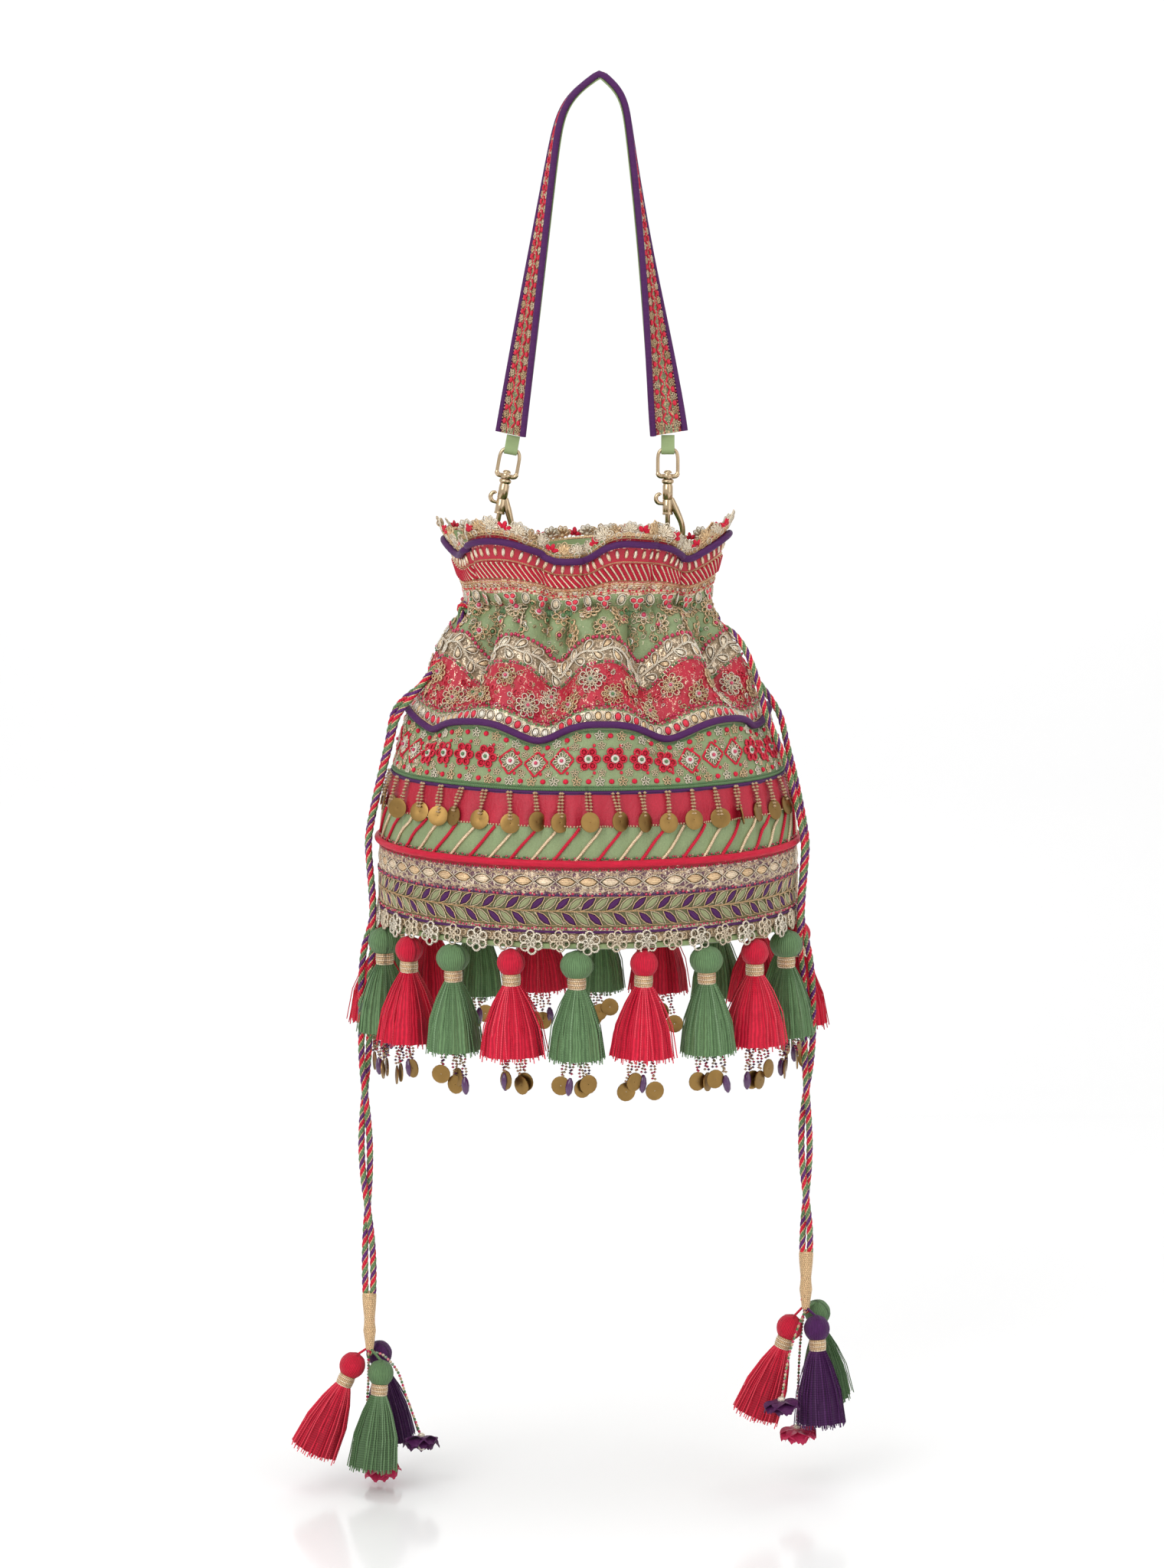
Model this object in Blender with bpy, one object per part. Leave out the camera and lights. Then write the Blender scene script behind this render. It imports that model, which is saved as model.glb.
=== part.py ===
"""Potli bag: a drawstring pouch hung from a short strap by two swivel snap hooks.

Run with: blender --background --python part.py
Units are metres, +Z is up and the wearer looks along +Y. The origin is on the
underside of the strap at its highest point, where a hand or a peg holds it.
Angles round the bag start at the front (-Y) and grow towards +X.
"""

import math

import bmesh
import bpy
from mathutils import Matrix, Vector

MM = 0.001
SEAT = 0.3 * MM  # gap between pieces that touch
SEW_GAP = 0.45 * MM  # the same on curved cloth, which is faceted here

# Strap: a flat band folded over at the top, turning outwards on its way down
STRAP_DROP = 162.5 * MM
STRAP_WIDTH = 18 * MM
STRAP_LINING_THICKNESS = 0.8 * MM
STRAP_BAND_THICKNESS = 1.4 * MM
STRAP_PIPING_RADIUS = 1.3 * MM
STRAP_STEPS = 16
# Each leg bows out at once below the fold, then spreads and twists as it goes down
LEFT_LEG = {
    "reach": -40 * MM,
    "bow": 0.36,
    "bow_run": 0.07,
    "spread": 1.0,
    "twist": math.radians(50),
    "twist_power": 1.15,
}
RIGHT_LEG = {
    "reach": 31.6 * MM,
    "bow": 0.27,
    "bow_run": 0.05,
    "spread": 1.08,
    "twist": math.radians(78),
    "twist_power": 2.2,
}

# Snap hook, measured up its own axis from the middle of the hook's bar
HOOK_BAR_RADIUS = 1.3 * MM
HOOK_NECK_RADIUS = 1.9 * MM
HOOK_THROAT = 7.1 * MM  # from the barrel's axis to the back of the hook
HOOK_TIP_TOP = 2.2 * MM
BARREL_BOTTOM = 12 * MM
BARREL_TOP = 26.5 * MM
BARREL_RADIUS = 2.4 * MM
BORE_RADIUS = 1.5 * MM
BORE_TOP = 25.4 * MM
COLLAR_RADIUS = 2.8 * MM
COLLAR_HEIGHT = 2.0 * MM
RIVET_RADIUS = 1.2 * MM
RIVET_HEAD_RADIUS = 2.1 * MM
RIVET_HEAD_HEIGHT = 1.4 * MM
BOLT_RADIUS = 1.2 * MM
BOLT_LENGTH = 15.6 * MM
BOLT_TRAVEL = 4.5 * MM
THUMB_BELOW_TOP = 1.0 * MM
THUMB_RADIUS = 0.75 * MM
THUMB_REACH = 5.4 * MM
THUMB_RISE = 4.8 * MM
SPRING_TURNS = 5
SPRING_WIRE_RADIUS = 0.2 * MM
SPRING_RADIUS = 1.0 * MM
EYE_PLATE = 2.2 * MM
EYE_HALF_WIDTH = 5.5 * MM
EYE_SIDE = 1.6 * MM
EYE_DEPTH = 2.4 * MM
EYE_HEIGHT = 14.4 * MM
EYE_BAR = 2.2 * MM
SWIVEL_CLEARANCE = 0.3 * MM
LEFT_TILT = math.radians(10.5)
RIGHT_TILT = math.radians(0)

# Cloth tab that joins the strap to the eye
TAB_WIDTH = 5.8 * MM
TAB_THICKNESS = 0.9 * MM
TAB_ABOVE_BAR = 7.0 * MM

# D-ring in the mouth of the bag
RING_OFFSET = 3.3 * MM  # from the barrel's axis, along the hook's bar
RING_RADIUS = 7.4 * MM
RING_WIRE_RADIUS = 0.9 * MM
RING_PLAY = 0.8 * MM
RING_CHORD = math.radians(30)
KEEPER_WIDTH = 8 * MM
KEEPER_THICKNESS = 1.0 * MM
KEEPER_DROP = 5 * MM

# Bag, measured down from the hook's bar
RIM_ABOVE_BAR = 2.5 * MM
RIM_TO_NECK = 35 * MM
NECK_BAND = 6 * MM  # the gathered neck is straight for so far above and below its middle
NECK_TO_HEM = 143 * MM
RIM_HALF_WIDTH = 66.5 * MM
RIM_HALF_DEPTH = 47 * MM
NECK_HALF_WIDTH = 57 * MM
NECK_HALF_DEPTH = 42 * MM
HEM_HALF_WIDTH = 98 * MM
HEM_HALF_DEPTH = 83 * MM
BELLY_SHARE = 0.85
BELLY_POWER = 2.1
SHELL_THICKNESS = 1.6 * MM
LINING_THICKNESS = 1.2 * MM
BASE_THICKNESS = 3 * MM
SEGMENTS = 48
FRILL_WAVES = 5
FRILL_OUT = 5.5 * MM
FRILL_LIFT = 5.5 * MM
FRILL_PHASE = math.radians(22)
PLEATS = 10
PLEAT_OUT = 3.0 * MM
PLEAT_LIFT = 4.5 * MM
PLEAT_BELOW_NECK = 19 * MM
PLEAT_RUN = 22 * MM
SWAGS = 8
SWAG_OUT = 1.6 * MM
SWAG_LIFT = 3.5 * MM
SWAG_RUN = 13 * MM
FOLD_PHASE = math.radians(5)

# Trims sewn on the bag, as levels below the rim
MOUTH_PIPING_BELOW_RIM = 3.5 * MM
BODY_PIPING_BELOW_RIM = 84 * MM
COINS_BELOW_RIM = 111 * MM
HEM_PIPING_BELOW_COINS = 31 * MM
HEM_PIPING_BELOW_RIM = COINS_BELOW_RIM + HEM_PIPING_BELOW_COINS
PIPING_RADIUS = 1.6 * MM
PIPING_SIDES = 5
LACE_HEIGHT = 6.5 * MM
LACE_THICKNESS = 1.0 * MM
LACE_SCALLOP = 1.8 * MM
HEM_LACE_HEIGHT = 11 * MM
COIN_COUNT = 44
COIN_RADIUS = 4.6 * MM
COIN_THICKNESS = 0.8 * MM
COIN_STRING = 10.5 * MM
COIN_STRING_RADIUS = 0.7 * MM
COIN_TAPE_HEIGHT = 2.0 * MM

# Tassels
TASSEL_COUNT = 20
TASSEL_PHASE = math.radians(-3)
TASSEL_OUT = 0.6 * MM  # outside the base's edge, so that the base still lies flat on a shelf
TASSEL_SIDES = 8
PINK_HEAD_RADIUS = 6.0 * MM
PINK_SKIRT_RADIUS = 12.2 * MM
GREEN_HEAD_RADIUS = 7.0 * MM
GREEN_SKIRT_RADIUS = 11.4 * MM
HEAD_HEIGHT = 11.5 * MM
WRAP_RADIUS = 3.9 * MM
WRAP_HEIGHT = 5.5 * MM
SKIRT_LENGTH = 32 * MM
DROP_LENGTH = 17 * MM
DROP_STRING_RADIUS = 1.3 * MM
CLUSTER_SKIRT_RADIUS = 12.4 * MM
CLUSTER_SKIRT_LENGTH = 35 * MM

# Drawcords
CORD_RADIUS = 1.6 * MM
CORD_GAP = 0.2 * MM
CORD_BEND = 6.6 * MM
CORD_STEP = 13 * MM
PAIR_RADIUS = 1.95 * MM
BINDING_LENGTH = 28 * MM
BINDING_TOP_RADIUS = 3.5 * MM
BINDING_END_RADIUS = 2.3 * MM
FLOWER_RADIUS = 9.5 * MM
FLOWER_THICKNESS = 1.6 * MM
FLOWER_PETALS = 6
PEARL_RADIUS = 2.1 * MM
STRAND_RADIUS = 0.8 * MM
THREAD_RING = 1.75 * MM  # where the tassels' threads leave the end of a binding
THREAD_TURNS = {
    "left": [math.radians(angle) for angle in (180, 324, 108)],
    "right": [math.radians(angle) for angle in (180, 324, 36)],
}

COLOURS = {
    "brocade": ((0.45, 0.25, 0.16), 0.6, 0.0),
    "sage_satin": ((0.22, 0.33, 0.16), 0.45, 0.0),
    "purple_silk": ((0.06, 0.015, 0.13), 0.6, 0.0),
    "pink_silk": ((0.63, 0.02, 0.09), 0.55, 0.0),
    "gold_lace": ((0.62, 0.5, 0.36), 0.4, 0.6),
    "gold_metal": ((0.78, 0.62, 0.42), 0.2, 1.0),
    "brass_sequin": ((0.5, 0.31, 0.08), 0.4, 0.9),
    "pink_thread": ((0.62, 0.015, 0.06), 0.8, 0.0),
    "green_thread": ((0.1, 0.23, 0.1), 0.8, 0.0),
    "purple_thread": ((0.05, 0.01, 0.12), 0.8, 0.0),
    "twisted_cord": ((0.3, 0.08, 0.12), 0.7, 0.0),
    "gold_thread": ((0.55, 0.37, 0.17), 0.45, 0.6),
}


def clear_scene():
    for obj in list(bpy.data.objects):
        bpy.data.objects.remove(obj)


def material(name):
    found = bpy.data.materials.get(name)
    if found:
        return found
    colour, roughness, metallic = COLOURS[name]
    made = bpy.data.materials.new(name)
    made.use_nodes = True
    shader = made.node_tree.nodes["Principled BSDF"]
    shader.inputs["Base Color"].default_value = (*colour, 1)
    shader.inputs["Roughness"].default_value = roughness
    shader.inputs["Metallic"].default_value = metallic
    return made


def add_object(name, mesh, material_name, smooth=True):
    obj = bpy.data.objects.new(name, mesh)
    bpy.context.scene.collection.objects.link(obj)
    if not mesh.materials:
        mesh.materials.append(material(material_name))
    if smooth:
        mesh.shade_smooth()
        mesh.set_sharp_from_angle(angle=math.radians(40))
    return obj


def mesh_of(name, vertices, faces):
    """A closed mesh whose faces are turned to point outwards."""
    mesh = bpy.data.meshes.new(name)
    mesh.from_pydata([tuple(v) for v in vertices], [], faces)
    shape = bmesh.new()
    shape.from_mesh(mesh)
    bmesh.ops.recalc_face_normals(shape, faces=shape.faces)
    if shape.calc_volume(signed=True) < 0:
        bmesh.ops.reverse_faces(shape, faces=shape.faces)
    shape.to_mesh(mesh)
    shape.free()
    return mesh


def ring_faces(rows, columns, closed_rows=False):
    """Quads between rings of vertices, each ring holding that many columns."""
    faces = []
    for row in range(rows if closed_rows else rows - 1):
        first, second = row * columns, (row + 1) % rows * columns
        for column in range(columns):
            after = (column + 1) % columns
            faces.append((first + column, first + after, second + after, second + column))
    return faces


def tube_mesh(name, path, radii, sides, closed=False, side_hint=Vector((0, 1, 0))):
    """A round tube along a path; radii is one radius or one for each point."""
    count = len(path)
    radii = radii if isinstance(radii, list) else [radii] * count
    vertices = []
    across = side_hint
    for index, point in enumerate(path):
        before = path[index - 1] if closed or index else point
        after = path[(index + 1) % count] if closed or index < count - 1 else point
        along = (after - before).normalized()
        across = (across - along * across.dot(along)).normalized()
        up = along.cross(across)
        for side in range(sides):
            turn = math.tau * side / sides
            vertices.append(point + (across * math.cos(turn) + up * math.sin(turn)) * radii[index])
    faces = ring_faces(count, sides, closed)
    if not closed:
        faces += [tuple(range(sides)), tuple(range((count - 1) * sides, count * sides))]
    return mesh_of(name, vertices, faces)


def turned_mesh(name, profile, sides):
    """A shape turned about Z from (radius, height) points; a radius of 0 is a pole."""
    vertices, rings = [], []
    for radius, height in profile:
        start = len(vertices)
        if radius == 0:
            vertices.append(Vector((0, 0, height)))
            rings.append([start] * sides)
            continue
        for side in range(sides):
            turn = math.tau * side / sides
            vertices.append(Vector((radius * math.cos(turn), radius * math.sin(turn), height)))
        rings.append(list(range(start, start + sides)))
    faces = []
    for lower, upper in zip(rings, rings[1:]):
        for side in range(sides):
            after = (side + 1) % sides
            corners = [lower[side], lower[after], upper[after], upper[side]]
            faces.append(tuple(dict.fromkeys(corners)))
    if profile[0][0]:
        faces.append(tuple(rings[0]))
    if profile[-1][0]:
        faces.append(tuple(rings[-1]))
    return mesh_of(name, vertices, faces)


def box_mesh(name, low, high):
    corners = [(x, y, z) for z in (low[2], high[2]) for y in (low[1], high[1]) for x in (low[0], high[0])]
    faces = [(0, 1, 3, 2), (4, 5, 7, 6), (0, 1, 5, 4), (2, 3, 7, 6), (0, 2, 6, 4), (1, 3, 7, 5)]
    return mesh_of(name, corners, faces)


def slab_mesh(name, outer, inner, thickness, lay):
    """A flat plate between two outlines of as many points; lay places (x, y, depth)."""
    count = len(outer)
    vertices = []
    for depth in (-thickness / 2, thickness / 2):
        for outline in (outer, inner):
            vertices += [lay(x, y, depth) for x, y in outline]
    faces = []
    for i in range(count):
        j = (i + 1) % count
        near_outer, near_inner, far_outer, far_inner = 0, count, 2 * count, 3 * count
        faces.append((near_outer + i, near_outer + j, near_inner + j, near_inner + i))
        faces.append((far_outer + i, far_outer + j, far_inner + j, far_inner + i))
        faces.append((near_outer + i, near_outer + j, far_outer + j, far_outer + i))
        faces.append((near_inner + i, near_inner + j, far_inner + j, far_inner + i))
    return mesh_of(name, vertices, faces)


def combine(name, base, others, operation="UNION"):
    """The base mesh with the other meshes joined to it or cut out of it."""
    base_object = bpy.data.objects.new(name, base)
    bpy.context.scene.collection.objects.link(base_object)
    helpers = []
    for index, other in enumerate(others):
        helper = bpy.data.objects.new(f"{name}_helper_{index}", other)
        bpy.context.scene.collection.objects.link(helper)
        helper.hide_render = True
        helper.display_type = "WIRE"
        modifier = base_object.modifiers.new("combine", "BOOLEAN")
        modifier.operation = operation
        modifier.solver = "EXACT"
        modifier.object = helper
        helpers.append(helper)
    bpy.context.view_layer.update()
    evaluated = base_object.evaluated_get(bpy.context.evaluated_depsgraph_get())
    result = bpy.data.meshes.new_from_object(evaluated)
    result.name = name
    for helper in helpers:
        bpy.data.objects.remove(helper)
    bpy.data.objects.remove(base_object)
    return result


def moved(mesh, matrix):
    """A copy of a mesh with the matrix applied to its points."""
    copy = mesh.copy()
    copy.transform(matrix)
    return copy


# Places that follow from the strap and the clasp

EYE_BOTTOM = BARREL_TOP + COLLAR_HEIGHT + SWIVEL_CLEARANCE
EYE_TOP = EYE_BOTTOM + EYE_HEIGHT
EYE_BAR_AXIS = EYE_TOP - EYE_BAR / 2
TAB_TOP = EYE_BAR_AXIS + TAB_ABOVE_BAR
TAB_LOOP_RADIUS = math.hypot(EYE_BAR / 2, EYE_DEPTH / 2) + 2 * SEAT


def leg_point(leg, share):
    """The strap's underside on one leg; share is 0 at the top and 1 at the end."""
    bow = leg["bow"] * math.tanh(share / leg["bow_run"])
    spread = (1 - leg["bow"]) * share ** leg["spread"]
    return Vector((leg["reach"] * (bow + spread), 0, -STRAP_DROP * share))


def leg_slope(leg):
    """How far the end of a strap leg leans from the vertical."""
    step = 0.01
    run = leg_point(leg, 1) - leg_point(leg, 1 - step)
    return math.atan2(run.x, -run.z)


def clasp_frame(leg, tilt):
    """Places a clasp so that its tab meets the end of the strap leg."""
    lean = abs(leg_slope(leg) + tilt)
    seat = SEAT + TAB_WIDTH / 2 * math.tan(lean)
    turn = Matrix.Rotation(tilt, 4, "Y")
    end = leg_point(leg, 1)
    up_axis = turn @ Vector((0, 0, 1))
    return Matrix.Translation(end - up_axis * (TAB_TOP + seat)) @ turn


RIGHT_CLASP = clasp_frame(RIGHT_LEG, RIGHT_TILT)
LEFT_CLASP = clasp_frame(LEFT_LEG, LEFT_TILT)
BAR_LEVEL = RIGHT_CLASP.translation.z
LEFT_CLASP.translation.z = BAR_LEVEL + RING_OFFSET * math.sin(LEFT_TILT)
LEFT_SEAT = SEAT + TAB_WIDTH / 2 * math.tan(abs(leg_slope(LEFT_LEG) + LEFT_TILT))
LEFT_STRAP_DROP = -(LEFT_CLASP @ Vector((0, 0, TAB_TOP + LEFT_SEAT))).z
RIM_LEVEL = BAR_LEVEL + RIM_ABOVE_BAR
NECK_LEVEL = RIM_LEVEL - RIM_TO_NECK
HEM_LEVEL = NECK_LEVEL - NECK_TO_HEM
BAG_CENTRE = (LEFT_CLASP.translation.x + RIGHT_CLASP.translation.x + 2 * RING_OFFSET) / 2
BODY_PIPING_LEVEL = RIM_LEVEL - BODY_PIPING_BELOW_RIM


def section(level):
    """Half width and half depth of the bag's outside at a level, without its folds."""
    run = max(abs(level - NECK_LEVEL) - NECK_BAND, 0)
    if level >= NECK_LEVEL:
        share = (run / (RIM_TO_NECK - NECK_BAND)) ** 0.9
        return (
            NECK_HALF_WIDTH + (RIM_HALF_WIDTH - NECK_HALF_WIDTH) * share,
            NECK_HALF_DEPTH + (RIM_HALF_DEPTH - NECK_HALF_DEPTH) * share,
        )
    share = min(run / (NECK_TO_HEM - NECK_BAND) / BELLY_SHARE, 1)
    swell = 1 - (1 - share) ** BELLY_POWER
    return (
        NECK_HALF_WIDTH + (HEM_HALF_WIDTH - NECK_HALF_WIDTH) * swell,
        NECK_HALF_DEPTH + (HEM_HALF_DEPTH - NECK_HALF_DEPTH) * swell,
    )


def fold_strengths(level):
    """How strongly the frill, the pleats and the swags show at a level."""
    frill = max(0, min(1, (level - NECK_LEVEL) / RIM_TO_NECK)) ** 1.3
    pleat = math.exp(-(((level - NECK_LEVEL + PLEAT_BELOW_NECK) / PLEAT_RUN) ** 2))
    swag = math.exp(-(((level - BODY_PIPING_LEVEL) / SWAG_RUN) ** 2))
    return frill, pleat * (1 - frill), swag


def fold(angle, level):
    """How far the folds push the cloth out and up at an angle and a level."""
    frill, pleat, swag = fold_strengths(level)
    frill_wave = math.cos(FRILL_WAVES * (angle - FRILL_PHASE))
    pleat_wave = math.cos(PLEATS * (angle - FOLD_PHASE))
    swag_wave = math.cos(SWAGS * (angle - FOLD_PHASE))
    out = FRILL_OUT * frill * frill_wave + PLEAT_OUT * pleat * pleat_wave + SWAG_OUT * swag * swag_wave
    lift = FRILL_LIFT * frill * frill_wave + PLEAT_LIFT * pleat * pleat_wave + SWAG_LIFT * swag * swag_wave
    return out, lift


def fold_depth(level):
    """The most that the folds pull the cloth in at a level."""
    frill, pleat, swag = fold_strengths(level)
    out = FRILL_OUT * frill + PLEAT_OUT * pleat + SWAG_OUT * swag
    lift = FRILL_LIFT * frill + PLEAT_LIFT * pleat + SWAG_LIFT * swag
    slope = (section(level - 4 * MM)[0] - section(level + 4 * MM)[0]) / (8 * MM)
    return out + lift * abs(slope)


def wall_point(angle, level, out=0.0, rise=0.0):
    """A point on the bag's outer face, or that far outside and above it."""
    half_width, half_depth = section(level)
    push, lift = fold(angle, level)
    return Vector(
        (
            BAG_CENTRE + (half_width + push + out) * math.sin(angle),
            -(half_depth + push + out) * math.cos(angle),
            level + lift + rise,
        )
    )


def round_angles(count, phase=0.0):
    return [phase + math.tau * i / count for i in range(count)]


def cup_mesh(name, outer_rings, inner_rings, columns):
    """A bag-shaped wall: outer rings down, inner rings down, open at the top."""
    vertices = [point for ring in outer_rings + inner_rings for point in ring]
    outer_count, inner_count = len(outer_rings), len(inner_rings)
    faces = ring_faces(outer_count, columns)
    offset = outer_count * columns
    faces += [tuple(offset + i for i in face) for face in ring_faces(inner_count, columns)]
    for column in range(columns):
        after = (column + 1) % columns
        faces.append((column, after, offset + after, offset + column))
    return vertices, faces, offset


# Bag


def build_outer_shell():
    levels = [RIM_LEVEL, RIM_LEVEL - MOUTH_PIPING_BELOW_RIM] + WALL_LEVELS + [HEM_LEVEL]
    angles = round_angles(SEGMENTS)
    outer = [[wall_point(angle, level) for angle in angles] for level in levels]
    inner = [[wall_point(angle, level, -SHELL_THICKNESS) for angle in angles] for level in levels]
    vertices, faces, offset = cup_mesh("outer_shell", outer, inner, SEGMENTS)
    last_outer = (len(levels) - 1) * SEGMENTS
    last_inner = offset + last_outer
    for column in range(SEGMENTS):
        after = (column + 1) % SEGMENTS
        faces.append((last_outer + column, last_outer + after, last_inner + after, last_inner + column))
    shell = mesh_of("outer_shell", vertices, faces)
    half_slot = 2 * CORD_RADIUS + CORD_GAP + 8 * SEAT
    half_height = CORD_RADIUS + 5 * SEAT
    slots = []
    for side, level in ((-1, LEFT_RUN_LEVEL), (1, RIGHT_RUN_LEVEL)):
        middle = BAG_CENTRE + side * NECK_HALF_WIDTH
        reach = 3 * SHELL_THICKNESS + fold_depth(NECK_LEVEL)
        low = (middle - reach, -half_slot, level - half_height)
        high = (middle + reach, half_slot, level + half_height)
        slots.append(box_mesh("cord_slot", low, high))
    add_object("outer_shell", combine("outer_shell", shell, slots, "DIFFERENCE"), "brocade")


LEFT_RUN_LEVEL = NECK_LEVEL + CORD_RADIUS + CORD_GAP
RIGHT_RUN_LEVEL = NECK_LEVEL - CORD_RADIUS - CORD_GAP
LINING_SEGMENTS = 24
WALL_LEVELS = [
    RIM_LEVEL - 0.45 * RIM_TO_NECK,
    NECK_LEVEL + NECK_BAND,
    NECK_LEVEL - NECK_BAND,
    NECK_LEVEL - PLEAT_BELOW_NECK,
    (NECK_LEVEL - PLEAT_BELOW_NECK + BODY_PIPING_LEVEL) / 2,
    BODY_PIPING_LEVEL,
    (BODY_PIPING_LEVEL + RIM_LEVEL - COINS_BELOW_RIM) / 2,
    RIM_LEVEL - COINS_BELOW_RIM,
    RIM_LEVEL - HEM_PIPING_BELOW_RIM,
]


def casing_inset():
    """From the outer face at the neck to the middle of a cord in its casing."""
    return fold_depth(NECK_LEVEL) + SHELL_THICKNESS + SEW_GAP + CORD_RADIUS


def lining_inset(level):
    """From the bag's outer face to the outer face of the lining."""
    if abs(level - NECK_LEVEL) <= NECK_BAND + SEAT:
        return casing_inset() + CORD_RADIUS + 3 * SEW_GAP
    return fold_depth(level) + SHELL_THICKNESS + 3 * SEW_GAP


def keeper_mesh(clasp, side):
    """A cloth strip looped round the D-ring's straight bar and sewn to the lining."""
    chord_depth = RING_CHORD_HEIGHT
    centre = clasp @ Vector((RING_OFFSET, 0, chord_depth))
    inner_radius = RING_WIRE_RADIUS + SEAT
    outer_radius = inner_radius + KEEPER_THICKNESS
    wall_level = centre.z - KEEPER_DROP
    half_width = section(wall_level)[0] - lining_inset(wall_level)
    wall = Vector((BAG_CENTRE + side * (half_width - LINING_THICKNESS / 2), 0, wall_level))
    run = wall - centre
    heading = math.atan2(run.z, run.x)
    outer, inner = [], []
    steps = 12
    for i in range(steps):
        turn = heading + math.tau * (i + 0.5) / steps
        inner.append((inner_radius * math.cos(turn), inner_radius * math.sin(turn)))
        outer.append((outer_radius * math.cos(turn), outer_radius * math.sin(turn)))
    across = Vector((-run.z, 0, run.x)).normalized() * KEEPER_THICKNESS / 2
    for index, sign in ((0, 1), (steps - 1, -1)):
        end = run + across * sign
        outer[index] = (end.x, end.z)

    def lay(x, z, depth):
        return centre + Vector((x, depth, z))

    return slab_mesh("keeper", outer, inner, KEEPER_WIDTH, lay)


def build_lining():
    rim = RIM_LEVEL - 2 * MM
    lining_floor = HEM_LEVEL + SEAT
    levels = [rim] + WALL_LEVELS
    angles = round_angles(LINING_SEGMENTS)

    def ring(level, extra):
        half_width, half_depth = section(level)
        inset = lining_inset(level) + extra
        return [
            Vector(
                (
                    BAG_CENTRE + (half_width - inset) * math.sin(angle),
                    -(half_depth - inset) * math.cos(angle),
                    level,
                )
            )
            for angle in angles
        ]

    outer = [ring(level, 0) for level in levels + [lining_floor]]
    inner = [ring(level, LINING_THICKNESS) for level in levels + [lining_floor + LINING_THICKNESS]]
    vertices, faces, offset = cup_mesh("lining", outer, inner, LINING_SEGMENTS)
    last = (len(outer) - 1) * LINING_SEGMENTS
    faces.append(tuple(last + i for i in range(LINING_SEGMENTS)))
    faces.append(tuple(offset + last + i for i in range(LINING_SEGMENTS)))
    cup = mesh_of("lining", vertices, faces)
    keepers = [keeper_mesh(LEFT_CLASP, -1), keeper_mesh(RIGHT_CLASP, 1)]
    add_object("lining", combine("lining", cup, keepers), "sage_satin")


def build_base_panel():
    top = HEM_LEVEL - SEAT
    vertices = []
    for level in (top, top - BASE_THICKNESS):
        for angle in round_angles(SEGMENTS):
            x = BAG_CENTRE + HEM_HALF_WIDTH * math.sin(angle)
            vertices.append(Vector((x, -HEM_HALF_DEPTH * math.cos(angle), level)))
    faces = ring_faces(2, SEGMENTS)
    faces += [tuple(range(SEGMENTS)), tuple(range(SEGMENTS, 2 * SEGMENTS))]
    add_object("base_panel", mesh_of("base_panel", vertices, faces), "sage_satin")


def build_piping(name, below_rim, material_name):
    level = RIM_LEVEL - below_rim
    out = PIPING_RADIUS + SEW_GAP
    path = [wall_point(angle, level, out) for angle in round_angles(SEGMENTS)]
    mesh = tube_mesh(name, path, PIPING_RADIUS, PIPING_SIDES, closed=True, side_hint=Vector((0, 0, 1)))
    add_object(name, mesh, material_name)


def band_mesh(name, angles, low_edge, high_edge, inside, thickness):
    """An upright cloth band round the bag; the edges give a level and a rise."""
    rings = []
    for edge, out in (
        (low_edge, inside),
        (high_edge, inside),
        (high_edge, inside + thickness),
        (low_edge, inside + thickness),
    ):
        rings.append([wall_point(angle, *edge(i)[:1], out, edge(i)[1]) for i, angle in enumerate(angles)])
    vertices = [point for ring in rings for point in ring]
    return mesh_of(name, vertices, ring_faces(4, len(angles), closed_rows=True))


def build_mouth_lace():
    def low_edge(index):
        return RIM_LEVEL, SEAT

    def high_edge(index):
        return RIM_LEVEL, LACE_HEIGHT - (LACE_SCALLOP if index % 2 else 0)

    inside = -(SHELL_THICKNESS + LACE_THICKNESS) / 2
    mesh = band_mesh("mouth_lace", round_angles(SEGMENTS), low_edge, high_edge, inside, LACE_THICKNESS)
    add_object("mouth_lace", mesh, "gold_lace", smooth=False)


def build_hem_lace():
    top = HEM_LEVEL - SEAT - BASE_THICKNESS + HEM_LACE_HEIGHT

    def low_edge(index):
        return HEM_LEVEL, -BASE_THICKNESS + (LACE_SCALLOP if index % 2 else 0)

    def high_edge(index):
        return top, 0.0

    mesh = band_mesh("hem_lace", round_angles(SEGMENTS), low_edge, high_edge, SEW_GAP, LACE_THICKNESS)
    add_object("hem_lace", mesh, "gold_lace", smooth=False)


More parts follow.
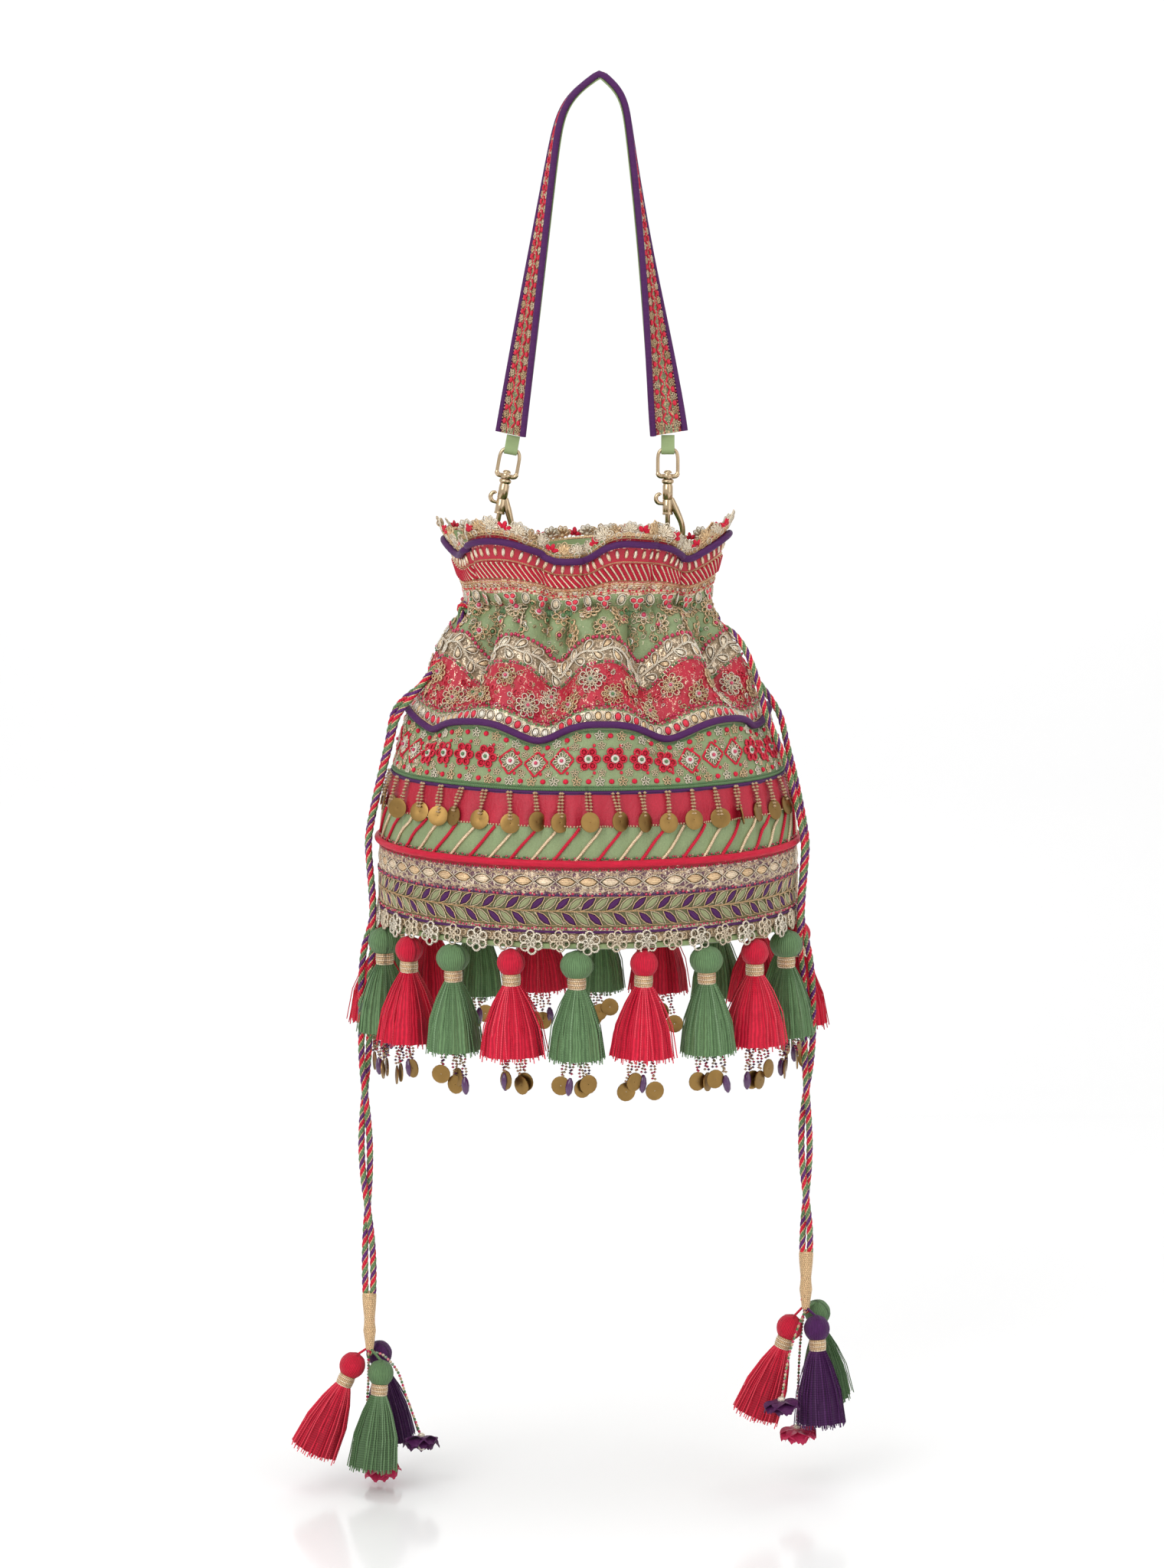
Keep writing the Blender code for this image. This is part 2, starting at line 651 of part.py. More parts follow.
def build_coin_fringe():
    """A narrow tape with a flat coin on a string below each of its spans."""
    level = RIM_LEVEL - COINS_BELOW_RIM
    top, bottom = COIN_TAPE_HEIGHT / 2, -COIN_TAPE_HEIGHT / 2
    slope = (section(level - 8 * MM)[0] - section(level)[0]) / (8 * MM)
    half, radius = COIN_STRING_RADIUS, COIN_RADIUS
    outline = [
        (-half, 0),
        (-half, COIN_STRING),
        (-0.93 * radius, COIN_STRING + 0.6 * radius),
        (-0.93 * radius, COIN_STRING + 1.4 * radius),
        (0, COIN_STRING + 2 * radius),
        (0.93 * radius, COIN_STRING + 1.4 * radius),
        (0.93 * radius, COIN_STRING + 0.6 * radius),
        (half, COIN_STRING),
        (half, 0),
    ]
    angles = round_angles(COIN_COUNT)
    vertices, faces = [], []
    stride = 2 + len(outline)
    inside = 2 * SEW_GAP
    for out in (inside, inside + COIN_THICKNESS):
        upper = [wall_point(angle, level, out - slope * top, top) for angle in angles]
        lower = [wall_point(angle, level, out - slope * bottom, bottom) for angle in angles]
        for index in range(COIN_COUNT):
            after = (index + 1) % COIN_COUNT
            middle = (lower[index] + lower[after]) / 2
            along = (lower[after] - lower[index]).normalized()
            down = (middle - (upper[index] + upper[after]) / 2).normalized()
            vertices += [upper[index], lower[index]]
            vertices += [middle + along * x + down * y for x, y in outline]
    layer = COIN_COUNT * stride
    for index in range(COIN_COUNT):
        here, after = index * stride, (index + 1) % COIN_COUNT * stride
        rim = [here + 1] + list(range(here + 2, here + stride)) + [after + 1]
        face = [after, here] + rim
        faces += [tuple(face), tuple(layer + i for i in face)]
        for first, second in zip(rim, rim[1:]):
            faces.append((first, second, layer + second, layer + first))
        faces.append((here, after, layer + after, layer + here))
    add_object("coin_fringe", mesh_of("coin_fringe", vertices, faces), "brass_sequin", smooth=False)


# Tassels


def tassel_profile(head_radius, skirt_radius, skirt_length):
    """A tassel hung from the origin, as (radius, height) from the top down."""
    wrap_top = -HEAD_HEIGHT
    wrap_end = wrap_top - WRAP_HEIGHT
    skirt_end = wrap_end - skirt_length
    return [
        (0, 0),
        (head_radius, -0.45 * HEAD_HEIGHT),
        (WRAP_RADIUS, wrap_top),
        (WRAP_RADIUS, wrap_end),
        (0.72 * skirt_radius, wrap_end - 0.2 * skirt_length),
        (skirt_radius, skirt_end),
    ]


def hem_tassel_mesh(name, head_radius, skirt_radius):
    """A hem tassel with the coins that its bead strings carry below the threads."""
    profile = tassel_profile(head_radius, skirt_radius, SKIRT_LENGTH)
    skirt_end = profile[-1][1]
    profile += [
        (DROP_STRING_RADIUS, skirt_end),
        (COIN_RADIUS, skirt_end - DROP_LENGTH),
        (0, skirt_end - DROP_LENGTH - COIN_RADIUS),
    ]
    return turned_mesh(name, profile, TASSEL_SIDES)


def build_hem_tassels():
    pink = hem_tassel_mesh("pink_tassel", PINK_HEAD_RADIUS, PINK_SKIRT_RADIUS)
    green = hem_tassel_mesh("green_tassel", GREEN_HEAD_RADIUS, GREEN_SKIRT_RADIUS)
    top = HEM_LEVEL - SEAT - BASE_THICKNESS - SEAT
    for index, angle in enumerate(round_angles(TASSEL_COUNT, TASSEL_PHASE)):
        is_green = index % 2 == 0
        name = f"hem_tassel_{index + 1:02d}"
        obj = add_object(name, green if is_green else pink, "green_thread" if is_green else "pink_thread")
        half_width, half_depth = HEM_HALF_WIDTH + TASSEL_OUT, HEM_HALF_DEPTH + TASSEL_OUT
        obj.location = (BAG_CENTRE + half_width * math.sin(angle), -half_depth * math.cos(angle), top)
        heading = math.atan2(math.sin(angle) * HEM_HALF_DEPTH, math.cos(angle) * HEM_HALF_WIDTH)
        obj.rotation_euler = (0, 0, heading)


# Drawcords

# Each strand over the belly, chosen by hand: degrees in front of the bag's side, millimetres
# below the rim and millimetres outside the cloth, clear of the piping and the coins
LEFT_OUTER_STRAND = [
    (-1.5, 38.5, 3.2),
    (1.5, 47, 3.6),
    (2.8, 57, 4.2),
    (3, 68, 5),
    (2.5, 78, 5.9),
    (2, 86, 6.6),
    (1.5, 98, 5.5),
    (1, 110, 5),
    (1, 122, 5),
    (1.5, 134, 5.6),
    (3, 144, 6),
    (4.5, 156, 5),
    (6, 168, 4.2),
    (6.5, 180, 4.2),
]
LEFT_INNER_STRAND = [
    (4.8, 39, 3.2),
    (10, 47, 3.6),
    (12, 57, 4.2),
    (12.5, 68, 5),
    (12, 78, 5.9),
    (11, 86, 6.6),
    (9.5, 98, 5.5),
    (8, 110, 5),
    (7, 122, 5),
    (6.5, 134, 5.6),
    (6.8, 144, 6),
    (7.5, 156, 5),
    (8.8, 168, 4.2),
    (9.2, 180, 4.2),
]
RIGHT_OUTER_STRAND = [
    (-1.5, 41, 3.2),
    (1.5, 49, 3.6),
    (2.5, 58, 4.2),
    (3, 69, 5),
    (3.5, 79, 5.9),
    (4.5, 86.5, 6.6),
    (6, 98, 5.5),
    (7, 110, 5),
    (8, 122, 5),
    (9, 134, 5.6),
    (9.8, 144, 6),
    (10.6, 156, 5),
    (11.2, 168, 4.2),
    (11.6, 180, 4.2),
]
RIGHT_INNER_STRAND = [
    (4.8, 41.5, 3.2),
    (10, 49, 3.6),
    (13, 58, 4.2),
    (14.5, 69, 5),
    (15.5, 79, 5.9),
    (15.5, 86.5, 6.6),
    (15, 98, 5.5),
    (14.6, 110, 5),
    (14.2, 122, 5),
    (14, 134, 5.6),
    (13.8, 144, 6),
    (13.8, 156, 5),
    (14, 168, 4.2),
    (14.4, 180, 4.2),
]
# The middle of each pair of strands below the hem, between two tassels, in millimetres
LEFT_PAIR = [
    (-108.6, -10.5, -403),
    (-110.1, -9.7, -416),
    (-110.4, -9.4, -430),
    (-110.5, -9.3, -444),
    (-110.8, -9.2, -458),
    (-110.9, -9.1, -472),
    (-110.9, -9, -486),
    (-110.8, -8.8, -500),
    (-110.5, -8.6, -514),
    (-110.1, -8.4, -528),
    (-109.8, -8.2, -542),
    (-109.6, -8, -556),
]
RIGHT_PAIR = [
    (95.8, -18.6, -403),
    (97.6, -18.1, -416),
    (98.1, -17.9, -430),
    (98.2, -17.8, -444),
    (97.9, -17.6, -458),
    (97.4, -17.2, -471),
    (97.1, -16.6, -484),
    (97.2, -15.8, -497),
    (97.5, -15, -510),
    (97.8, -14.4, -523),
    (98, -14.1, -536),
]
PAIR_STRAIGHT = 4  # so many of its first points before the pair twists
PAIR_TWIST = math.radians(45)  # and so much at each point after them
# What hangs below each binding, in millimetres from its lower end: the tassels' colour, head
# centre and direction, then the flowers' colour, string points and direction
LEFT_END_TASSELS = [
    ("pink", (-8, -2, -6.5), (-0.41, -0.05, -0.91)),
    ("green", (5.5, -6.5, -9), (-0.09, -0.1, -0.99)),
    ("purple", (4, 8, -3.5), (0.12, 0.22, -0.97)),
]
LEFT_END_FLOWERS = [
    (
        "purple",
        [(1.42, 1.03, -1.2), (7, -0.6, -3), (13.6, -4, -10), (17.6, -4.5, -22), (24.6, -4, -42)],
        (0.05, -0.4, -0.9),
    ),
    (
        "pink",
        [(-0.54, -1.66, -1.2), (-0.8, 1.6, -14), (-1.4, 2.4, -32), (2, 4.2, -47), (5, 4.2, -58.5)],
        (0.1, 0.1, -1),
    ),
]
RIGHT_END_TASSELS = [
    ("pink", (-7.5, -2, -8), (-0.35, -0.03, -0.93)),
    ("purple", (5, -5.5, -7.5), (0.05, -0.1, -0.99)),
    ("green", (6, 8, -3.5), (0.12, 0.22, -0.97)),
]
RIGHT_END_FLOWERS = [
    (
        "purple",
        [(-0.54, -1.66, -1.2), (-4.4, -10.5, -7), (-9, -17, -20), (-12.4, -24.5, -38)],
        (0.1, -0.1, -1),
    ),
    ("pink", [(-0.54, 1.66, -1.2), (-2, 3, -14), (-3, 2.6, -32), (-3.6, -1, -58.5)], (0.05, 0, -1)),
]
LEFT_BINDING_TOP = Vector((-109.6, -8, -570.3)) * MM
RIGHT_BINDING_TOP = Vector((98, -14, -548.5)) * MM


def smooth_path(points, step):
    """Points about a step apart on a smooth curve through the given ones."""
    count = len(points)
    path = []
    for index in range(count - 1):
        before, start = points[max(index - 1, 0)], points[index]
        end, after = points[index + 1], points[min(index + 2, count - 1)]
        pieces = max(1, round((end - start).length / step))
        for piece in range(pieces):
            t = piece / pieces
            path.append(
                0.5
                * (
                    2 * start
                    + (end - before) * t
                    + (2 * before - 5 * start + 4 * end - after) * t**2
                    + (3 * start - before - 3 * end + after) * t**3
                )
            )
    path.append(points[-1])
    return path


def strand_route(side, belly, pair, sign, end):
    """One strand from the slot in the shell to the binding; sign is its side of the pair."""
    points = []
    for turn, below_rim, out in belly:
        points.append(wall_point(side * math.radians(90 - turn), RIM_LEVEL - below_rim * MM, out * MM))
    twist = 0.0
    for index, place in enumerate(pair):
        twist += PAIR_TWIST if index >= PAIR_STRAIGHT else 0
        beside = Vector((math.cos(twist), math.sin(twist), 0)) * PAIR_RADIUS
        points.append(Vector(place) * MM + beside * sign * side)
    return points + [end]


def drawcord_route(side, run_level, strands, pair, binding_top):
    """From the binding up one strand, round the neck in its casing and down again."""
    inset = casing_inset()
    half_width, half_depth = NECK_HALF_WIDTH - inset, NECK_HALF_DEPTH - inset
    half_gap = CORD_RADIUS + 1.5 * CORD_GAP
    exit_x = BAG_CENTRE + side * (NECK_HALF_WIDTH + 2.6 * MM)
    turn_angle = math.asin((half_gap + CORD_BEND) / half_depth)
    steps = 22
    first = math.pi / 2 * side + turn_angle
    sweep = math.tau - 2 * turn_angle
    run = []
    for i in range(steps + 1):
        angle = first + sweep * i / steps
        x = BAG_CENTRE + half_width * math.sin(angle)
        run.append(Vector((x, -half_depth * math.cos(angle), run_level)))
    if run[0].y < 0:
        run.reverse()
    corner = 0.25 * CORD_BEND
    bend_x = run[0].x + side * corner
    entry = [Vector((exit_x, half_gap, run_level)), Vector((bend_x, half_gap + corner, run_level))]
    leave = [Vector((bend_x, -half_gap - corner, run_level)), Vector((exit_x, -half_gap, run_level))]
    beside = Vector(((CORD_RADIUS + CORD_GAP) * side, 0, 0))
    outer = strand_route(side, strands[0], pair, 1, binding_top + beside)
    inner = strand_route(side, strands[1], pair, -1, binding_top - beside)
    return outer[::-1] + entry + run + leave + inner


def build_drawcord(name, side, run_level, strands, pair, binding_top):
    route = drawcord_route(side, run_level, strands, pair, binding_top)
    path = smooth_path(route, CORD_STEP)
    curve = bpy.data.curves.new(name, "CURVE")
    curve.dimensions = "3D"
    curve.bevel_depth = CORD_RADIUS
    curve.bevel_resolution = 2
    curve.use_fill_caps = True
    spline = curve.splines.new("POLY")
    spline.points.add(len(path) - 1)
    for point, place in zip(spline.points, path):
        point.co = (*place, 1)
    curve.materials.append(material("twisted_cord"))
    cord = bpy.data.objects.new(name, curve)
    bpy.context.scene.collection.objects.link(cord)


def build_binding(name, top):
    """The gold thread wound round both ends of a drawcord."""
    length = BINDING_LENGTH
    profile = [
        (BINDING_TOP_RADIUS, 0),
        (BINDING_TOP_RADIUS * 0.92, -0.2 * length),
        (BINDING_END_RADIUS, -0.45 * length),
        (BINDING_TOP_RADIUS * 0.86, -0.66 * length),
        (BINDING_END_RADIUS, -0.86 * length),
        (BINDING_END_RADIUS * 0.8, -length),
    ]
    obj = add_object(name, turned_mesh(name, profile, 10), "gold_thread")
    obj.location = top - Vector((0, 0, 2 * SEAT))


def pointing(place, direction):
    """A matrix that hangs a shape from a place, with its -Z along the direction."""
    down = Vector(direction).normalized()
    return Matrix.Translation(place) @ (-down).to_track_quat("Z", "Y").to_matrix().to_4x4()


def flower_mesh(name, string_path, tilt):
    """A cloth flower on a bead string that ends in a pearl."""
    centre = string_path[-1]
    outline_outer, outline_inner = [], []
    steps = 2 * FLOWER_PETALS
    for i in range(steps):
        turn = math.tau * i / steps
        reach = FLOWER_RADIUS if i % 2 == 0 else 0.72 * FLOWER_RADIUS
        outline_outer.append((reach * math.cos(turn), reach * math.sin(turn)))
        outline_inner.append((0.2 * FLOWER_RADIUS * math.cos(turn), 0.2 * FLOWER_RADIUS * math.sin(turn)))
    lean = pointing(centre, tilt)

    def lay(x, y, depth):
        droop = -0.28 * math.hypot(x, y)
        return lean @ Vector((x, y, depth + droop))

    petals = slab_mesh(name, outline_outer, outline_inner, FLOWER_THICKNESS, lay)
    core_radius = 0.34 * FLOWER_RADIUS
    pearl_centre = -FLOWER_THICKNESS - 1.3 * PEARL_RADIUS
    core = turned_mesh(
        "core",
        [
            (0, 1.4 * FLOWER_THICKNESS),
            (core_radius, 0),
            (0.5 * PEARL_RADIUS, -FLOWER_THICKNESS - 0.3 * PEARL_RADIUS),
            (PEARL_RADIUS, pearl_centre),
            (0, pearl_centre - PEARL_RADIUS),
        ],
        6,
    )
    core.transform(lean @ Matrix.Rotation(0.17, 4, "Z"))
    string = tube_mesh("string", string_path, STRAND_RADIUS, 4, side_hint=Vector((0, 1, 0)))
    return combine(name, petals, [core, string])


def build_cluster(prefix, top, tassels, flowers):
    """Three tassels and two flowers that hang by their threads from the end of a binding."""
    knot = top - Vector((0, 0, 2 * SEAT + BINDING_LENGTH))
    head_centre = Vector((0, 0, -0.5 * HEAD_HEIGHT))
    for (colour, offset, direction), turn in zip(tassels, THREAD_TURNS[prefix]):
        name = f"{prefix}_end_tassel_{colour}"
        profile = tassel_profile(PINK_HEAD_RADIUS, CLUSTER_SKIRT_RADIUS, CLUSTER_SKIRT_LENGTH)
        hang = pointing(Vector((0, 0, 0)), direction)
        centre = knot + Vector(offset) * MM
        place = Matrix.Translation(centre - hang @ head_centre) @ hang
        body = moved(turned_mesh(name, profile, TASSEL_SIDES), place)
        fixing = knot + Vector((THREAD_RING * math.cos(turn), THREAD_RING * math.sin(turn), -1.2 * MM))
        thread = tube_mesh("thread", [fixing, centre], STRAND_RADIUS, 4)
        add_object(name, combine(name, body, [thread]), f"{colour}_thread")
    for colour, string_offsets, tilt in flowers:
        path = [knot + Vector(offset) * MM for offset in string_offsets]
        name = f"{prefix}_end_flower_{colour}"
        add_object(name, flower_mesh(name, path, tilt), f"{colour}_silk", smooth=False)


# Strap and clasps


def strap_frames():
    """(place, outward normal, width direction) along the strap, left end to right end."""
    shares = [(i / STRAP_STEPS) ** 1.35 for i in range(STRAP_STEPS + 1)]
    stations = [(LEFT_LEG, share) for share in reversed(shares)]
    stations += [(RIGHT_LEG, share) for share in shares[1:]]
    frames = []
    for leg, share in stations:
        side = -1 if leg is LEFT_LEG else 1
        drop = LEFT_STRAP_DROP / STRAP_DROP if leg is LEFT_LEG else 1
        place = leg_point(leg, share)
        place.z *= drop
        step = 0.004
        if share == 0:
            along = Vector((1, 0, 0))
        else:
            along = (leg_point(leg, share + step) - leg_point(leg, share - step)).normalized() * side
        flat = Vector((-along.z, 0, along.x))
        twist = leg["twist"] * share ** leg["twist_power"]
        outward = flat * math.cos(twist) - Vector((0, 1, 0)) * math.sin(twist)
        across = Vector((0, 1, 0)) * math.cos(twist) + flat * math.sin(twist)
        frames.append((place, outward, across))
    return frames


def strap_layer(name, frames, half_width, inside, thickness, material_name):
    vertices = []
    for place, outward, across in frames:
        for side, height in ((-1, inside), (1, inside), (1, inside + thickness), (-1, inside + thickness)):
            vertices.append(place + across * half_width * side + outward * height)
    count = len(frames)
    faces = [(0, 1, 2, 3), tuple(range(4 * count - 4, 4 * count))]
    # The faces twist, so they are cut into triangles the same way in every layer
    for row in range(0, 4 * count - 4, 4):
        for column in range(4):
            after = (column + 1) % 4
            here = [row + column, row + after, row + 4 + after, row + 4 + column]
            if column == 2:
                faces += [(here[0], here[1], here[3]), (here[1], here[2], here[3])]
            else:
                faces += [(here[0], here[1], here[2]), (here[0], here[2], here[3])]
    add_object(name, mesh_of(name, vertices, faces), material_name, smooth=False)


def build_strap():
    frames = strap_frames()
    half = STRAP_WIDTH / 2
    band_half = half - 2 * STRAP_PIPING_RADIUS - SEW_GAP
    band_inside = STRAP_LINING_THICKNESS + SEW_GAP
    strap_layer("strap_lining", frames, half - STRAP_PIPING_RADIUS, 0, STRAP_LINING_THICKNESS, "sage_satin")
    strap_layer("strap_band", frames, band_half, band_inside, STRAP_BAND_THICKNESS, "brocade")
    for name, side in (("strap_piping_front", -1), ("strap_piping_back", 1)):
        height = band_inside + STRAP_PIPING_RADIUS
        path = [p + across * side * (half - STRAP_PIPING_RADIUS) + out * height for p, out, across in frames]
        add_object(name, tube_mesh(name, path, STRAP_PIPING_RADIUS, 5), "purple_silk")


def build_tab(name, clasp):
    """A cloth loop round the eye's top bar, closed where it goes into the strap."""
    inner, outer = [], []
    steps = 12
    outer_radius = TAB_LOOP_RADIUS + TAB_THICKNESS
    for i in range(steps):
        turn = math.tau * (i + 0.5) / steps + math.pi / 2
        inner.append((TAB_LOOP_RADIUS * math.cos(turn), TAB_LOOP_RADIUS * math.sin(turn)))
        outer.append((outer_radius * math.cos(turn), outer_radius * math.sin(turn)))
    outer[0] = (-TAB_THICKNESS, TAB_ABOVE_BAR)
    outer[-1] = (TAB_THICKNESS, TAB_ABOVE_BAR)

    def lay(y, z, depth):
        return clasp @ Vector((depth, y, EYE_BAR_AXIS + z))

    add_object(name, slab_mesh(name, outer, inner, TAB_WIDTH, lay), "sage_satin")


def build_eye(name, clasp):
    """The loop of the swivel, with the hole that the hook's rivet turns in."""
    steps = 16
    middle = (EYE_BOTTOM + EYE_PLATE + EYE_TOP - EYE_BAR) / 2
    half_inner_height = (EYE_TOP - EYE_BAR - EYE_BOTTOM - EYE_PLATE) / 2
    half_inner_width = EYE_HALF_WIDTH - EYE_SIDE
    outer, inner = [], []
    for i in range(steps):
        turn = math.tau * (i + 0.5) / steps
        c, s = math.cos(turn), math.sin(turn)
        x = math.copysign(abs(c) ** 0.5, c)
        z = math.copysign(abs(s) ** 0.25, s)
        base = EYE_PLATE if s < 0 else EYE_BAR
        inner.append((half_inner_width * x, middle + half_inner_height * z))
        outer.append((EYE_HALF_WIDTH * x, middle + (half_inner_height + base) * z))

    def lay(x, z, depth):
        return clasp @ Vector((x, depth, z))

    loop = slab_mesh(name, outer, inner, EYE_DEPTH, lay)
    plate_radius = RIVET_RADIUS + SWIVEL_CLEARANCE + 1.1 * MM
    plate = turned_mesh("plate", [(plate_radius, EYE_BOTTOM), (plate_radius, EYE_BOTTOM + EYE_PLATE)], 12)
    hole_radius = RIVET_RADIUS + SWIVEL_CLEARANCE
    hole_top = EYE_BOTTOM + EYE_PLATE + MM
    hole = turned_mesh("hole", [(hole_radius, EYE_BOTTOM - MM), (hole_radius, hole_top)], 12)
    joined = combine(name, loop, [moved(plate, clasp)])
    add_object(name, combine(name, joined, [moved(hole, clasp)], "DIFFERENCE"), "gold_metal")


def hook_path():
    """The hook's centreline, from inside the barrel round to its tip under the bolt."""
    back = HOOK_THROAT
    return [
        Vector((0.27 * back, 0, BARREL_BOTTOM + 7.5 * MM)),
        Vector((0.52 * back, 0, BARREL_BOTTOM + 2.6 * MM)),
        Vector((0.86 * back, 0, BARREL_BOTTOM - 3.0 * MM)),
        Vector((back, 0, BARREL_BOTTOM - 6.6 * MM)),
        Vector((0.97 * back, 0, 2.4 * MM)),
        Vector((0.8 * back, 0, 0.5 * MM)),
        Vector((0.46 * back, 0, 0)),
        Vector((0.16 * back, 0, 0.1 * MM)),
        Vector((0, 0, 0.8 * MM)),
        Vector((0, 0, HOOK_TIP_TOP)),
    ]


def build_hook(name, clasp):
    """Hook, barrel and swivel rivet, cast as one piece with a bore for the bolt."""
    head_bottom = EYE_BOTTOM + EYE_PLATE + SWIVEL_CLEARANCE
    head_top = head_bottom + RIVET_HEAD_HEIGHT
    collar_top = BARREL_TOP + COLLAR_HEIGHT
    profile = [
        (0, BARREL_BOTTOM),
        (BARREL_RADIUS, BARREL_BOTTOM),
        (BARREL_RADIUS, BARREL_TOP),
        (COLLAR_RADIUS, BARREL_TOP + 0.25 * COLLAR_HEIGHT),
        (COLLAR_RADIUS, BARREL_TOP + 0.75 * COLLAR_HEIGHT),
        (0.8 * COLLAR_RADIUS, collar_top),
        (RIVET_RADIUS, collar_top),
        (RIVET_RADIUS, head_bottom),
        (RIVET_HEAD_RADIUS, head_bottom),
        (0.6 * RIVET_HEAD_RADIUS, head_top),
        (0, head_top),
    ]
    barrel = turned_mesh(name, profile, 12)
    bar, neck = HOOK_BAR_RADIUS, HOOK_NECK_RADIUS
    radii = [neck, neck, 0.85 * neck, 1.1 * bar, 1.08 * bar, 1.05 * bar, bar, bar, bar, 0.9 * bar]
    hook = tube_mesh("hook", hook_path(), radii, 7)
    joined = combine(name, barrel, [hook])
    thumb_low = BOLT_THUMB_LEVEL - THUMB_RADIUS - SEAT
    thumb_high = BOLT_THUMB_LEVEL + BOLT_TRAVEL + THUMB_RADIUS + SEAT
    half_slot = THUMB_RADIUS + SEAT
    slot = box_mesh("slot", (-2 * BARREL_RADIUS, -half_slot, thumb_low), (-0.2 * MM, half_slot, thumb_high))
    bore = turned_mesh("bore", [(BORE_RADIUS, BARREL_BOTTOM - 3 * MM), (BORE_RADIUS, BORE_TOP)], 14)
    bored = combine(name, joined, [bore], "DIFFERENCE")
    cut = combine(name, bored, [slot], "DIFFERENCE")
    add_object(name, moved(cut, clasp), "gold_metal")


BOLT_BOTTOM = HOOK_TIP_TOP + SEAT
BOLT_TOP = BOLT_BOTTOM + BOLT_LENGTH
BOLT_THUMB_LEVEL = BOLT_TOP - THUMB_BELOW_TOP


def build_bolt(name, clasp):
    """The sliding bolt with the curled thumb catch that sticks out of the barrel."""
    shaft = turned_mesh(name, [(BOLT_RADIUS, BOLT_BOTTOM), (BOLT_RADIUS, BOLT_TOP)], 10)
    level, reach, rise = BOLT_THUMB_LEVEL, THUMB_REACH, THUMB_RISE
    path = [
        Vector((0, 0, level)),
        Vector((-0.6 * reach, 0, level)),
        Vector((-0.88 * reach, 0, level + 0.12 * rise)),
        Vector((-reach, 0, level + 0.45 * rise)),
        Vector((-0.92 * reach, 0, level + 0.8 * rise)),
        Vector((-0.74 * reach, 0, level + rise)),
    ]
    radii = [share * THUMB_RADIUS for share in (1, 1, 1.3, 1.4, 1, 0.6)]
    thumb = tube_mesh("thumb", path, radii, 6)
    add_object(name, moved(combine(name, shaft, [thumb]), clasp), "gold_metal")


def build_spring(name, clasp):
    """The compression spring between the bolt and the blind end of the bore."""
    low = BOLT_TOP + SEAT + SPRING_WIRE_RADIUS
    high = BORE_TOP - SEAT - SPRING_WIRE_RADIUS
    points_per_turn = 6
    count = SPRING_TURNS * points_per_turn
    path = []
    for i in range(count + 1):
        turn = math.tau * i / points_per_turn
        level = low + (high - low) * i / count
        path.append(Vector((SPRING_RADIUS * math.cos(turn), SPRING_RADIUS * math.sin(turn), level)))
    mesh = tube_mesh(name, path, SPRING_WIRE_RADIUS, 3, side_hint=Vector((0, 0, 1)))
    add_object(name, moved(mesh, clasp), "gold_metal")


RING_CENTRE_HEIGHT = HOOK_BAR_RADIUS + RING_PLAY + RING_WIRE_RADIUS - RING_RADIUS
RING_CHORD_HEIGHT = RING_CENTRE_HEIGHT - RING_RADIUS * math.sin(RING_CHORD)


def build_d_ring(name, clasp):
    """A D-ring hung on the hook's bar, with its straight side down."""
    steps = 12
    path = []
    for i in range(steps + 1):
        turn = -RING_CHORD + (math.pi + 2 * RING_CHORD) * i / steps
        y, z = RING_RADIUS * math.cos(turn), RING_RADIUS * math.sin(turn)
        path.append(Vector((RING_OFFSET, y, RING_CENTRE_HEIGHT + z)))
    mesh = tube_mesh(name, path, RING_WIRE_RADIUS, 6, closed=True, side_hint=Vector((1, 0, 0)))
    add_object(name, moved(mesh, clasp), "gold_metal")


def build_clasp(side_name, clasp):
    build_tab(f"{side_name}_tab", clasp)
    build_eye(f"{side_name}_swivel_eye", clasp)
    build_hook(f"{side_name}_hook", clasp)
    build_bolt(f"{side_name}_bolt", clasp)
    build_spring(f"{side_name}_spring", clasp)
    build_d_ring(f"{side_name}_d_ring", clasp)


def main():
    clear_scene()
    build_strap()
    build_clasp("left", LEFT_CLASP)
    build_clasp("right", RIGHT_CLASP)
    build_outer_shell()
    build_lining()
    build_base_panel()
    build_mouth_lace()
    build_piping("mouth_piping", MOUTH_PIPING_BELOW_RIM, "purple_silk")
    build_piping("body_piping", BODY_PIPING_BELOW_RIM, "purple_silk")
    build_coin_fringe()
    build_piping("hem_piping", HEM_PIPING_BELOW_RIM, "pink_silk")
    build_hem_lace()
    build_hem_tassels()
    left, right = (LEFT_OUTER_STRAND, LEFT_INNER_STRAND), (RIGHT_OUTER_STRAND, RIGHT_INNER_STRAND)
    build_drawcord("left_drawcord", -1, LEFT_RUN_LEVEL, left, LEFT_PAIR, LEFT_BINDING_TOP)
    build_drawcord("right_drawcord", 1, RIGHT_RUN_LEVEL, right, RIGHT_PAIR, RIGHT_BINDING_TOP)
    build_binding("left_binding", LEFT_BINDING_TOP)
    build_binding("right_binding", RIGHT_BINDING_TOP)
    build_cluster("left", LEFT_BINDING_TOP, LEFT_END_TASSELS, LEFT_END_FLOWERS)
    build_cluster("right", RIGHT_BINDING_TOP, RIGHT_END_TASSELS, RIGHT_END_FLOWERS)


main()
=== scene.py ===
"""Looks for the potli bag: cloth, metal thread embroidery, beads, tassels, cords and clasps.

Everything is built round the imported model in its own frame, in metres, +Z up. The
origin is under the top of the strap. Angles round the bag start at the front (-Y)
and grow towards +X, and "below" is a distance down the cloth from the bag's rim.
"""

import math

import bmesh
import bpy
import numpy as np
from mathutils import Matrix, Vector


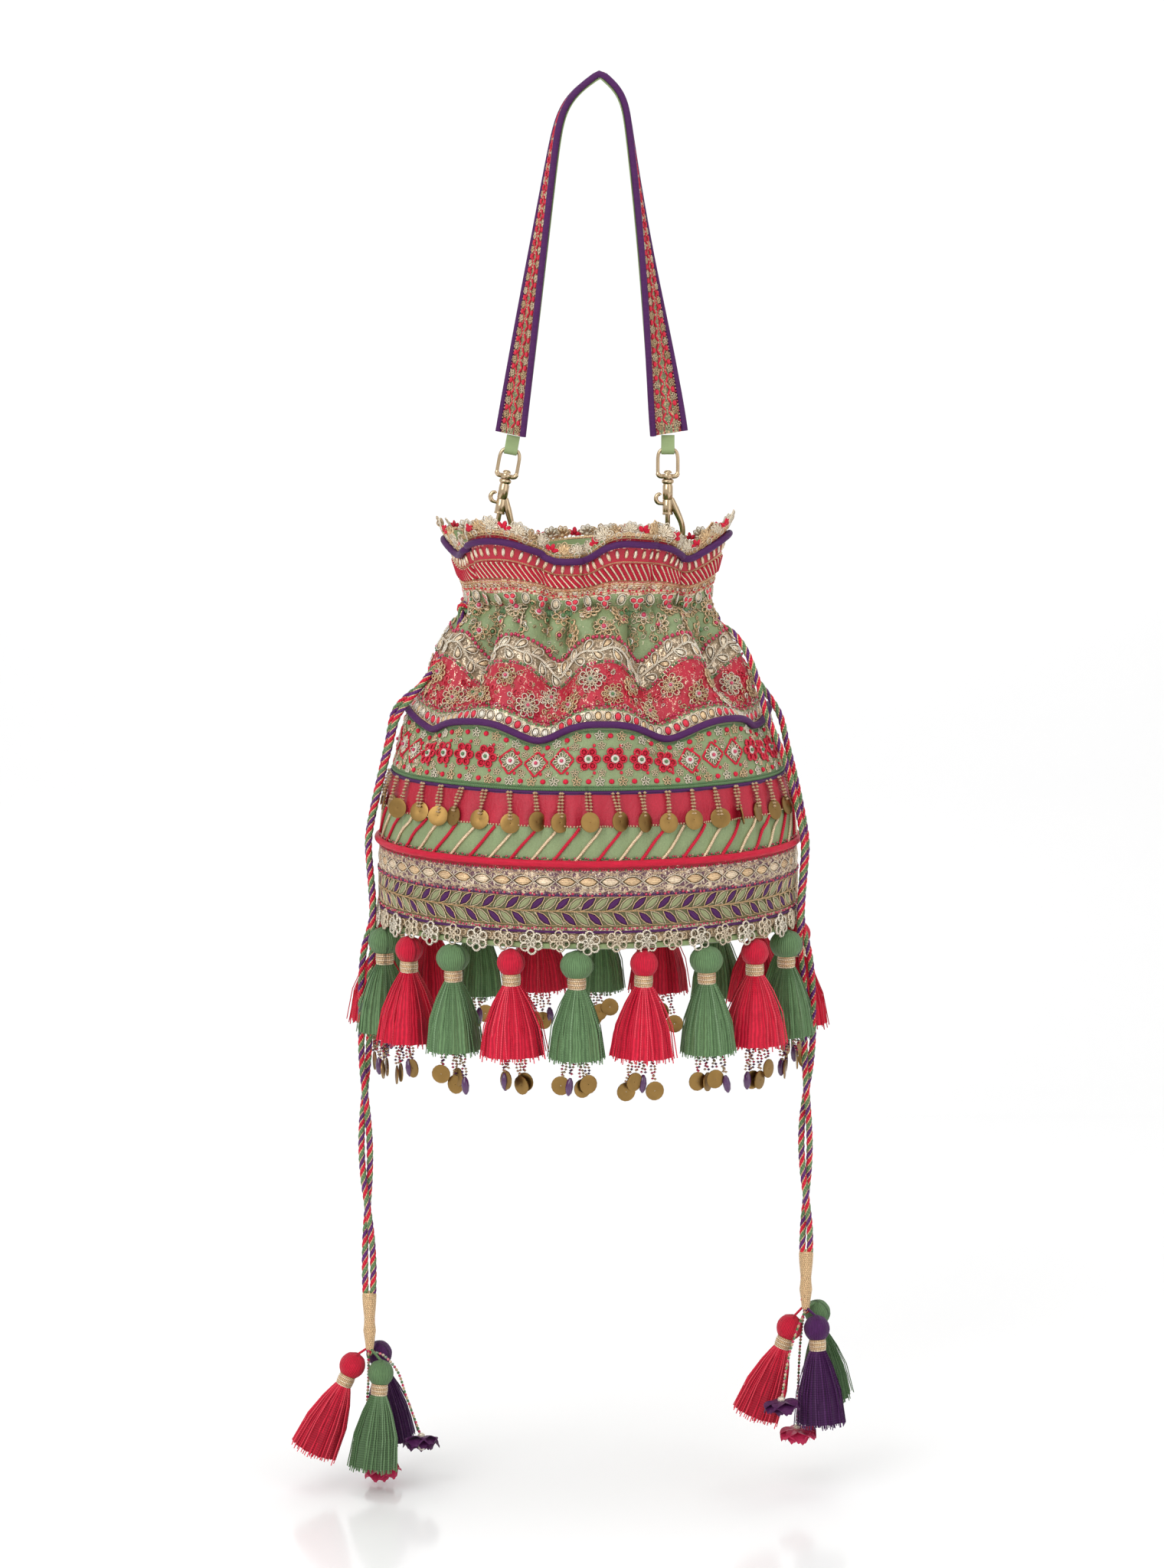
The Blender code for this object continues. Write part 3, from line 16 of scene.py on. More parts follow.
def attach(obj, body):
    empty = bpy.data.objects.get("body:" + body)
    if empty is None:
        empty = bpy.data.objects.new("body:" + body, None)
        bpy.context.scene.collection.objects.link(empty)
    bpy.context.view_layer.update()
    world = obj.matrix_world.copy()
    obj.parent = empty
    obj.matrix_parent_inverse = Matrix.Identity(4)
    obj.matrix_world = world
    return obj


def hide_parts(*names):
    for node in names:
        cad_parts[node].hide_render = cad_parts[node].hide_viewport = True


bl_info = {
    "name": "Potli bag dressing",
    "version": (1, 0, 0),
    "blender": (4, 5, 0),
    "location": "3D View > Sidebar > Potli bag",
    "description": "Dresses a potli bag in silk, embroidery, beads, tassels, cords and clasps",
    "category": "Object",
}

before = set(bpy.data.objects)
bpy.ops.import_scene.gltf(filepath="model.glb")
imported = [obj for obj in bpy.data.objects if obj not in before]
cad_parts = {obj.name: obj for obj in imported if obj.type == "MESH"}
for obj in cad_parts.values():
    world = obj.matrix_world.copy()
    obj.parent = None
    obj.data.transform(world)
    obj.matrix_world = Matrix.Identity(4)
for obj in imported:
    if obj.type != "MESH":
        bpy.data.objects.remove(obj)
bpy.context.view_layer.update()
MM = 0.001

# Strap and clasps, as in the part's source
STRAP_DROP = 162.5 * MM
SEAT = 0.3 * MM
SEW_GAP = 0.45 * MM
LEFT_LEG = {
    "reach": -40 * MM,
    "bow": 0.36,
    "bow_run": 0.07,
    "spread": 1.0,
    "twist": math.radians(50),
    "twist_power": 1.15,
}
RIGHT_LEG = {
    "reach": 31.6 * MM,
    "bow": 0.27,
    "bow_run": 0.05,
    "spread": 1.08,
    "twist": math.radians(78),
    "twist_power": 2.2,
}
TAB_WIDTH = 5.8 * MM
TAB_TOP = 49.1 * MM
RING_OFFSET = 3.3 * MM
RING_RADIUS = 7.4 * MM
RING_BAR_RADIUS = 0.9 * MM
RING_CENTRE = -4.4 * MM
RING_CHORD = math.radians(30)
KEEPER_HALF_WIDTH = 3.6 * MM
LEFT_TILT = math.radians(10.5)

# Bag, as in the part's source
RIM_ABOVE_BAR = 2.5 * MM
RIM_TO_NECK = 35 * MM
NECK_BAND = 6 * MM
NECK_TO_HEM = 143 * MM
RIM_HALF_WIDTH = 66.5 * MM
RIM_HALF_DEPTH = 47 * MM
NECK_HALF_WIDTH = 57 * MM
NECK_HALF_DEPTH = 42 * MM
HEM_HALF_WIDTH = 98 * MM
HEM_HALF_DEPTH = 83 * MM
BELLY_SHARE = 0.85
BELLY_POWER = 2.1
SHELL_THICKNESS = 1.6 * MM
BASE_THICKNESS = 3 * MM
MOUTH_PIPING_BELOW_RIM = 3.5 * MM
BODY_PIPING_BELOW_RIM = 84 * MM
COINS_BELOW_RIM = 111 * MM
HEM_PIPING_BELOW_RIM = 142 * MM
PIPING_RADIUS = 1.6 * MM
FOLD_PHASE = math.radians(5)
FRILL_PHASE = math.radians(22)
FRILL_WAVES = 5
FRILL_PUSH = 5.5 * MM
PLEAT_WAVES = 10
PLEATS_BELOW_NECK = 19 * MM
PLEAT_RUN = 22 * MM
PLEAT_PUSH = 3.0 * MM
PLEAT_LIFT = 4.5 * MM
SWAG_WAVES = 8
SWAG_RUN = 13 * MM
SWAG_PUSH = 1.6 * MM
SWAG_LIFT = 3.5 * MM

# The frill's waves as seen: an angle round the bag and the half waves up to it, even on
# crests, and the angles of its sharp creases
FRILL_TURNS = ((-0.67, 0), (-0.26, 0.85), (-0.04, 1), (0.28, 2), (0.92, 3), (5.613, 10))
FRILL_CREASES = (-1.02, -0.36, -0.03, 0.5, 0.86, 1.9, 2.5, 3.05, 3.7, 4.3)
CREASE_RUN = 0.045
CREASE_DEPTH = 2.6
RIM_TUCK = 6.5 * MM

# Drawcords, as in the part's source: degrees in front of the bag's side, millimetres
# below the rim and millimetres outside the cloth
CORD_RADIUS = 1.6 * MM
CORD_GAP = 0.2 * MM
CORD_BEND = 6.6 * MM
PAIR_RADIUS = 1.95 * MM
PAIR_STRAIGHT = 4
PAIR_TWIST = math.radians(45)
BINDING_LENGTH = 28 * MM
LEFT_OUTER_STRAND = [
    (-1.5, 38.5, 3.2), (1.5, 47, 3.6), (2.8, 57, 4.2), (3, 68, 5), (2.5, 78, 5.9), (2, 86, 6.6),
    (1.5, 98, 5.5), (1, 110, 5), (1, 122, 5), (1.5, 134, 5.6), (3, 144, 6), (4.5, 156, 5),
    (6, 168, 4.2), (6.5, 180, 4.2),
]
LEFT_INNER_STRAND = [
    (4.8, 39, 3.2), (10, 47, 3.6), (12, 57, 4.2), (12.5, 68, 5), (12, 78, 5.9), (11, 86, 6.6),
    (9.5, 98, 5.5), (8, 110, 5), (7, 122, 5), (6.5, 134, 5.6), (6.8, 144, 6), (7.5, 156, 5),
    (8.8, 168, 4.2), (9.2, 180, 4.2),
]
RIGHT_OUTER_STRAND = [
    (-1.5, 41, 3.2), (1.5, 49, 3.6), (2.5, 58, 4.2), (3, 69, 5), (3.5, 79, 5.9), (4.5, 86.5, 6.6),
    (6, 98, 5.5), (7, 110, 5), (8, 122, 5), (9, 134, 5.6), (9.8, 144, 6), (10.6, 156, 5),
    (11.2, 168, 4.2), (11.6, 180, 4.2),
]
RIGHT_INNER_STRAND = [
    (4.8, 41.5, 3.2), (10, 49, 3.6), (13, 58, 4.2), (14.5, 69, 5), (15.5, 79, 5.9),
    (15.5, 86.5, 6.6), (15, 98, 5.5), (14.6, 110, 5), (14.2, 122, 5), (14, 134, 5.6),
    (13.8, 144, 6), (13.8, 156, 5), (14, 168, 4.2), (14.4, 180, 4.2),
]
LEFT_PAIR = [
    (-108.6, -10.5, -403), (-110.1, -9.7, -416), (-110.4, -9.4, -430), (-110.5, -9.3, -444),
    (-110.8, -9.2, -458), (-110.9, -9.1, -472), (-110.9, -9, -486), (-110.8, -8.8, -500),
    (-110.5, -8.6, -514), (-110.1, -8.4, -528), (-109.8, -8.2, -542), (-109.6, -8, -556),
]
RIGHT_PAIR = [
    (95.8, -18.6, -403), (97.6, -18.1, -416), (98.1, -17.9, -430), (98.2, -17.8, -444),
    (97.9, -17.6, -458), (97.4, -17.2, -471), (97.1, -16.6, -484), (97.2, -15.8, -497),
    (97.5, -15, -510), (97.8, -14.4, -523), (98, -14.1, -536),
]
LEFT_BINDING_TOP = Vector((-109.6, -8, -570.3)) * MM
RIGHT_BINDING_TOP = Vector((98, -14, -548.5)) * MM

# Camera, fitted to the photograph
PHOTO_LONG_SIDE = 2048
MM_PER_PIXEL = 0.36
CAMERA_DISTANCE = 2.0
CAMERA_ELEVATION = math.radians(8.2)
CAMERA_AIM = Vector((-8.3, 0, -327.2)) * MM
FLOOR_LEVEL = -0.6668


def leg_point(leg, share):
    """The strap's underside on one leg; share is 0 at the top and 1 at the end."""
    bow = leg["bow"] * math.tanh(share / leg["bow_run"])
    spread = (1 - leg["bow"]) * share ** leg["spread"]
    return Vector((leg["reach"] * (bow + spread), 0, -STRAP_DROP * share))


def leg_slope(leg):
    step = 0.01
    run = leg_point(leg, 1) - leg_point(leg, 1 - step)
    return math.atan2(run.x, -run.z)


def clasp_frame(leg, tilt):
    """Places a clasp so that its tab meets the end of the strap leg."""
    seat = SEAT + TAB_WIDTH / 2 * math.tan(abs(leg_slope(leg) + tilt))
    turn = Matrix.Rotation(tilt, 4, "Y")
    up_axis = turn @ Vector((0, 0, 1))
    return Matrix.Translation(leg_point(leg, 1) - up_axis * (TAB_TOP + seat)) @ turn


RIGHT_CLASP = clasp_frame(RIGHT_LEG, 0)
LEFT_CLASP = clasp_frame(LEFT_LEG, LEFT_TILT)
BAR_LEVEL = RIGHT_CLASP.translation.z
LEFT_CLASP.translation.z = BAR_LEVEL + RING_OFFSET * math.sin(LEFT_TILT)
LEFT_SEAT = SEAT + TAB_WIDTH / 2 * math.tan(abs(leg_slope(LEFT_LEG) + LEFT_TILT))
LEFT_STRAP_DROP = -(LEFT_CLASP @ Vector((0, 0, TAB_TOP + LEFT_SEAT))).z
RIM_LEVEL = BAR_LEVEL + RIM_ABOVE_BAR
NECK_LEVEL = RIM_LEVEL - RIM_TO_NECK
HEM_LEVEL = NECK_LEVEL - NECK_TO_HEM
BAG_CENTRE = (LEFT_CLASP.translation.x + RIGHT_CLASP.translation.x + 2 * RING_OFFSET) / 2
BODY_PIPING_LEVEL = RIM_LEVEL - BODY_PIPING_BELOW_RIM


# The bag's cloth as a surface


def section(level):
    """Half width and half depth of the bag's outside at a level, without its folds."""
    run = np.maximum(np.abs(level - NECK_LEVEL) - NECK_BAND, 0)
    flare = (run / (RIM_TO_NECK - NECK_BAND)) ** 0.9
    share = np.minimum(run / (NECK_TO_HEM - NECK_BAND) / BELLY_SHARE, 1)
    swell = 1 - (1 - share) ** BELLY_POWER
    above = level >= NECK_LEVEL
    half_width = np.where(
        above, (RIM_HALF_WIDTH - NECK_HALF_WIDTH) * flare, (HEM_HALF_WIDTH - NECK_HALF_WIDTH) * swell
    )
    half_depth = np.where(
        above, (RIM_HALF_DEPTH - NECK_HALF_DEPTH) * flare, (HEM_HALF_DEPTH - NECK_HALF_DEPTH) * swell
    )
    return NECK_HALF_WIDTH + half_width, NECK_HALF_DEPTH + half_depth


def hump(value, centre, run):
    return np.exp(-(((value - centre) / run) ** 2))


def away_from_cords(angle):
    """1 over most of the bag and 0 along its two sides, where the drawcords lie."""
    side = np.radians(83)
    turn = np.arctan2(np.sin(angle), np.cos(angle))
    near = np.abs(np.abs(turn) - side)
    share = np.clip((near - np.radians(11)) / np.radians(14), 0, 1)
    return share * share * (3 - 2 * share)


def folds(angle, level):
    """How far the frill, the gathers and the pleats push the cloth out and up."""
    below = (RIM_LEVEL - level) / MM
    calm = away_from_cords(angle)
    frill = np.clip((level - NECK_LEVEL) / RIM_TO_NECK, 0, 1.3) ** 1.3
    pleat = hump(below, 54, 22) * (1 - np.minimum(frill, 1))
    swag = hump(below, 84, 13)
    around = (angle - FRILL_TURNS[0][0]) % math.tau + FRILL_TURNS[0][0]
    turn = math.pi * np.interp(around, *zip(*FRILL_TURNS))
    frill_wave = np.cos(turn) - 0.16 * calm * np.cos(2 * turn)
    crease = sum(
        hump((angle - at + math.pi) % math.tau - math.pi, 0, CREASE_RUN) for at in FRILL_CREASES
    )
    frill_wave = frill_wave + 0.14 * calm * np.sin(9 * angle + 1) * frill
    pleat_turn = PLEAT_WAVES * (angle - FOLD_PHASE)
    pleat_wave = np.cos(pleat_turn) - 0.2 * calm * np.cos(2 * pleat_turn)
    swag_turn = SWAG_WAVES * (angle - FOLD_PHASE)
    swag_wave = np.cos(swag_turn) - 0.22 * calm * np.cos(2 * swag_turn)
    rear = np.clip(-np.cos(angle), 0, 1)
    out = 5.5 * frill * frill_wave + 3.9 * pleat * pleat_wave + 1.9 * swag * swag_wave
    out = out - CREASE_DEPTH * calm * crease * np.minimum(frill + hump(below, 30, 14), 1)
    lift = frill * (
        5.5 * frill_wave * (1 - 0.85 * rear) - 5.5 * rear
    ) + 4.5 * pleat * pleat_wave + 3.5 * swag * swag_wave
    wander = angle + 0.05 * np.sin(3 * angle + 1) + 0.03 * np.sin(7 * angle + 2)
    bulge = np.abs(np.cos(13 * wander)) ** 0.6 - 0.66
    gather = calm * (
        6.0 * hump(below, 38.5, 8.5) * bulge + 2.2 * hump(below, 40, 6) - 3.2 * hump(below, 31.0, 3.2)
    )
    pucker = 0.95 * np.sin(47 * angle + 3 * np.sin(5 * angle)) * hump(below, 125, 12)
    soft = 0.5 * np.sin(7 * angle + 1) * np.sin(below / 17 + 2 * angle) * hump(below, 90, 50)
    out = out + gather + calm * (pucker + soft)
    lift = lift + calm * (
        2.6 * hump(below, 55, 15) * pleat_wave
        + 0.6 * np.sin(13 * angle + below / 11) * hump(below, 62, 20)
    )
    return out * MM, lift * MM


def cloth(angle, below, out=0.0):
    """Points on the bag's outer face, or that far outside it."""
    level = RIM_LEVEL - below
    half_width, half_depth = section(level)
    push, lift = folds(angle, level)
    above = np.clip((level - NECK_LEVEL) / RIM_TO_NECK, 0, 1.3)
    tuck = RIM_TUCK * above * np.clip(np.sin(angle), 0, 1) ** 2
    x = BAG_CENTRE + (half_width + push + out - tuck) * np.sin(angle)
    y = -(half_depth + push + out) * np.cos(angle)
    return np.stack([x, y, level + lift], -1)


def unit(vectors):
    return vectors / np.maximum(np.linalg.norm(vectors, axis=-1, keepdims=True), 1e-12)


def travelled(path):
    """How far along a path each of its points lies."""
    return np.concatenate([[0], np.cumsum(np.linalg.norm(np.diff(path, axis=0), axis=1))])


def spots(angle, below):
    """Places on the cloth, and the sideways, upward and outward directions there."""
    angle, below = np.broadcast_arrays(np.asarray(angle, float), np.asarray(below, float))
    place = cloth(angle, below)
    side = unit(cloth(angle + 0.006, below) - cloth(angle - 0.006, below))
    up = cloth(angle, below - 0.5 * MM) - cloth(angle, below + 0.5 * MM)
    out = unit(np.cross(side, up))
    return place, side, np.cross(out, side), out


def beside(angle, below, right, up):
    """The angle and depth of spots a little to the right of and above others."""
    arc = np.linalg.norm(cloth(angle + 0.01, below) - cloth(angle - 0.01, below), axis=-1) / 0.02
    rise = np.linalg.norm(cloth(angle, below + MM) - cloth(angle, below - MM), axis=-1) / (2 * MM)
    return angle + right / arc, below - up / rise


def evenly(count, below, phase=0.0):
    """Angles that are evenly spaced along the cloth at one depth in millimetres."""
    fine = np.linspace(0, math.tau, 1441)
    ring = cloth(fine, np.full_like(fine, below * MM))
    length = travelled(ring)
    wanted = (np.arange(count) + phase) / count * length[-1] % length[-1]
    return np.interp(wanted, length, fine)


# Meshes


class Maker:
    """Gathers the points and faces of one piece, with each point's place on its thread."""

    def __init__(self):
        self.points = []
        self.faces = []
        self.thread = []
        self.tint = []
        self.count = 0

    def add(self, points, faces, thread=None, tint=0.5):
        points = np.asarray(points, float).reshape(-1, 3)
        self.faces += [tuple(self.count + int(i) for i in face) for face in faces]
        self.points.append(points)
        self.thread.append(np.zeros((len(points), 2)) if thread is None else np.asarray(thread, float))
        self.tint.append(np.broadcast_to(np.asarray(tint, float), (len(points),)))
        self.count += len(points)

    def tube(self, path, radius, sides=6, hint=(0, 1, 0), closed=False, tint=0.5):
        """A round tube; radius is one number or one for each point of the path."""
        path = np.asarray(path, float)
        count = len(path)
        if closed:
            along = unit(np.roll(path, -1, axis=0) - np.roll(path, 1, axis=0))
            steps = np.linalg.norm(path - np.roll(path, 1, axis=0), axis=1)
        else:
            along = unit(np.gradient(path, axis=0))
            steps = np.concatenate([[0], np.linalg.norm(np.diff(path, axis=0), axis=1)])
        across = carried(along, hint)
        up = np.cross(along, across)
        radius = np.broadcast_to(np.asarray(radius, float), (count,))
        turns = math.tau * np.arange(sides) / sides
        ring = across[:, None] * np.cos(turns)[:, None] + up[:, None] * np.sin(turns)[:, None]
        points = path[:, None] + ring * radius[:, None, None]
        length = np.cumsum(steps)
        thread = np.stack(np.broadcast_arrays(length[:, None], turns / math.tau), -1)
        faces = ring_faces(count, sides, closed)
        if not closed:
            faces += [tuple(range(sides))[::-1], tuple(range((count - 1) * sides, count * sides))]
        self.add(points, faces, thread.reshape(-1, 2), tint)

    def turned(self, profile, columns=16, ridges=0, ridge=0.0, tint=0.5):
        """A shape turned about Z from (radius, height) points, top first, with closed ends."""
        profile = np.asarray(profile, float)
        turns = math.tau * np.arange(columns) / columns
        wave = 1 + ridge * np.cos(ridges * turns)
        radius = profile[:, :1] * wave
        x, y = radius * np.cos(turns), radius * np.sin(turns)
        z = np.broadcast_to(profile[:, 1:], x.shape)
        steps = travelled(profile)
        thread = np.stack(np.broadcast_arrays(steps[:, None], turns / math.tau), -1)
        self.add(np.stack([x, y, z], -1), capped_faces(len(profile), columns), thread.reshape(-1, 2), tint)

    def mesh(self, name):
        made = bpy.data.meshes.new(name)
        made.from_pydata(np.concatenate(self.points).tolist(), [], self.faces)
        shape = bmesh.new()
        shape.from_mesh(made)
        bmesh.ops.recalc_face_normals(shape, faces=shape.faces)
        shape.to_mesh(made)
        shape.free()
        thread = made.attributes.new("thread", "FLOAT2", "POINT")
        thread.data.foreach_set("vector", np.concatenate(self.thread).astype(np.float32).ravel())
        tint = made.attributes.new("tint", "FLOAT", "POINT")
        tint.data.foreach_set("value", np.concatenate(self.tint).astype(np.float32))
        made.shade_smooth()
        return made

    def piece(self, name, finish, body, slot, sharp=50):
        mesh = self.mesh(name)
        mesh.set_sharp_from_angle(angle=math.radians(sharp))
        return add_piece(name, mesh, finish, body)


def ring_faces(rows, columns, closed=False):
    """Quads between rings of points, each ring holding that many columns."""
    faces = []
    for row in range(rows if closed else rows - 1):
        first, second = row * columns, (row + 1) % rows * columns
        for column in range(columns):
            after = (column + 1) % columns
            faces.append((first + column, first + after, second + after, second + column))
    return faces


def capped_faces(rows, columns):
    """Quads between rings of points, and a face over each end."""
    last = (rows - 1) * columns
    return ring_faces(rows, columns) + [tuple(range(columns)), tuple(range(last, last + columns))]


def ribbon(path, axis, half_width, edge, half_thickness=0.4):
    """The points and faces of a flat strip along a path, with rounded edges across an axis."""
    along = unit(np.gradient(path, axis=0))
    axis = np.array(axis, float)
    normal = np.cross(along, np.broadcast_to(axis, along.shape))
    w, h = half_width, half_thickness
    profile = ((-w, -h), (w, -h), (edge, 0), (w, h), (-w, h), (-edge, 0))
    rings = [path + axis * width + normal * height for width, height in profile]
    return np.stack(rings, 1).reshape(-1, 3), capped_faces(len(path), 6)


def carried(along, hint):
    """A direction across each step of a path, carried along it without twisting."""
    across = np.asarray(hint, float)
    if across.ndim == 2:
        return unit(across - along * np.sum(across * along, axis=1, keepdims=True))
    carry = []
    for step in along:
        across = across - step * across.dot(step)
        across = across / max(np.linalg.norm(across), 1e-9)
        carry.append(across)
    return np.array(carry)


def add_piece(name, mesh, finish, body):
    obj = bpy.data.objects.new(name, mesh)
    bpy.context.scene.collection.objects.link(obj)
    if finish is not None:
        mesh.materials.clear()
        mesh.materials.append(finish)
    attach(obj, body)
    return obj


def smooth_path(points, step):
    """Points about a step apart on a smooth curve through the given ones."""
    points = [Vector(p) for p in points]
    count = len(points)
    path = []
    for index in range(count - 1):
        before, start = points[max(index - 1, 0)], points[index]
        end, after = points[index + 1], points[min(index + 2, count - 1)]
        pieces = max(1, round((end - start).length / step))
        for piece in range(pieces):
            t = piece / pieces
            path.append(
                0.5
                * (
                    2 * start
                    + (end - before) * t
                    + (2 * before - 5 * start + 4 * end - after) * t**2
                    + (3 * start - before - 3 * end + after) * t**3
                )
            )
    path.append(points[-1])
    return np.array(path)


# Shapes that are sewn on many times, flat in X and Y and rising along +Z


def outline(kind, half_width, half_height, sides):
    """An oval, a leaf with two points or a petal with its point at the bottom."""
    turns = math.tau * np.arange(sides) / sides
    x = half_width * np.sin(turns)
    if kind == "leaf":
        x = x * np.abs(np.sin(turns))
    if kind == "petal":
        x = 1.25 * x * np.sin(turns / 2)
    return np.stack([x, -half_height * np.cos(turns)], -1)


def loop_shape(kind, half_width, half_height, wire, sides=12):
    """A closed loop of wound metal thread."""
    flat = outline(kind, half_width, half_height, sides)
    path = np.column_stack([flat, np.full(sides, wire)])
    maker = Maker()
    maker.tube(path, wire, 3, hint=(0, 0, 1), closed=True)
    return maker


def pad_shape(kind, half_width, half_height, height, sides=12):
    """A domed pad of satin stitch or a domed spangle."""
    flat = outline(kind, half_width, half_height, sides)
    base = np.column_stack([flat, np.zeros(sides)])
    shoulder = np.column_stack([0.72 * flat, np.full(sides, 0.8 * height)])
    points = np.vstack([base, shoulder, [[0, 0, height]]])
    faces = ring_faces(2, sides)
    faces += [(sides + i, sides + (i + 1) % sides, 2 * sides) for i in range(sides)]
    faces.append(tuple(range(sides))[::-1])
    maker = Maker()
    maker.add(points, faces, points[:, :2])
    return maker


def bead_shape(radius, columns=8, rows=5, hole=0.25):
    """A glass bead with its hole along Z; radius is in millimetres."""
    radius = radius * MM
    turns = np.linspace(0, math.pi, rows + 2)[1:-1]
    profile = [(hole * radius, 0.8 * radius)]
    profile += [(radius * math.sin(t), radius * math.cos(t)) for t in turns]
    profile.append((hole * radius, -0.8 * radius))
    maker = Maker()
    maker.turned(profile, columns)
    return maker


def seed_bead(radius):
    """A tiny bead of a dozen faces, for long rows; radius is in millimetres."""
    radius = radius * MM
    turns = math.tau * np.arange(6) / 6
    ring = [(radius * math.cos(t), radius * math.sin(t), 0) for t in turns]
    maker = Maker()
    faces = [(i, (i + 1) % 6, 6) for i in range(6)] + [((i + 1) % 6, i, 7) for i in range(6)]
    maker.add([*ring, (0, 0, 0.8 * radius), (0, 0, -0.8 * radius)], faces)
    return maker


def spangle_shape(radius, hole, thickness, columns=20):
    """A thin disc with a hole, slightly cupped; sizes are in millimetres."""
    maker = Maker()
    radius, hole, half = radius * MM, hole * MM, thickness * MM / 2
    profile = [
        (hole, half),
        (0.7 * radius, half + 0.05 * radius),
        (radius, half),
        (radius, -half),
        (0.7 * radius, 0.05 * radius - half),
        (hole, -half),
    ]
    turns = math.tau * np.arange(columns) / columns
    rows = [[(r * math.cos(t), r * math.sin(t), z) for t in turns] for r, z in profile]
    points = np.array(rows).reshape(-1, 3)
    maker.add(points, ring_faces(len(profile), columns, closed=True), points[:, :2])
    return maker


SEWN_SLOTS = {
    "metal_purl": "gold_lace",
    "glass_beads": "brass_sequin",
    "pearl": "brass_sequin",
    "pink_thread": "embroidered_silk",
    "green_thread": "green_thread",
    "olive_thread": "green_thread",
    "purple_thread": "purple_thread",
    "purple_piping": "purple_silk",
    "pink_piping": "pink_silk",
}


def sewing_tree():
    """Sews a shape on every point, turned as the cloth faces, and makes it real."""
    tree = bpy.data.node_groups.new("sewn_on_cloth", "GeometryNodeTree")
    inputs = {"Geometry": "Geometry", "Shape": "Object", "Size": "Float"}
    inputs |= {"Uneven turn": "Float", "Seed": "Int", "Finish": "Material"}
    for name, kind in inputs.items():
        tree.interface.new_socket(name, in_out="INPUT", socket_type=f"NodeSocket{kind}")
    tree.interface.new_socket("Geometry", in_out="OUTPUT", socket_type="NodeSocketGeometry")
    kinds = {
        "given": "NodeGroupInput",
        "result": "NodeGroupOutput",
        "shape": "GeometryNodeObjectInfo",
        "facing": "GeometryNodeInputNamedAttribute",
        "size": "GeometryNodeInputNamedAttribute",
        "turned": "FunctionNodeEulerToRotation",
        "uneven": "FunctionNodeRandomValue",
        "opposite": "ShaderNodeMath",
        "about": "ShaderNodeCombineXYZ",
        "nudge": "FunctionNodeEulerToRotation",
        "both": "FunctionNodeRotateRotation",
        "scaled": "ShaderNodeVectorMath",
        "sewn": "GeometryNodeInstanceOnPoints",
        "real": "GeometryNodeRealizeInstances",
        "dyed": "GeometryNodeSetMaterial",
    }
    nodes = {name: tree.nodes.new(kind) for name, kind in kinds.items()}
    for attribute in ("facing", "size"):
        nodes[attribute].data_type = "FLOAT_VECTOR"
        nodes[attribute].inputs["Name"].default_value = attribute
    nodes["uneven"].data_type = "FLOAT"
    nodes["opposite"].operation = "MULTIPLY"
    nodes["opposite"].inputs[1].default_value = -1
    nodes["both"].rotation_space = "LOCAL"
    nodes["scaled"].operation = "SCALE"
    links = (
        ("given", "Shape", "shape", "Object"),
        ("given", "Uneven turn", "opposite", 0),
        ("opposite", 0, "uneven", 2),
        ("given", "Uneven turn", "uneven", 3),
        ("given", "Seed", "uneven", "Seed"),
        ("uneven", 1, "about", "Z"),
        ("about", 0, "nudge", 0),
        ("facing", "Attribute", "turned", 0),
        ("turned", 0, "both", "Rotation"),
        ("nudge", 0, "both", "Rotate By"),
        ("size", "Attribute", "scaled", 0),
        ("given", "Size", "scaled", "Scale"),
        ("given", "Geometry", "sewn", "Points"),
        ("shape", "Geometry", "sewn", "Instance"),
        ("both", "Rotation", "sewn", "Rotation"),
        ("scaled", 0, "sewn", "Scale"),
        ("sewn", 0, "real", 0),
        ("real", 0, "dyed", "Geometry"),
        ("given", "Finish", "dyed", "Material"),
        ("dyed", 0, "result", 0),
    )
    for start, output, end, socket in links:
        tree.links.new(nodes[start].outputs[output], nodes[end].inputs[socket])
    return tree


def found_tree(name, build):
    return bpy.data.node_groups.get(name) or build()


def set_inputs(modifier, values):
    """Sets a Geometry Nodes modifier's inputs by their sockets' identifiers."""
    for item in modifier.node_group.interface.items_tree:
        if item.item_type == "SOCKET" and item.in_out == "INPUT" and item.name in values:
            modifier[item.identifier] = values[item.name]


def made_real(obj):
    """The evaluated mesh of an object; the object and its modifiers are removed."""
    bpy.context.view_layer.update()
    graph = bpy.context.evaluated_depsgraph_get()
    mesh = bpy.data.meshes.new_from_object(
        obj.evaluated_get(graph), preserve_all_data_layers=True, depsgraph=graph
    )
    bpy.data.objects.remove(obj)
    return mesh


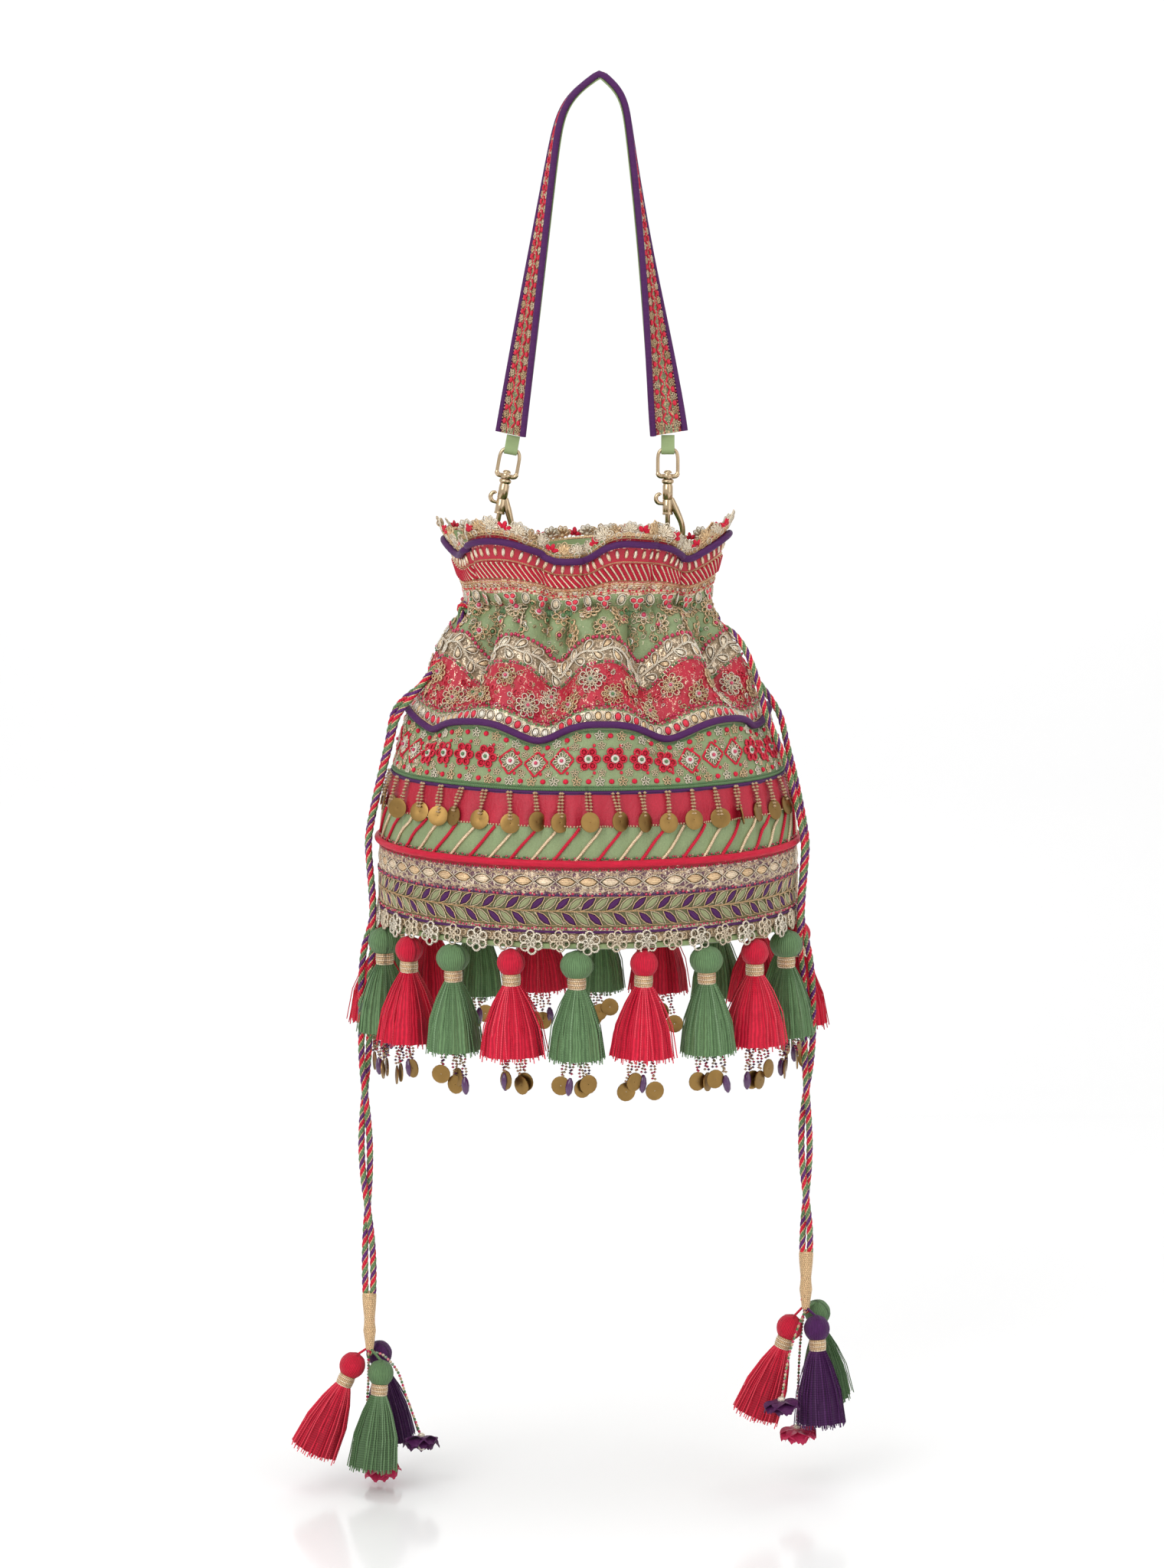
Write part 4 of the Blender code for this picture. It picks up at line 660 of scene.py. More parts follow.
def strew(name, maker, finish, places, facing, size=1.0, tint=0.5, uneven=0.0, seed=1):
    """A mesh with a copy of a shape at each place; facing holds three directions for each."""
    places = np.asarray(places, float).reshape(-1, 3)
    count = len(places)
    side, up, out = (np.broadcast_to(v, (count, 3)) for v in facing)
    about_y = np.arcsin(np.clip(-side[:, 2], -1, 1))
    about_x = np.arctan2(up[:, 2], out[:, 2])
    about_z = np.arctan2(side[:, 1], side[:, 0])
    size = np.asarray(size, float)
    if size.ndim == 1 and len(size) == count and count != 3:
        size = size[:, None]
    points = bpy.data.meshes.new(name)
    points.from_pydata(places.tolist(), [], [])
    values = {
        "facing": np.stack([about_x, about_y, about_z], -1),
        "size": np.broadcast_to(size, (count, 3)),
    }
    for attribute, value in values.items():
        layer = points.attributes.new(attribute, "FLOAT_VECTOR", "POINT")
        layer.data.foreach_set("vector", np.ascontiguousarray(value, np.float32).ravel())
    layer = points.attributes.new("tint", "FLOAT", "POINT")
    layer.data.foreach_set("value", np.broadcast_to(np.asarray(tint, np.float32), (count,)).copy())
    shape_mesh = maker.mesh(name + "_shape")
    shape_mesh.attributes.remove(shape_mesh.attributes["tint"])
    shape = bpy.data.objects.new(name + "_shape", shape_mesh)
    holder = bpy.data.objects.new(name, points)
    for obj in (shape, holder):
        bpy.context.scene.collection.objects.link(obj)
    modifier = holder.modifiers.new("sewn_on", "NODES")
    modifier.node_group = found_tree("sewn_on_cloth", sewing_tree)
    values = {"Shape": shape, "Size": 1.0, "Uneven turn": uneven, "Seed": seed, "Finish": finish}
    set_inputs(modifier, values)
    mesh = made_real(holder)
    bpy.data.objects.remove(shape)
    return mesh


def turned_facing(side, up, out, turn, lean=0.0):
    """Turns directions about the outward one, then leans their tops outwards."""
    turn = np.radians(np.asarray(turn, float))[..., None]
    lean = np.radians(np.asarray(lean, float))[..., None]
    leant_up = up * np.cos(lean) + out * np.sin(lean)
    leant_out = out * np.cos(lean) - up * np.sin(lean)
    new_side = side * np.cos(turn) + leant_up * np.sin(turn)
    new_up = leant_up * np.cos(turn) - side * np.sin(turn)
    return new_side, new_up, leant_out


def sew(name, maker, look, angle, below, out=0.0, turn=0.0, lean=0.0, slot=None, **more):
    """Sews copies of a shape on the bag's cloth; below and out are in millimetres."""
    values = np.broadcast_arrays(*(np.asarray(v, float) for v in (angle, below, out, turn, lean)))
    angle, below, out, turn, lean = (v.ravel() for v in values)
    place, side, up, outward = spots(angle, below * MM)
    facing = turned_facing(side, up, outward, turn, lean)
    mesh = strew(name, maker, finish(look), place + outward * (out * MM)[:, None], facing, **more)
    return add_piece(name, mesh, None, "bag")


def tour(below, count=540):
    """A closed path round the bag; below, in millimetres, may be a function of the angle."""
    angle = math.tau * np.arange(count) / count
    depth = below(angle) if callable(below) else np.full(count, below)
    return spots(angle, depth * MM)


def lay_lines(name, look, rows, sides=6):
    """Threads, cords or pipings laid round the bag; rows hold (below, out, radius)."""
    maker = Maker()
    for below, out, radius in rows:
        place, _, _, outward = tour(below, 380)
        maker.tube(place + outward * (out * MM), radius * MM, sides, hint=outward, closed=True)
    return maker.piece(name, finish(look), "bag", SEWN_SLOTS[look], sharp=80)


# Materials


class Finish:
    """Builds the nodes of one material round its shader."""

    def __init__(self, name, rough, metal=0.0, sheen=0.0, coat=0.0, gloss=0.5):
        self.material = bpy.data.materials.new(name)
        self.material.use_nodes = True
        tree = self.material.node_tree
        self.new, self.link = tree.nodes.new, tree.links.new
        self.shader = tree.nodes["Principled BSDF"]
        settings = {"Roughness": rough, "Metallic": metal, "Sheen Weight": sheen, "Coat Weight": coat}
        for socket, value in settings.items():
            self.shader.inputs[socket].default_value = value
        self.shader.inputs["Specular IOR Level"].default_value = gloss
        self.shader.inputs["Sheen Roughness"].default_value = 0.4
        self.shader.inputs["Coat Roughness"].default_value = 0.15
        self.last_normal = None

    def put(self, value, socket):
        if hasattr(value, "links"):
            self.link(value, socket)
        else:
            socket.default_value = value

    def math(self, operation, *values):
        node = self.new("ShaderNodeMath")
        node.operation = operation
        for value, socket in zip(values, node.inputs):
            self.put(value, socket)
        return node.outputs[0]

    def attribute(self, name, output="Fac"):
        node = self.new("ShaderNodeAttribute")
        node.attribute_name = name
        return node.outputs[output]

    def thread(self):
        """How far along its thread and how far round it a point lies."""
        apart = self.new("ShaderNodeSeparateXYZ")
        self.link(self.attribute("thread", "Vector"), apart.inputs[0])
        return apart.outputs["X"], apart.outputs["Y"]

    def noise(self, scale, detail=2.0, stretch=None):
        coordinates = self.new("ShaderNodeTexCoord").outputs["Object"]
        if stretch is not None:
            mapping = self.new("ShaderNodeMapping")
            mapping.inputs["Scale"].default_value = stretch
            self.link(coordinates, mapping.inputs["Vector"])
            coordinates = mapping.outputs["Vector"]
        node = self.new("ShaderNodeTexNoise")
        node.inputs["Scale"].default_value = scale
        node.inputs["Detail"].default_value = detail
        self.link(coordinates, node.inputs["Vector"])
        return node.outputs["Fac"]

    def ramp(self, factor, stops, constant=False):
        node = self.new("ShaderNodeValToRGB")
        elements = node.color_ramp.elements
        node.color_ramp.interpolation = "CONSTANT" if constant else "LINEAR"
        while len(elements) < len(stops):
            elements.new(1.0)
        for element, (place, colour) in zip(elements, stops):
            element.position = place
            element.color = (*colour, 1) if hasattr(colour, "__len__") else (colour, colour, colour, 1)
        self.link(factor, node.inputs[0])
        return node.outputs[0]

    def mix(self, factor, first, second):
        node = self.new("ShaderNodeMix")
        node.data_type = "RGBA"
        self.put(factor, node.inputs[0])
        for value, socket in ((first, node.inputs[6]), (second, node.inputs[7])):
            self.put(value if hasattr(value, "links") else (*value, 1), socket)
        return node.outputs[2]

    def clear_behind(self):
        """Lets the back of a face be seen through, as a studio wall has to be from behind."""
        mix = self.new("ShaderNodeMixShader")
        self.link(self.new("ShaderNodeNewGeometry").outputs["Backfacing"], mix.inputs[0])
        self.link(self.shader.outputs[0], mix.inputs[1])
        self.link(self.new("ShaderNodeBsdfTransparent").outputs[0], mix.inputs[2])
        self.link(mix.outputs[0], self.material.node_tree.nodes["Material Output"].inputs["Surface"])
        return self.material

    def shade(self, colour, amount, *darknesses):
        """Darkens and lightens a colour by patterns that lie round one half: random tone, and painted light
        and shade where a pattern is a relief or a glint.
        """
        value = 1.0
        for darkness in darknesses:
            value = self.math(
                "MULTIPLY", value, self.math("MULTIPLY_ADD", darkness, amount, 1 - amount / 2)
            )
        node = self.new("ShaderNodeHueSaturation")
        self.put(value, node.inputs["Value"])
        self.put(colour if hasattr(colour, "links") else (*colour, 1), node.inputs["Color"])
        return node.outputs[0]

    def bump(self, height, distance, strength=1.0):
        node = self.new("ShaderNodeBump")
        node.inputs["Strength"].default_value = strength
        node.inputs["Distance"].default_value = distance
        self.link(height, node.inputs["Height"])
        if self.last_normal is not None:
            self.link(self.last_normal, node.inputs["Normal"])
        self.last_normal = node.outputs[0]
        self.link(self.last_normal, self.shader.inputs["Normal"])

    def ridges(self, period, slant=0.0):
        """Waves along a thread, slanting round it."""
        along, around = self.thread()
        turn = self.math(
            "MULTIPLY_ADD", along, math.tau / period, self.math("MULTIPLY", around, math.tau * slant)
        )
        return self.math("MULTIPLY_ADD", self.math("SINE", turn), 0.5, 0.5)

    def colour(self, colour):
        self.put(colour if hasattr(colour, "links") else (*colour, 1), self.shader.inputs["Base Color"])
        return self.material


def blended(first, second, share):
    return tuple(a + (b - a) * share for a, b in zip(first, second))


def times(colour, factor):
    return tuple(min(1.0, channel * factor) for channel in colour)


def silk_finish(name, colour, rough, slub, sheen=0.04):
    """Plain silk: a fine weave, slubs along the threads and a soft sheen."""
    made = Finish(name, rough, sheen=sheen, gloss=0.2)
    slubs = made.noise(240, 2, stretch=(1, 1, 7))
    fine = made.noise(2600, 2)
    made.bump(fine, 0.00012, 0.5)
    made.bump(slubs, 0.00025, 0.4)
    return made.colour(made.shade(colour, 2 * slub, slubs, fine))


def satin_finish(name, colour):
    """Satin: long soft highlights and faint wrinkles, with light and shade painted on the wrinkles."""
    made = Finish(name, 0.4, gloss=0.25)
    wrinkle = made.noise(90, 2, stretch=(1, 1, 2.4))
    fine = made.noise(3000, 1, stretch=(3, 3, 1))
    made.bump(wrinkle, 0.0012, 0.5)
    made.bump(fine, 0.00008, 0.4)
    # Painted light and shade: the wrinkle noise that bumps the satin also lightens and darkens its colour.
    return made.colour(made.shade(colour, 0.3, wrinkle, fine))


def thread_finish(name, colour):
    """Dyed thread, twisted along its length, with shade painted in its twist's grooves; tint darkens or
    lightens it.
    """
    made = Finish(name, 0.55, sheen=0.06, gloss=0.2)
    ridge = made.ridges(0.0011, 1.0)
    made.bump(ridge, 0.00018, 0.6)
    tint = made.attribute("tint")
    # The tint ramp runs from dark to light thread; its low end also serves as painted shade on a tassel's
    # core and the mouth's pink slants.
    dyed = made.ramp(
        tint,
        [(0.0, times(colour, 0.45)), (0.55, colour), (1.0, blended(times(colour, 1.5), (1, 1, 1), 0.12))]
    )
    # Painted shade: the twist's ridges darken the colour in their grooves and lighten it on their crests.
    return made.colour(made.shade(dyed, 0.35, ridge, made.noise(350, 2)))


def head_finish(name, colour):
    """Thread laid side by side over a tassel's head, with shade painted between the threads."""
    made = Finish(name, 0.5, sheen=0.06, gloss=0.2)
    _, around = made.thread()
    turn = made.math("MULTIPLY_ADD", around, 46 * math.tau, made.math("MULTIPLY", made.noise(160, 2), 5.0))
    ridge = made.math("MULTIPLY_ADD", made.math("SINE", turn), 0.5, 0.5)
    made.bump(ridge, 0.0003, 0.8)
    # Painted shade: the ridges darken the colour between the laid threads.
    return made.colour(made.shade(colour, 0.5, ridge, made.noise(500, 2)))


def purl_finish(name, stops, period=0.0006):
    """Coiled metal thread; tint picks its metal. Glints and shade in the coils' grooves are painted into
    its colour.
    """
    made = Finish(name, 0.32, metal=0.55)
    ridge = made.ridges(period, 0.5)
    made.bump(ridge, 0.00015, 0.7)
    glint = made.noise(1300, 1)
    made.bump(glint, 0.0004, 0.5)
    metal = made.ramp(made.attribute("tint"), stops)
    # Painted glints and painted shade: the glint noise and the coil ridges lighten and darken the metal.
    return made.colour(made.shade(metal, 0.85, ridge, glint))


def glass_finish(name, stops):
    """Small glass beads, lined with colour, with glints painted into it."""
    made = Finish(name, 0.16, coat=0.6)
    glint = made.noise(900, 1)
    # Painted glints: the glint noise lightens and darkens the beads' colour.
    return made.colour(made.shade(made.ramp(made.attribute("tint"), stops), 0.5, glint))


def metal_finish(name, colour, rough, tarnish=0.25, dents=0.0003):
    """Plated metal with a little tarnish."""
    made = Finish(name, rough, metal=1.0)
    patch = made.noise(170, 3)
    made.bump(patch, dents, 0.35)
    made.put(
        made.math("MULTIPLY_ADD", made.noise(420, 2), 0.16, rough - 0.05), made.shader.inputs["Roughness"]
    )
    worn = made.mix(made.math("MULTIPLY", patch, tarnish), colour, times(colour, 0.45))
    return made.colour(worn)


BAND_SPAN = 185 * MM
CLOTH_BANDS = (
    (0, "pink", 0.45),
    (5.1, "pink", 0.15),
    (11, "pink", 0.4),
    (19.2, "pink", 0.65),
    (24, "green", 0.4),
    (29, "green", 0.3),
    (47.2, "gold", 0.55),
    (58.6, "pink", 0.4),
    (75.9, "green", 0.45),
    (77.6, "gold", 0.7),
    (84.5, "green", 0.22),
    (109, "purple", 0.1),
    (110.6, "pink", 0.0),
    (125.2, "sage", 0.0),
    (141.4, "pink", 0.3),
    (144.9, "plum", 0.55),
    (155.6, "purple", 0.3),
    (157, "olive", 0.35),
    (171.2, "gold", 0.6),
)


def cloth_finish(name, colours):
    """The bag's cloth: coloured silk with metal thread worked into it in bands."""
    made = Finish(name, 0.5)
    # The gold and plum grounds are dark so that the gaps between metal stitches read dark: partly the
    # grounds' colour, partly painted shade in the gaps.
    dyes = {
        "pink": times(colours.pink, 0.62),
        "green": times(colours.sage, 0.8),
        "gold": times(colours.gold, 0.3),
        "purple": colours.purple,
        "sage": times(colours.sage, 0.8),
        "olive": (0.12, 0.12, 0.045),
        "plum": (0.13, 0.055, 0.075),
    }
    below = made.math("MULTIPLY", made.attribute("below"), MM / BAND_SPAN)
    wander = made.math("MULTIPLY_ADD", made.noise(140, 2), 0.004, -0.002)
    below = made.math("ADD", below, wander)
    dye = made.ramp(below, [(mm * MM / BAND_SPAN, dyes[key]) for mm, key, _ in CLOTH_BANDS], constant=True)
    share = made.ramp(below, [(mm * MM / BAND_SPAN, metal) for mm, _, metal in CLOTH_BANDS], constant=True)
    fine = made.noise(1500, 2)
    stitch = made.noise(620, 2, stretch=(1, 1, 0.45))
    limit = made.math("MULTIPLY_ADD", share, -0.5, 0.76)
    both = made.math("ADD", made.math("MULTIPLY", fine, 0.5), made.math("MULTIPLY", stitch, 0.5))
    metal = made.math("MULTIPLY", made.math("SUBTRACT", both, limit), 14)
    metal = made.math("MINIMUM", made.math("MAXIMUM", metal, 0), 1)
    shine = made.mix(made.noise(260, 1), colours.gold, colours.silver)
    made.bump(stitch, 0.0007, 0.6)
    made.bump(fine, 0.0003, 0.6)
    made.put(made.math("MULTIPLY", metal, 0.85), made.shader.inputs["Metallic"])
    made.put(made.math("MULTIPLY_ADD", metal, -0.14, 0.52), made.shader.inputs["Roughness"])
    return made.colour(made.shade(made.mix(metal, dye, shine), 0.4, fine, made.noise(90, 2)))


def finish(name):
    """The named material, built when it is first asked for."""
    name = "dressed_" + name
    made = bpy.data.materials.get(name)
    if made is not None:
        return made
    colours = bpy.context.scene.potli_colours
    pink, green, purple = colours.pink, colours.thread_green, colours.purple
    gold, silver = colours.gold, colours.silver
    metals = [(0.0, silver), (0.5, gold), (0.8, times(gold, 0.75)), (1.0, blended(gold, pink, 0.35))]
    old_gold = times(gold, 0.7)
    glass = [(0.0, colours.bead_pink), (0.25, colours.bead_pink), (0.3, (0.05, 0.16, 0.05))]
    glass += [(0.55, (0.09, 0.2, 0.06)), (0.6, purple), (0.8, purple), (0.85, old_gold), (1.0, old_gold)]
    makers = {
        "embroidered_silk": lambda: cloth_finish(name, colours),
        "sage_satin": lambda: satin_finish(name, colours.sage),
        "pink_satin": lambda: satin_finish(name, times(pink, 0.5)),
        "purple_piping": lambda: silk_finish(name, times(purple, 0.95), rough=0.55, slub=0.3),
        "pink_piping": lambda: silk_finish(name, times(pink, 0.75), rough=0.5, slub=0.3),
        "pink_thread": lambda: thread_finish(name, colours.tassel_pink),
        "green_thread": lambda: thread_finish(name, green),
        "purple_thread": lambda: thread_finish(name, purple),
        "pink_head": lambda: head_finish(name, times(colours.tassel_pink, 0.95)),
        "green_head": lambda: head_finish(name, green),
        "purple_head": lambda: head_finish(name, purple),
        "olive_thread": lambda: thread_finish(name, (0.2, 0.215, 0.09)),
        "plain_thread": lambda: thread_finish(name, (0.6, 0.5, 0.36)),
        "metal_purl": lambda: purl_finish(name, metals),
        "wound_gold": lambda: purl_finish(
            name, [(0.0, old_gold), (0.5, gold), (1.0, silver)], period=0.0008
        ),
        "glass_beads": lambda: glass_finish(name, glass),
        "brass_coin": lambda: metal_finish(name, colours.brass, 0.34, tarnish=0.7),
        "polished_gold": lambda: metal_finish(name, colours.clasp_gold, 0.14, tarnish=0.6, dents=0.0001),
        "pearl": lambda: glass_finish(name, [(0.0, (0.6, 0.55, 0.46)), (1.0, (0.68, 0.63, 0.55))]),
        "pink_organza": lambda: silk_finish(name, (0.55, 0.03, 0.1), rough=0.35, sheen=0.1, slub=0.35),
        "purple_organza": lambda: silk_finish(
            name, (0.075, 0.012, 0.075), rough=0.45, sheen=0.1, slub=0.35
        ),
    }
    return makers[name.removeprefix("dressed_")]()


def replace(piece, *nodes):
    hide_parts(*nodes)
    return piece


# Camera, light and floor


def aim(obj, place, target):
    direction = Vector(target) - Vector(place)
    obj.matrix_world = Matrix.Translation(place) @ direction.to_track_quat("-Z", "Y").to_matrix().to_4x4()


def area_light(name, place, target, size, power):
    light = bpy.data.lights.new(name, "AREA")
    light.shape = "RECTANGLE"
    light.size, light.size_y = size
    light.energy = power
    obj = bpy.data.objects.new(name, light)
    bpy.context.scene.collection.objects.link(obj)
    aim(obj, place, target)


def build_camera():
    camera = bpy.data.cameras.new("camera")
    camera.sensor_width = 36
    camera.lens = 36 * CAMERA_DISTANCE / (PHOTO_LONG_SIDE * MM_PER_PIXEL * MM)
    obj = bpy.data.objects.new("camera", camera)
    bpy.context.scene.collection.objects.link(obj)
    back = Vector((0, -math.cos(CAMERA_ELEVATION), math.sin(CAMERA_ELEVATION)))
    aim(obj, CAMERA_AIM + back * CAMERA_DISTANCE, CAMERA_AIM)
    bpy.context.scene.camera = obj


def build_stage(sizes):
    """A pale floor that curves up into a wall behind the bag."""
    profile = [(-2.6, 0), (0.8, 0)]
    profile += [
        (0.8 + 0.7 * math.sin(t), 0.7 - 0.7 * math.cos(t)) for t in np.linspace(0, math.pi / 2, 17)[1:]
    ]
    profile.append((1.5, 3.2))
    half = 3.0
    points = [(x, y, FLOOR_LEVEL + z) for y, z in profile for x in (-half, half)]
    faces = [(2 * i, 2 * i + 1, 2 * i + 3, 2 * i + 2) for i in range(len(profile) - 1)]
    mesh = bpy.data.meshes.new("floor")
    mesh.from_pydata(points, [], faces)
    mesh.shade_smooth()
    made = Finish("floor", 0.16)
    made.colour(made.shade((0.97, 0.97, 0.97), 0.01, made.noise(3, 1)))
    mesh.materials.append(made.clear_behind())
    floor = bpy.data.objects.new("floor", mesh)
    bpy.context.scene.collection.objects.link(floor)
    middle = Vector((0, 0, -0.34))
    area_light("key_light", (-1.1, -1.7, 0.9), middle, (1.4, 1.4), 19 * sizes.light)
    area_light("fill_light", (1.5, -1.5, 0.3), middle, (1.4, 1.6), 6 * sizes.light)
    area_light("top_light", (0.1, -0.1, 1.5), middle, (1.6, 1.2), 7 * sizes.light)
    world = bpy.data.worlds.new("studio")
    world.use_nodes = True
    background = world.node_tree.nodes["Background"]
    background.inputs["Color"].default_value = (1, 1, 1, 1)
    background.inputs["Strength"].default_value = 0.8
    scene = bpy.context.scene
    scene.world = world
    scene.view_settings.view_transform = "Standard"


# Drawcords


def casing_inset():
    """From the outer face at the neck to the middle of a cord in its casing, in the part."""
    pleat = math.exp(-((PLEATS_BELOW_NECK / PLEAT_RUN) ** 2))
    swag = math.exp(-(((BODY_PIPING_BELOW_RIM - RIM_TO_NECK) / SWAG_RUN) ** 2))
    return PLEAT_PUSH * pleat + SWAG_PUSH * swag + SHELL_THICKNESS + SEW_GAP + CORD_RADIUS


def plain_wall(angle, below, out):
    """A point outside the bag with the part's own folds only."""
    level = RIM_LEVEL - below
    half_width, half_depth = section(np.array(level))
    share = frill = max(0, min(1, (level - NECK_LEVEL) / RIM_TO_NECK)) ** 1.3
    frill = frill * math.cos(FRILL_WAVES * (angle - FRILL_PHASE))
    pleat = math.exp(-(((level - NECK_LEVEL + PLEATS_BELOW_NECK) / PLEAT_RUN) ** 2)) * (1 - share)
    pleat = pleat * math.cos(PLEAT_WAVES * (angle - FOLD_PHASE))
    swag = math.exp(-(((level - BODY_PIPING_LEVEL) / SWAG_RUN) ** 2))
    swag = swag * math.cos(SWAG_WAVES * (angle - FOLD_PHASE))
    push = FRILL_PUSH * frill + PLEAT_PUSH * pleat + SWAG_PUSH * swag
    lift = FRILL_PUSH * frill + PLEAT_LIFT * pleat + SWAG_LIFT * swag
    x = BAG_CENTRE + (float(half_width) + push + out) * math.sin(angle)
    return Vector((x, -(float(half_depth) + push + out) * math.cos(angle), level + lift))


def strand_route(side, belly, pair, sign, end):
    """One strand from below its exit to the binding; sign is its side of the pair."""
    points = [
        plain_wall(side * math.radians(90 - turn), below * MM, out * MM) for turn, below, out in belly
    ]
    twist = 0.0
    for index, place in enumerate(pair):
        twist += PAIR_TWIST if index >= PAIR_STRAIGHT else 0
        beside_axis = Vector((math.cos(twist), math.sin(twist), 0)) * PAIR_RADIUS
        points.append(Vector(place) * MM + beside_axis * sign * side)
    return points + [end]


def casing_run(side, run_level):
    """The part of a drawcord that lies hidden in its casing, back strand to front."""
    inset = casing_inset()
    half_width, half_depth = NECK_HALF_WIDTH - inset, NECK_HALF_DEPTH - inset
    half_gap = CORD_RADIUS + 1.5 * CORD_GAP
    turn_angle = math.asin((half_gap + CORD_BEND) / half_depth)
    steps = 22
    run = []
    for i in range(steps + 1):
        angle = math.pi / 2 * side + turn_angle + (math.tau - 2 * turn_angle) * i / steps
        run.append(
            Vector((BAG_CENTRE + half_width * math.sin(angle), -half_depth * math.cos(angle), run_level))
        )
    if run[0].y < 0:
        run.reverse()
    return run


def twisted_cord(maker, path, sizes):
    """Three plies and a thin gold yarn laid round a path."""
    path = np.asarray(path, float)
    steps = travelled(path)
    fine = np.arange(0, steps[-1], sizes.ply_lead / 8)
    path = np.stack([np.interp(fine, steps, path[:, i]) for i in range(3)], -1)
    along = unit(np.gradient(path, axis=0))
    across = carried(along, (0.3, 1, 0.2))
    up = np.cross(along, across)
    ends = np.clip(np.minimum(fine, fine[-1] - fine) / (1.2 * MM), 0.15, 1)
    plies = ((0.8, 0.86, 6, 0, (0.1, 0.35, 0.6)), (1.22, 0.24, 3, 1 / 6, (0.95, 0.95, 0.95)))
    for distance, radius, sides, phase, tints in plies:
        for ply, tint in enumerate(tints):
            turn = math.tau * (fine / sizes.ply_lead + ply / 3 + phase)
            away = across * np.cos(turn)[:, None] + up * np.sin(turn)[:, None]
            place = path + away * (distance * MM * ends)[:, None]
            maker.tube(place, radius * MM * ends, sides, hint=across, tint=tint)


def cord_finish(colours):
    made = Finish("dressed_cord", 0.5, sheen=0.05, gloss=0.2)
    tint = made.attribute("tint")
    ridge = made.ridges(0.0013, 1)
    plies = [
        (0.0, colours.tassel_pink), (0.25, times(colours.purple, 1.6)), (0.5, colours.thread_green),
        (0.8, colours.gold)
    ]
    dyed = made.ramp(tint, plies, constant=True)
    made.bump(ridge, 0.0002, 0.7)
    made.put(
        made.math("MULTIPLY", made.math("GREATER_THAN", tint, 0.8), 0.9), made.shader.inputs["Metallic"]
    )
    # Painted shade: the ridges darken the plies' colour in the grooves of their twist.
    return made.colour(made.shade(dyed, 0.45, ridge, made.noise(500, 2)))


def build_cords(sizes, colours):
    """Each strand from the casing to its knot, and the hidden run between the two."""
    material = cord_finish(colours)
    casing = Maker()
    sides = (
        (
            "left", -1, NECK_LEVEL + CORD_RADIUS + CORD_GAP, LEFT_OUTER_STRAND, LEFT_INNER_STRAND,
            LEFT_PAIR, LEFT_BINDING_TOP
        ),
        (
            "right", 1, NECK_LEVEL - CORD_RADIUS - CORD_GAP, RIGHT_OUTER_STRAND, RIGHT_INNER_STRAND,
            RIGHT_PAIR, RIGHT_BINDING_TOP
        ),
    )
    strands = []
    for name, side, run_level, outer, inner, pair, top in sides:
        half_gap = CORD_RADIUS + 1.5 * CORD_GAP
        exit_x = BAG_CENTRE + side * (NECK_HALF_WIDTH + 2.6 * MM)
        run = casing_run(side, run_level)
        corner = 0.25 * CORD_BEND
        bend_x = run[0].x + side * corner
        beside_x = Vector(((CORD_RADIUS + CORD_GAP) * side, 0, 0))
        knot = top - Vector((0, 0, BINDING_LENGTH + 4 * MM))
        starts = {1: [(bend_x, half_gap + corner, run_level), (exit_x, half_gap, run_level)]}
        starts[-1] = [(bend_x, -half_gap - corner, run_level), (exit_x, -half_gap, run_level)]
        for sign, belly, label in ((1, outer, "outer"), (-1, inner, "inner")):
            end = top + beside_x * sign
            route = [Vector(p) for p in starts[sign]] + strand_route(side, belly, pair, sign, end)
            close = knot + Vector((sign * side * 0.9 * MM, 0, 6 * MM)) if sign < 0 else knot
            route += [
                top + Vector((sign * side * 1.25 * MM, 0, -5 * MM)),
                top + Vector((sign * side * MM, 0, -14 * MM)), close
            ]
            path = smooth_path(route, 2.5 * MM)
            maker = Maker()
            twisted_cord(maker, path, sizes)
            piece = maker.piece(f"{name}_cord_{label}", material, "bag", "twisted_cord", sharp=80)
            length = float(travelled(path)[-1])
            strands.append((name, label, piece, path, route[1], length))
        hidden = smooth_path([Vector(p) for p in (starts[1][0], *run, starts[-1][0])], 4 * MM)
        casing.tube(hidden, CORD_RADIUS, 8, hint=(0, 0, 1))
        replace(strands[-1][2], f"{name}_drawcord")
    casing.piece("cords_in_casing", material, "bag", "twisted_cord", sharp=80)
    return strands


# The bag's cloth


def cup_piece(name, material, slot, rings, thread, below):
    """A closed skin from rings of points, the last joined to the first."""
    rows, columns = rings.shape[:2]
    maker = Maker()
    maker.add(rings.reshape(-1, 3), ring_faces(rows, columns, closed=True), thread.reshape(-1, 2))
    mesh = maker.mesh(name)
    layer = mesh.attributes.new("below", "FLOAT", "POINT")
    layer.data.foreach_set("value", (below / MM).astype(np.float32).ravel())
    mesh.set_sharp_from_angle(angle=math.radians(70))
    return add_piece(name, mesh, material, "bag")


def cloth_rings(belows, outs, columns):
    angle = math.tau * np.arange(columns) / columns
    below = np.repeat(np.asarray(belows, float)[:, None], columns, axis=1)
    out = np.repeat(np.asarray(outs, float)[:, None], columns, axis=1)
    rings = cloth(np.broadcast_to(angle, below.shape), below, out)
    thread = np.stack([np.broadcast_to(angle, below.shape) * 0.09, below], -1)
    return rings, thread, below


def lining_out(below):
    """How far inside the outer face the lining's outer face lies, clear of the casing."""
    return -(2.2 * MM + 6.4 * MM * hump(below / MM, 36, 10) + 0.6 * MM * (below > 60 * MM))


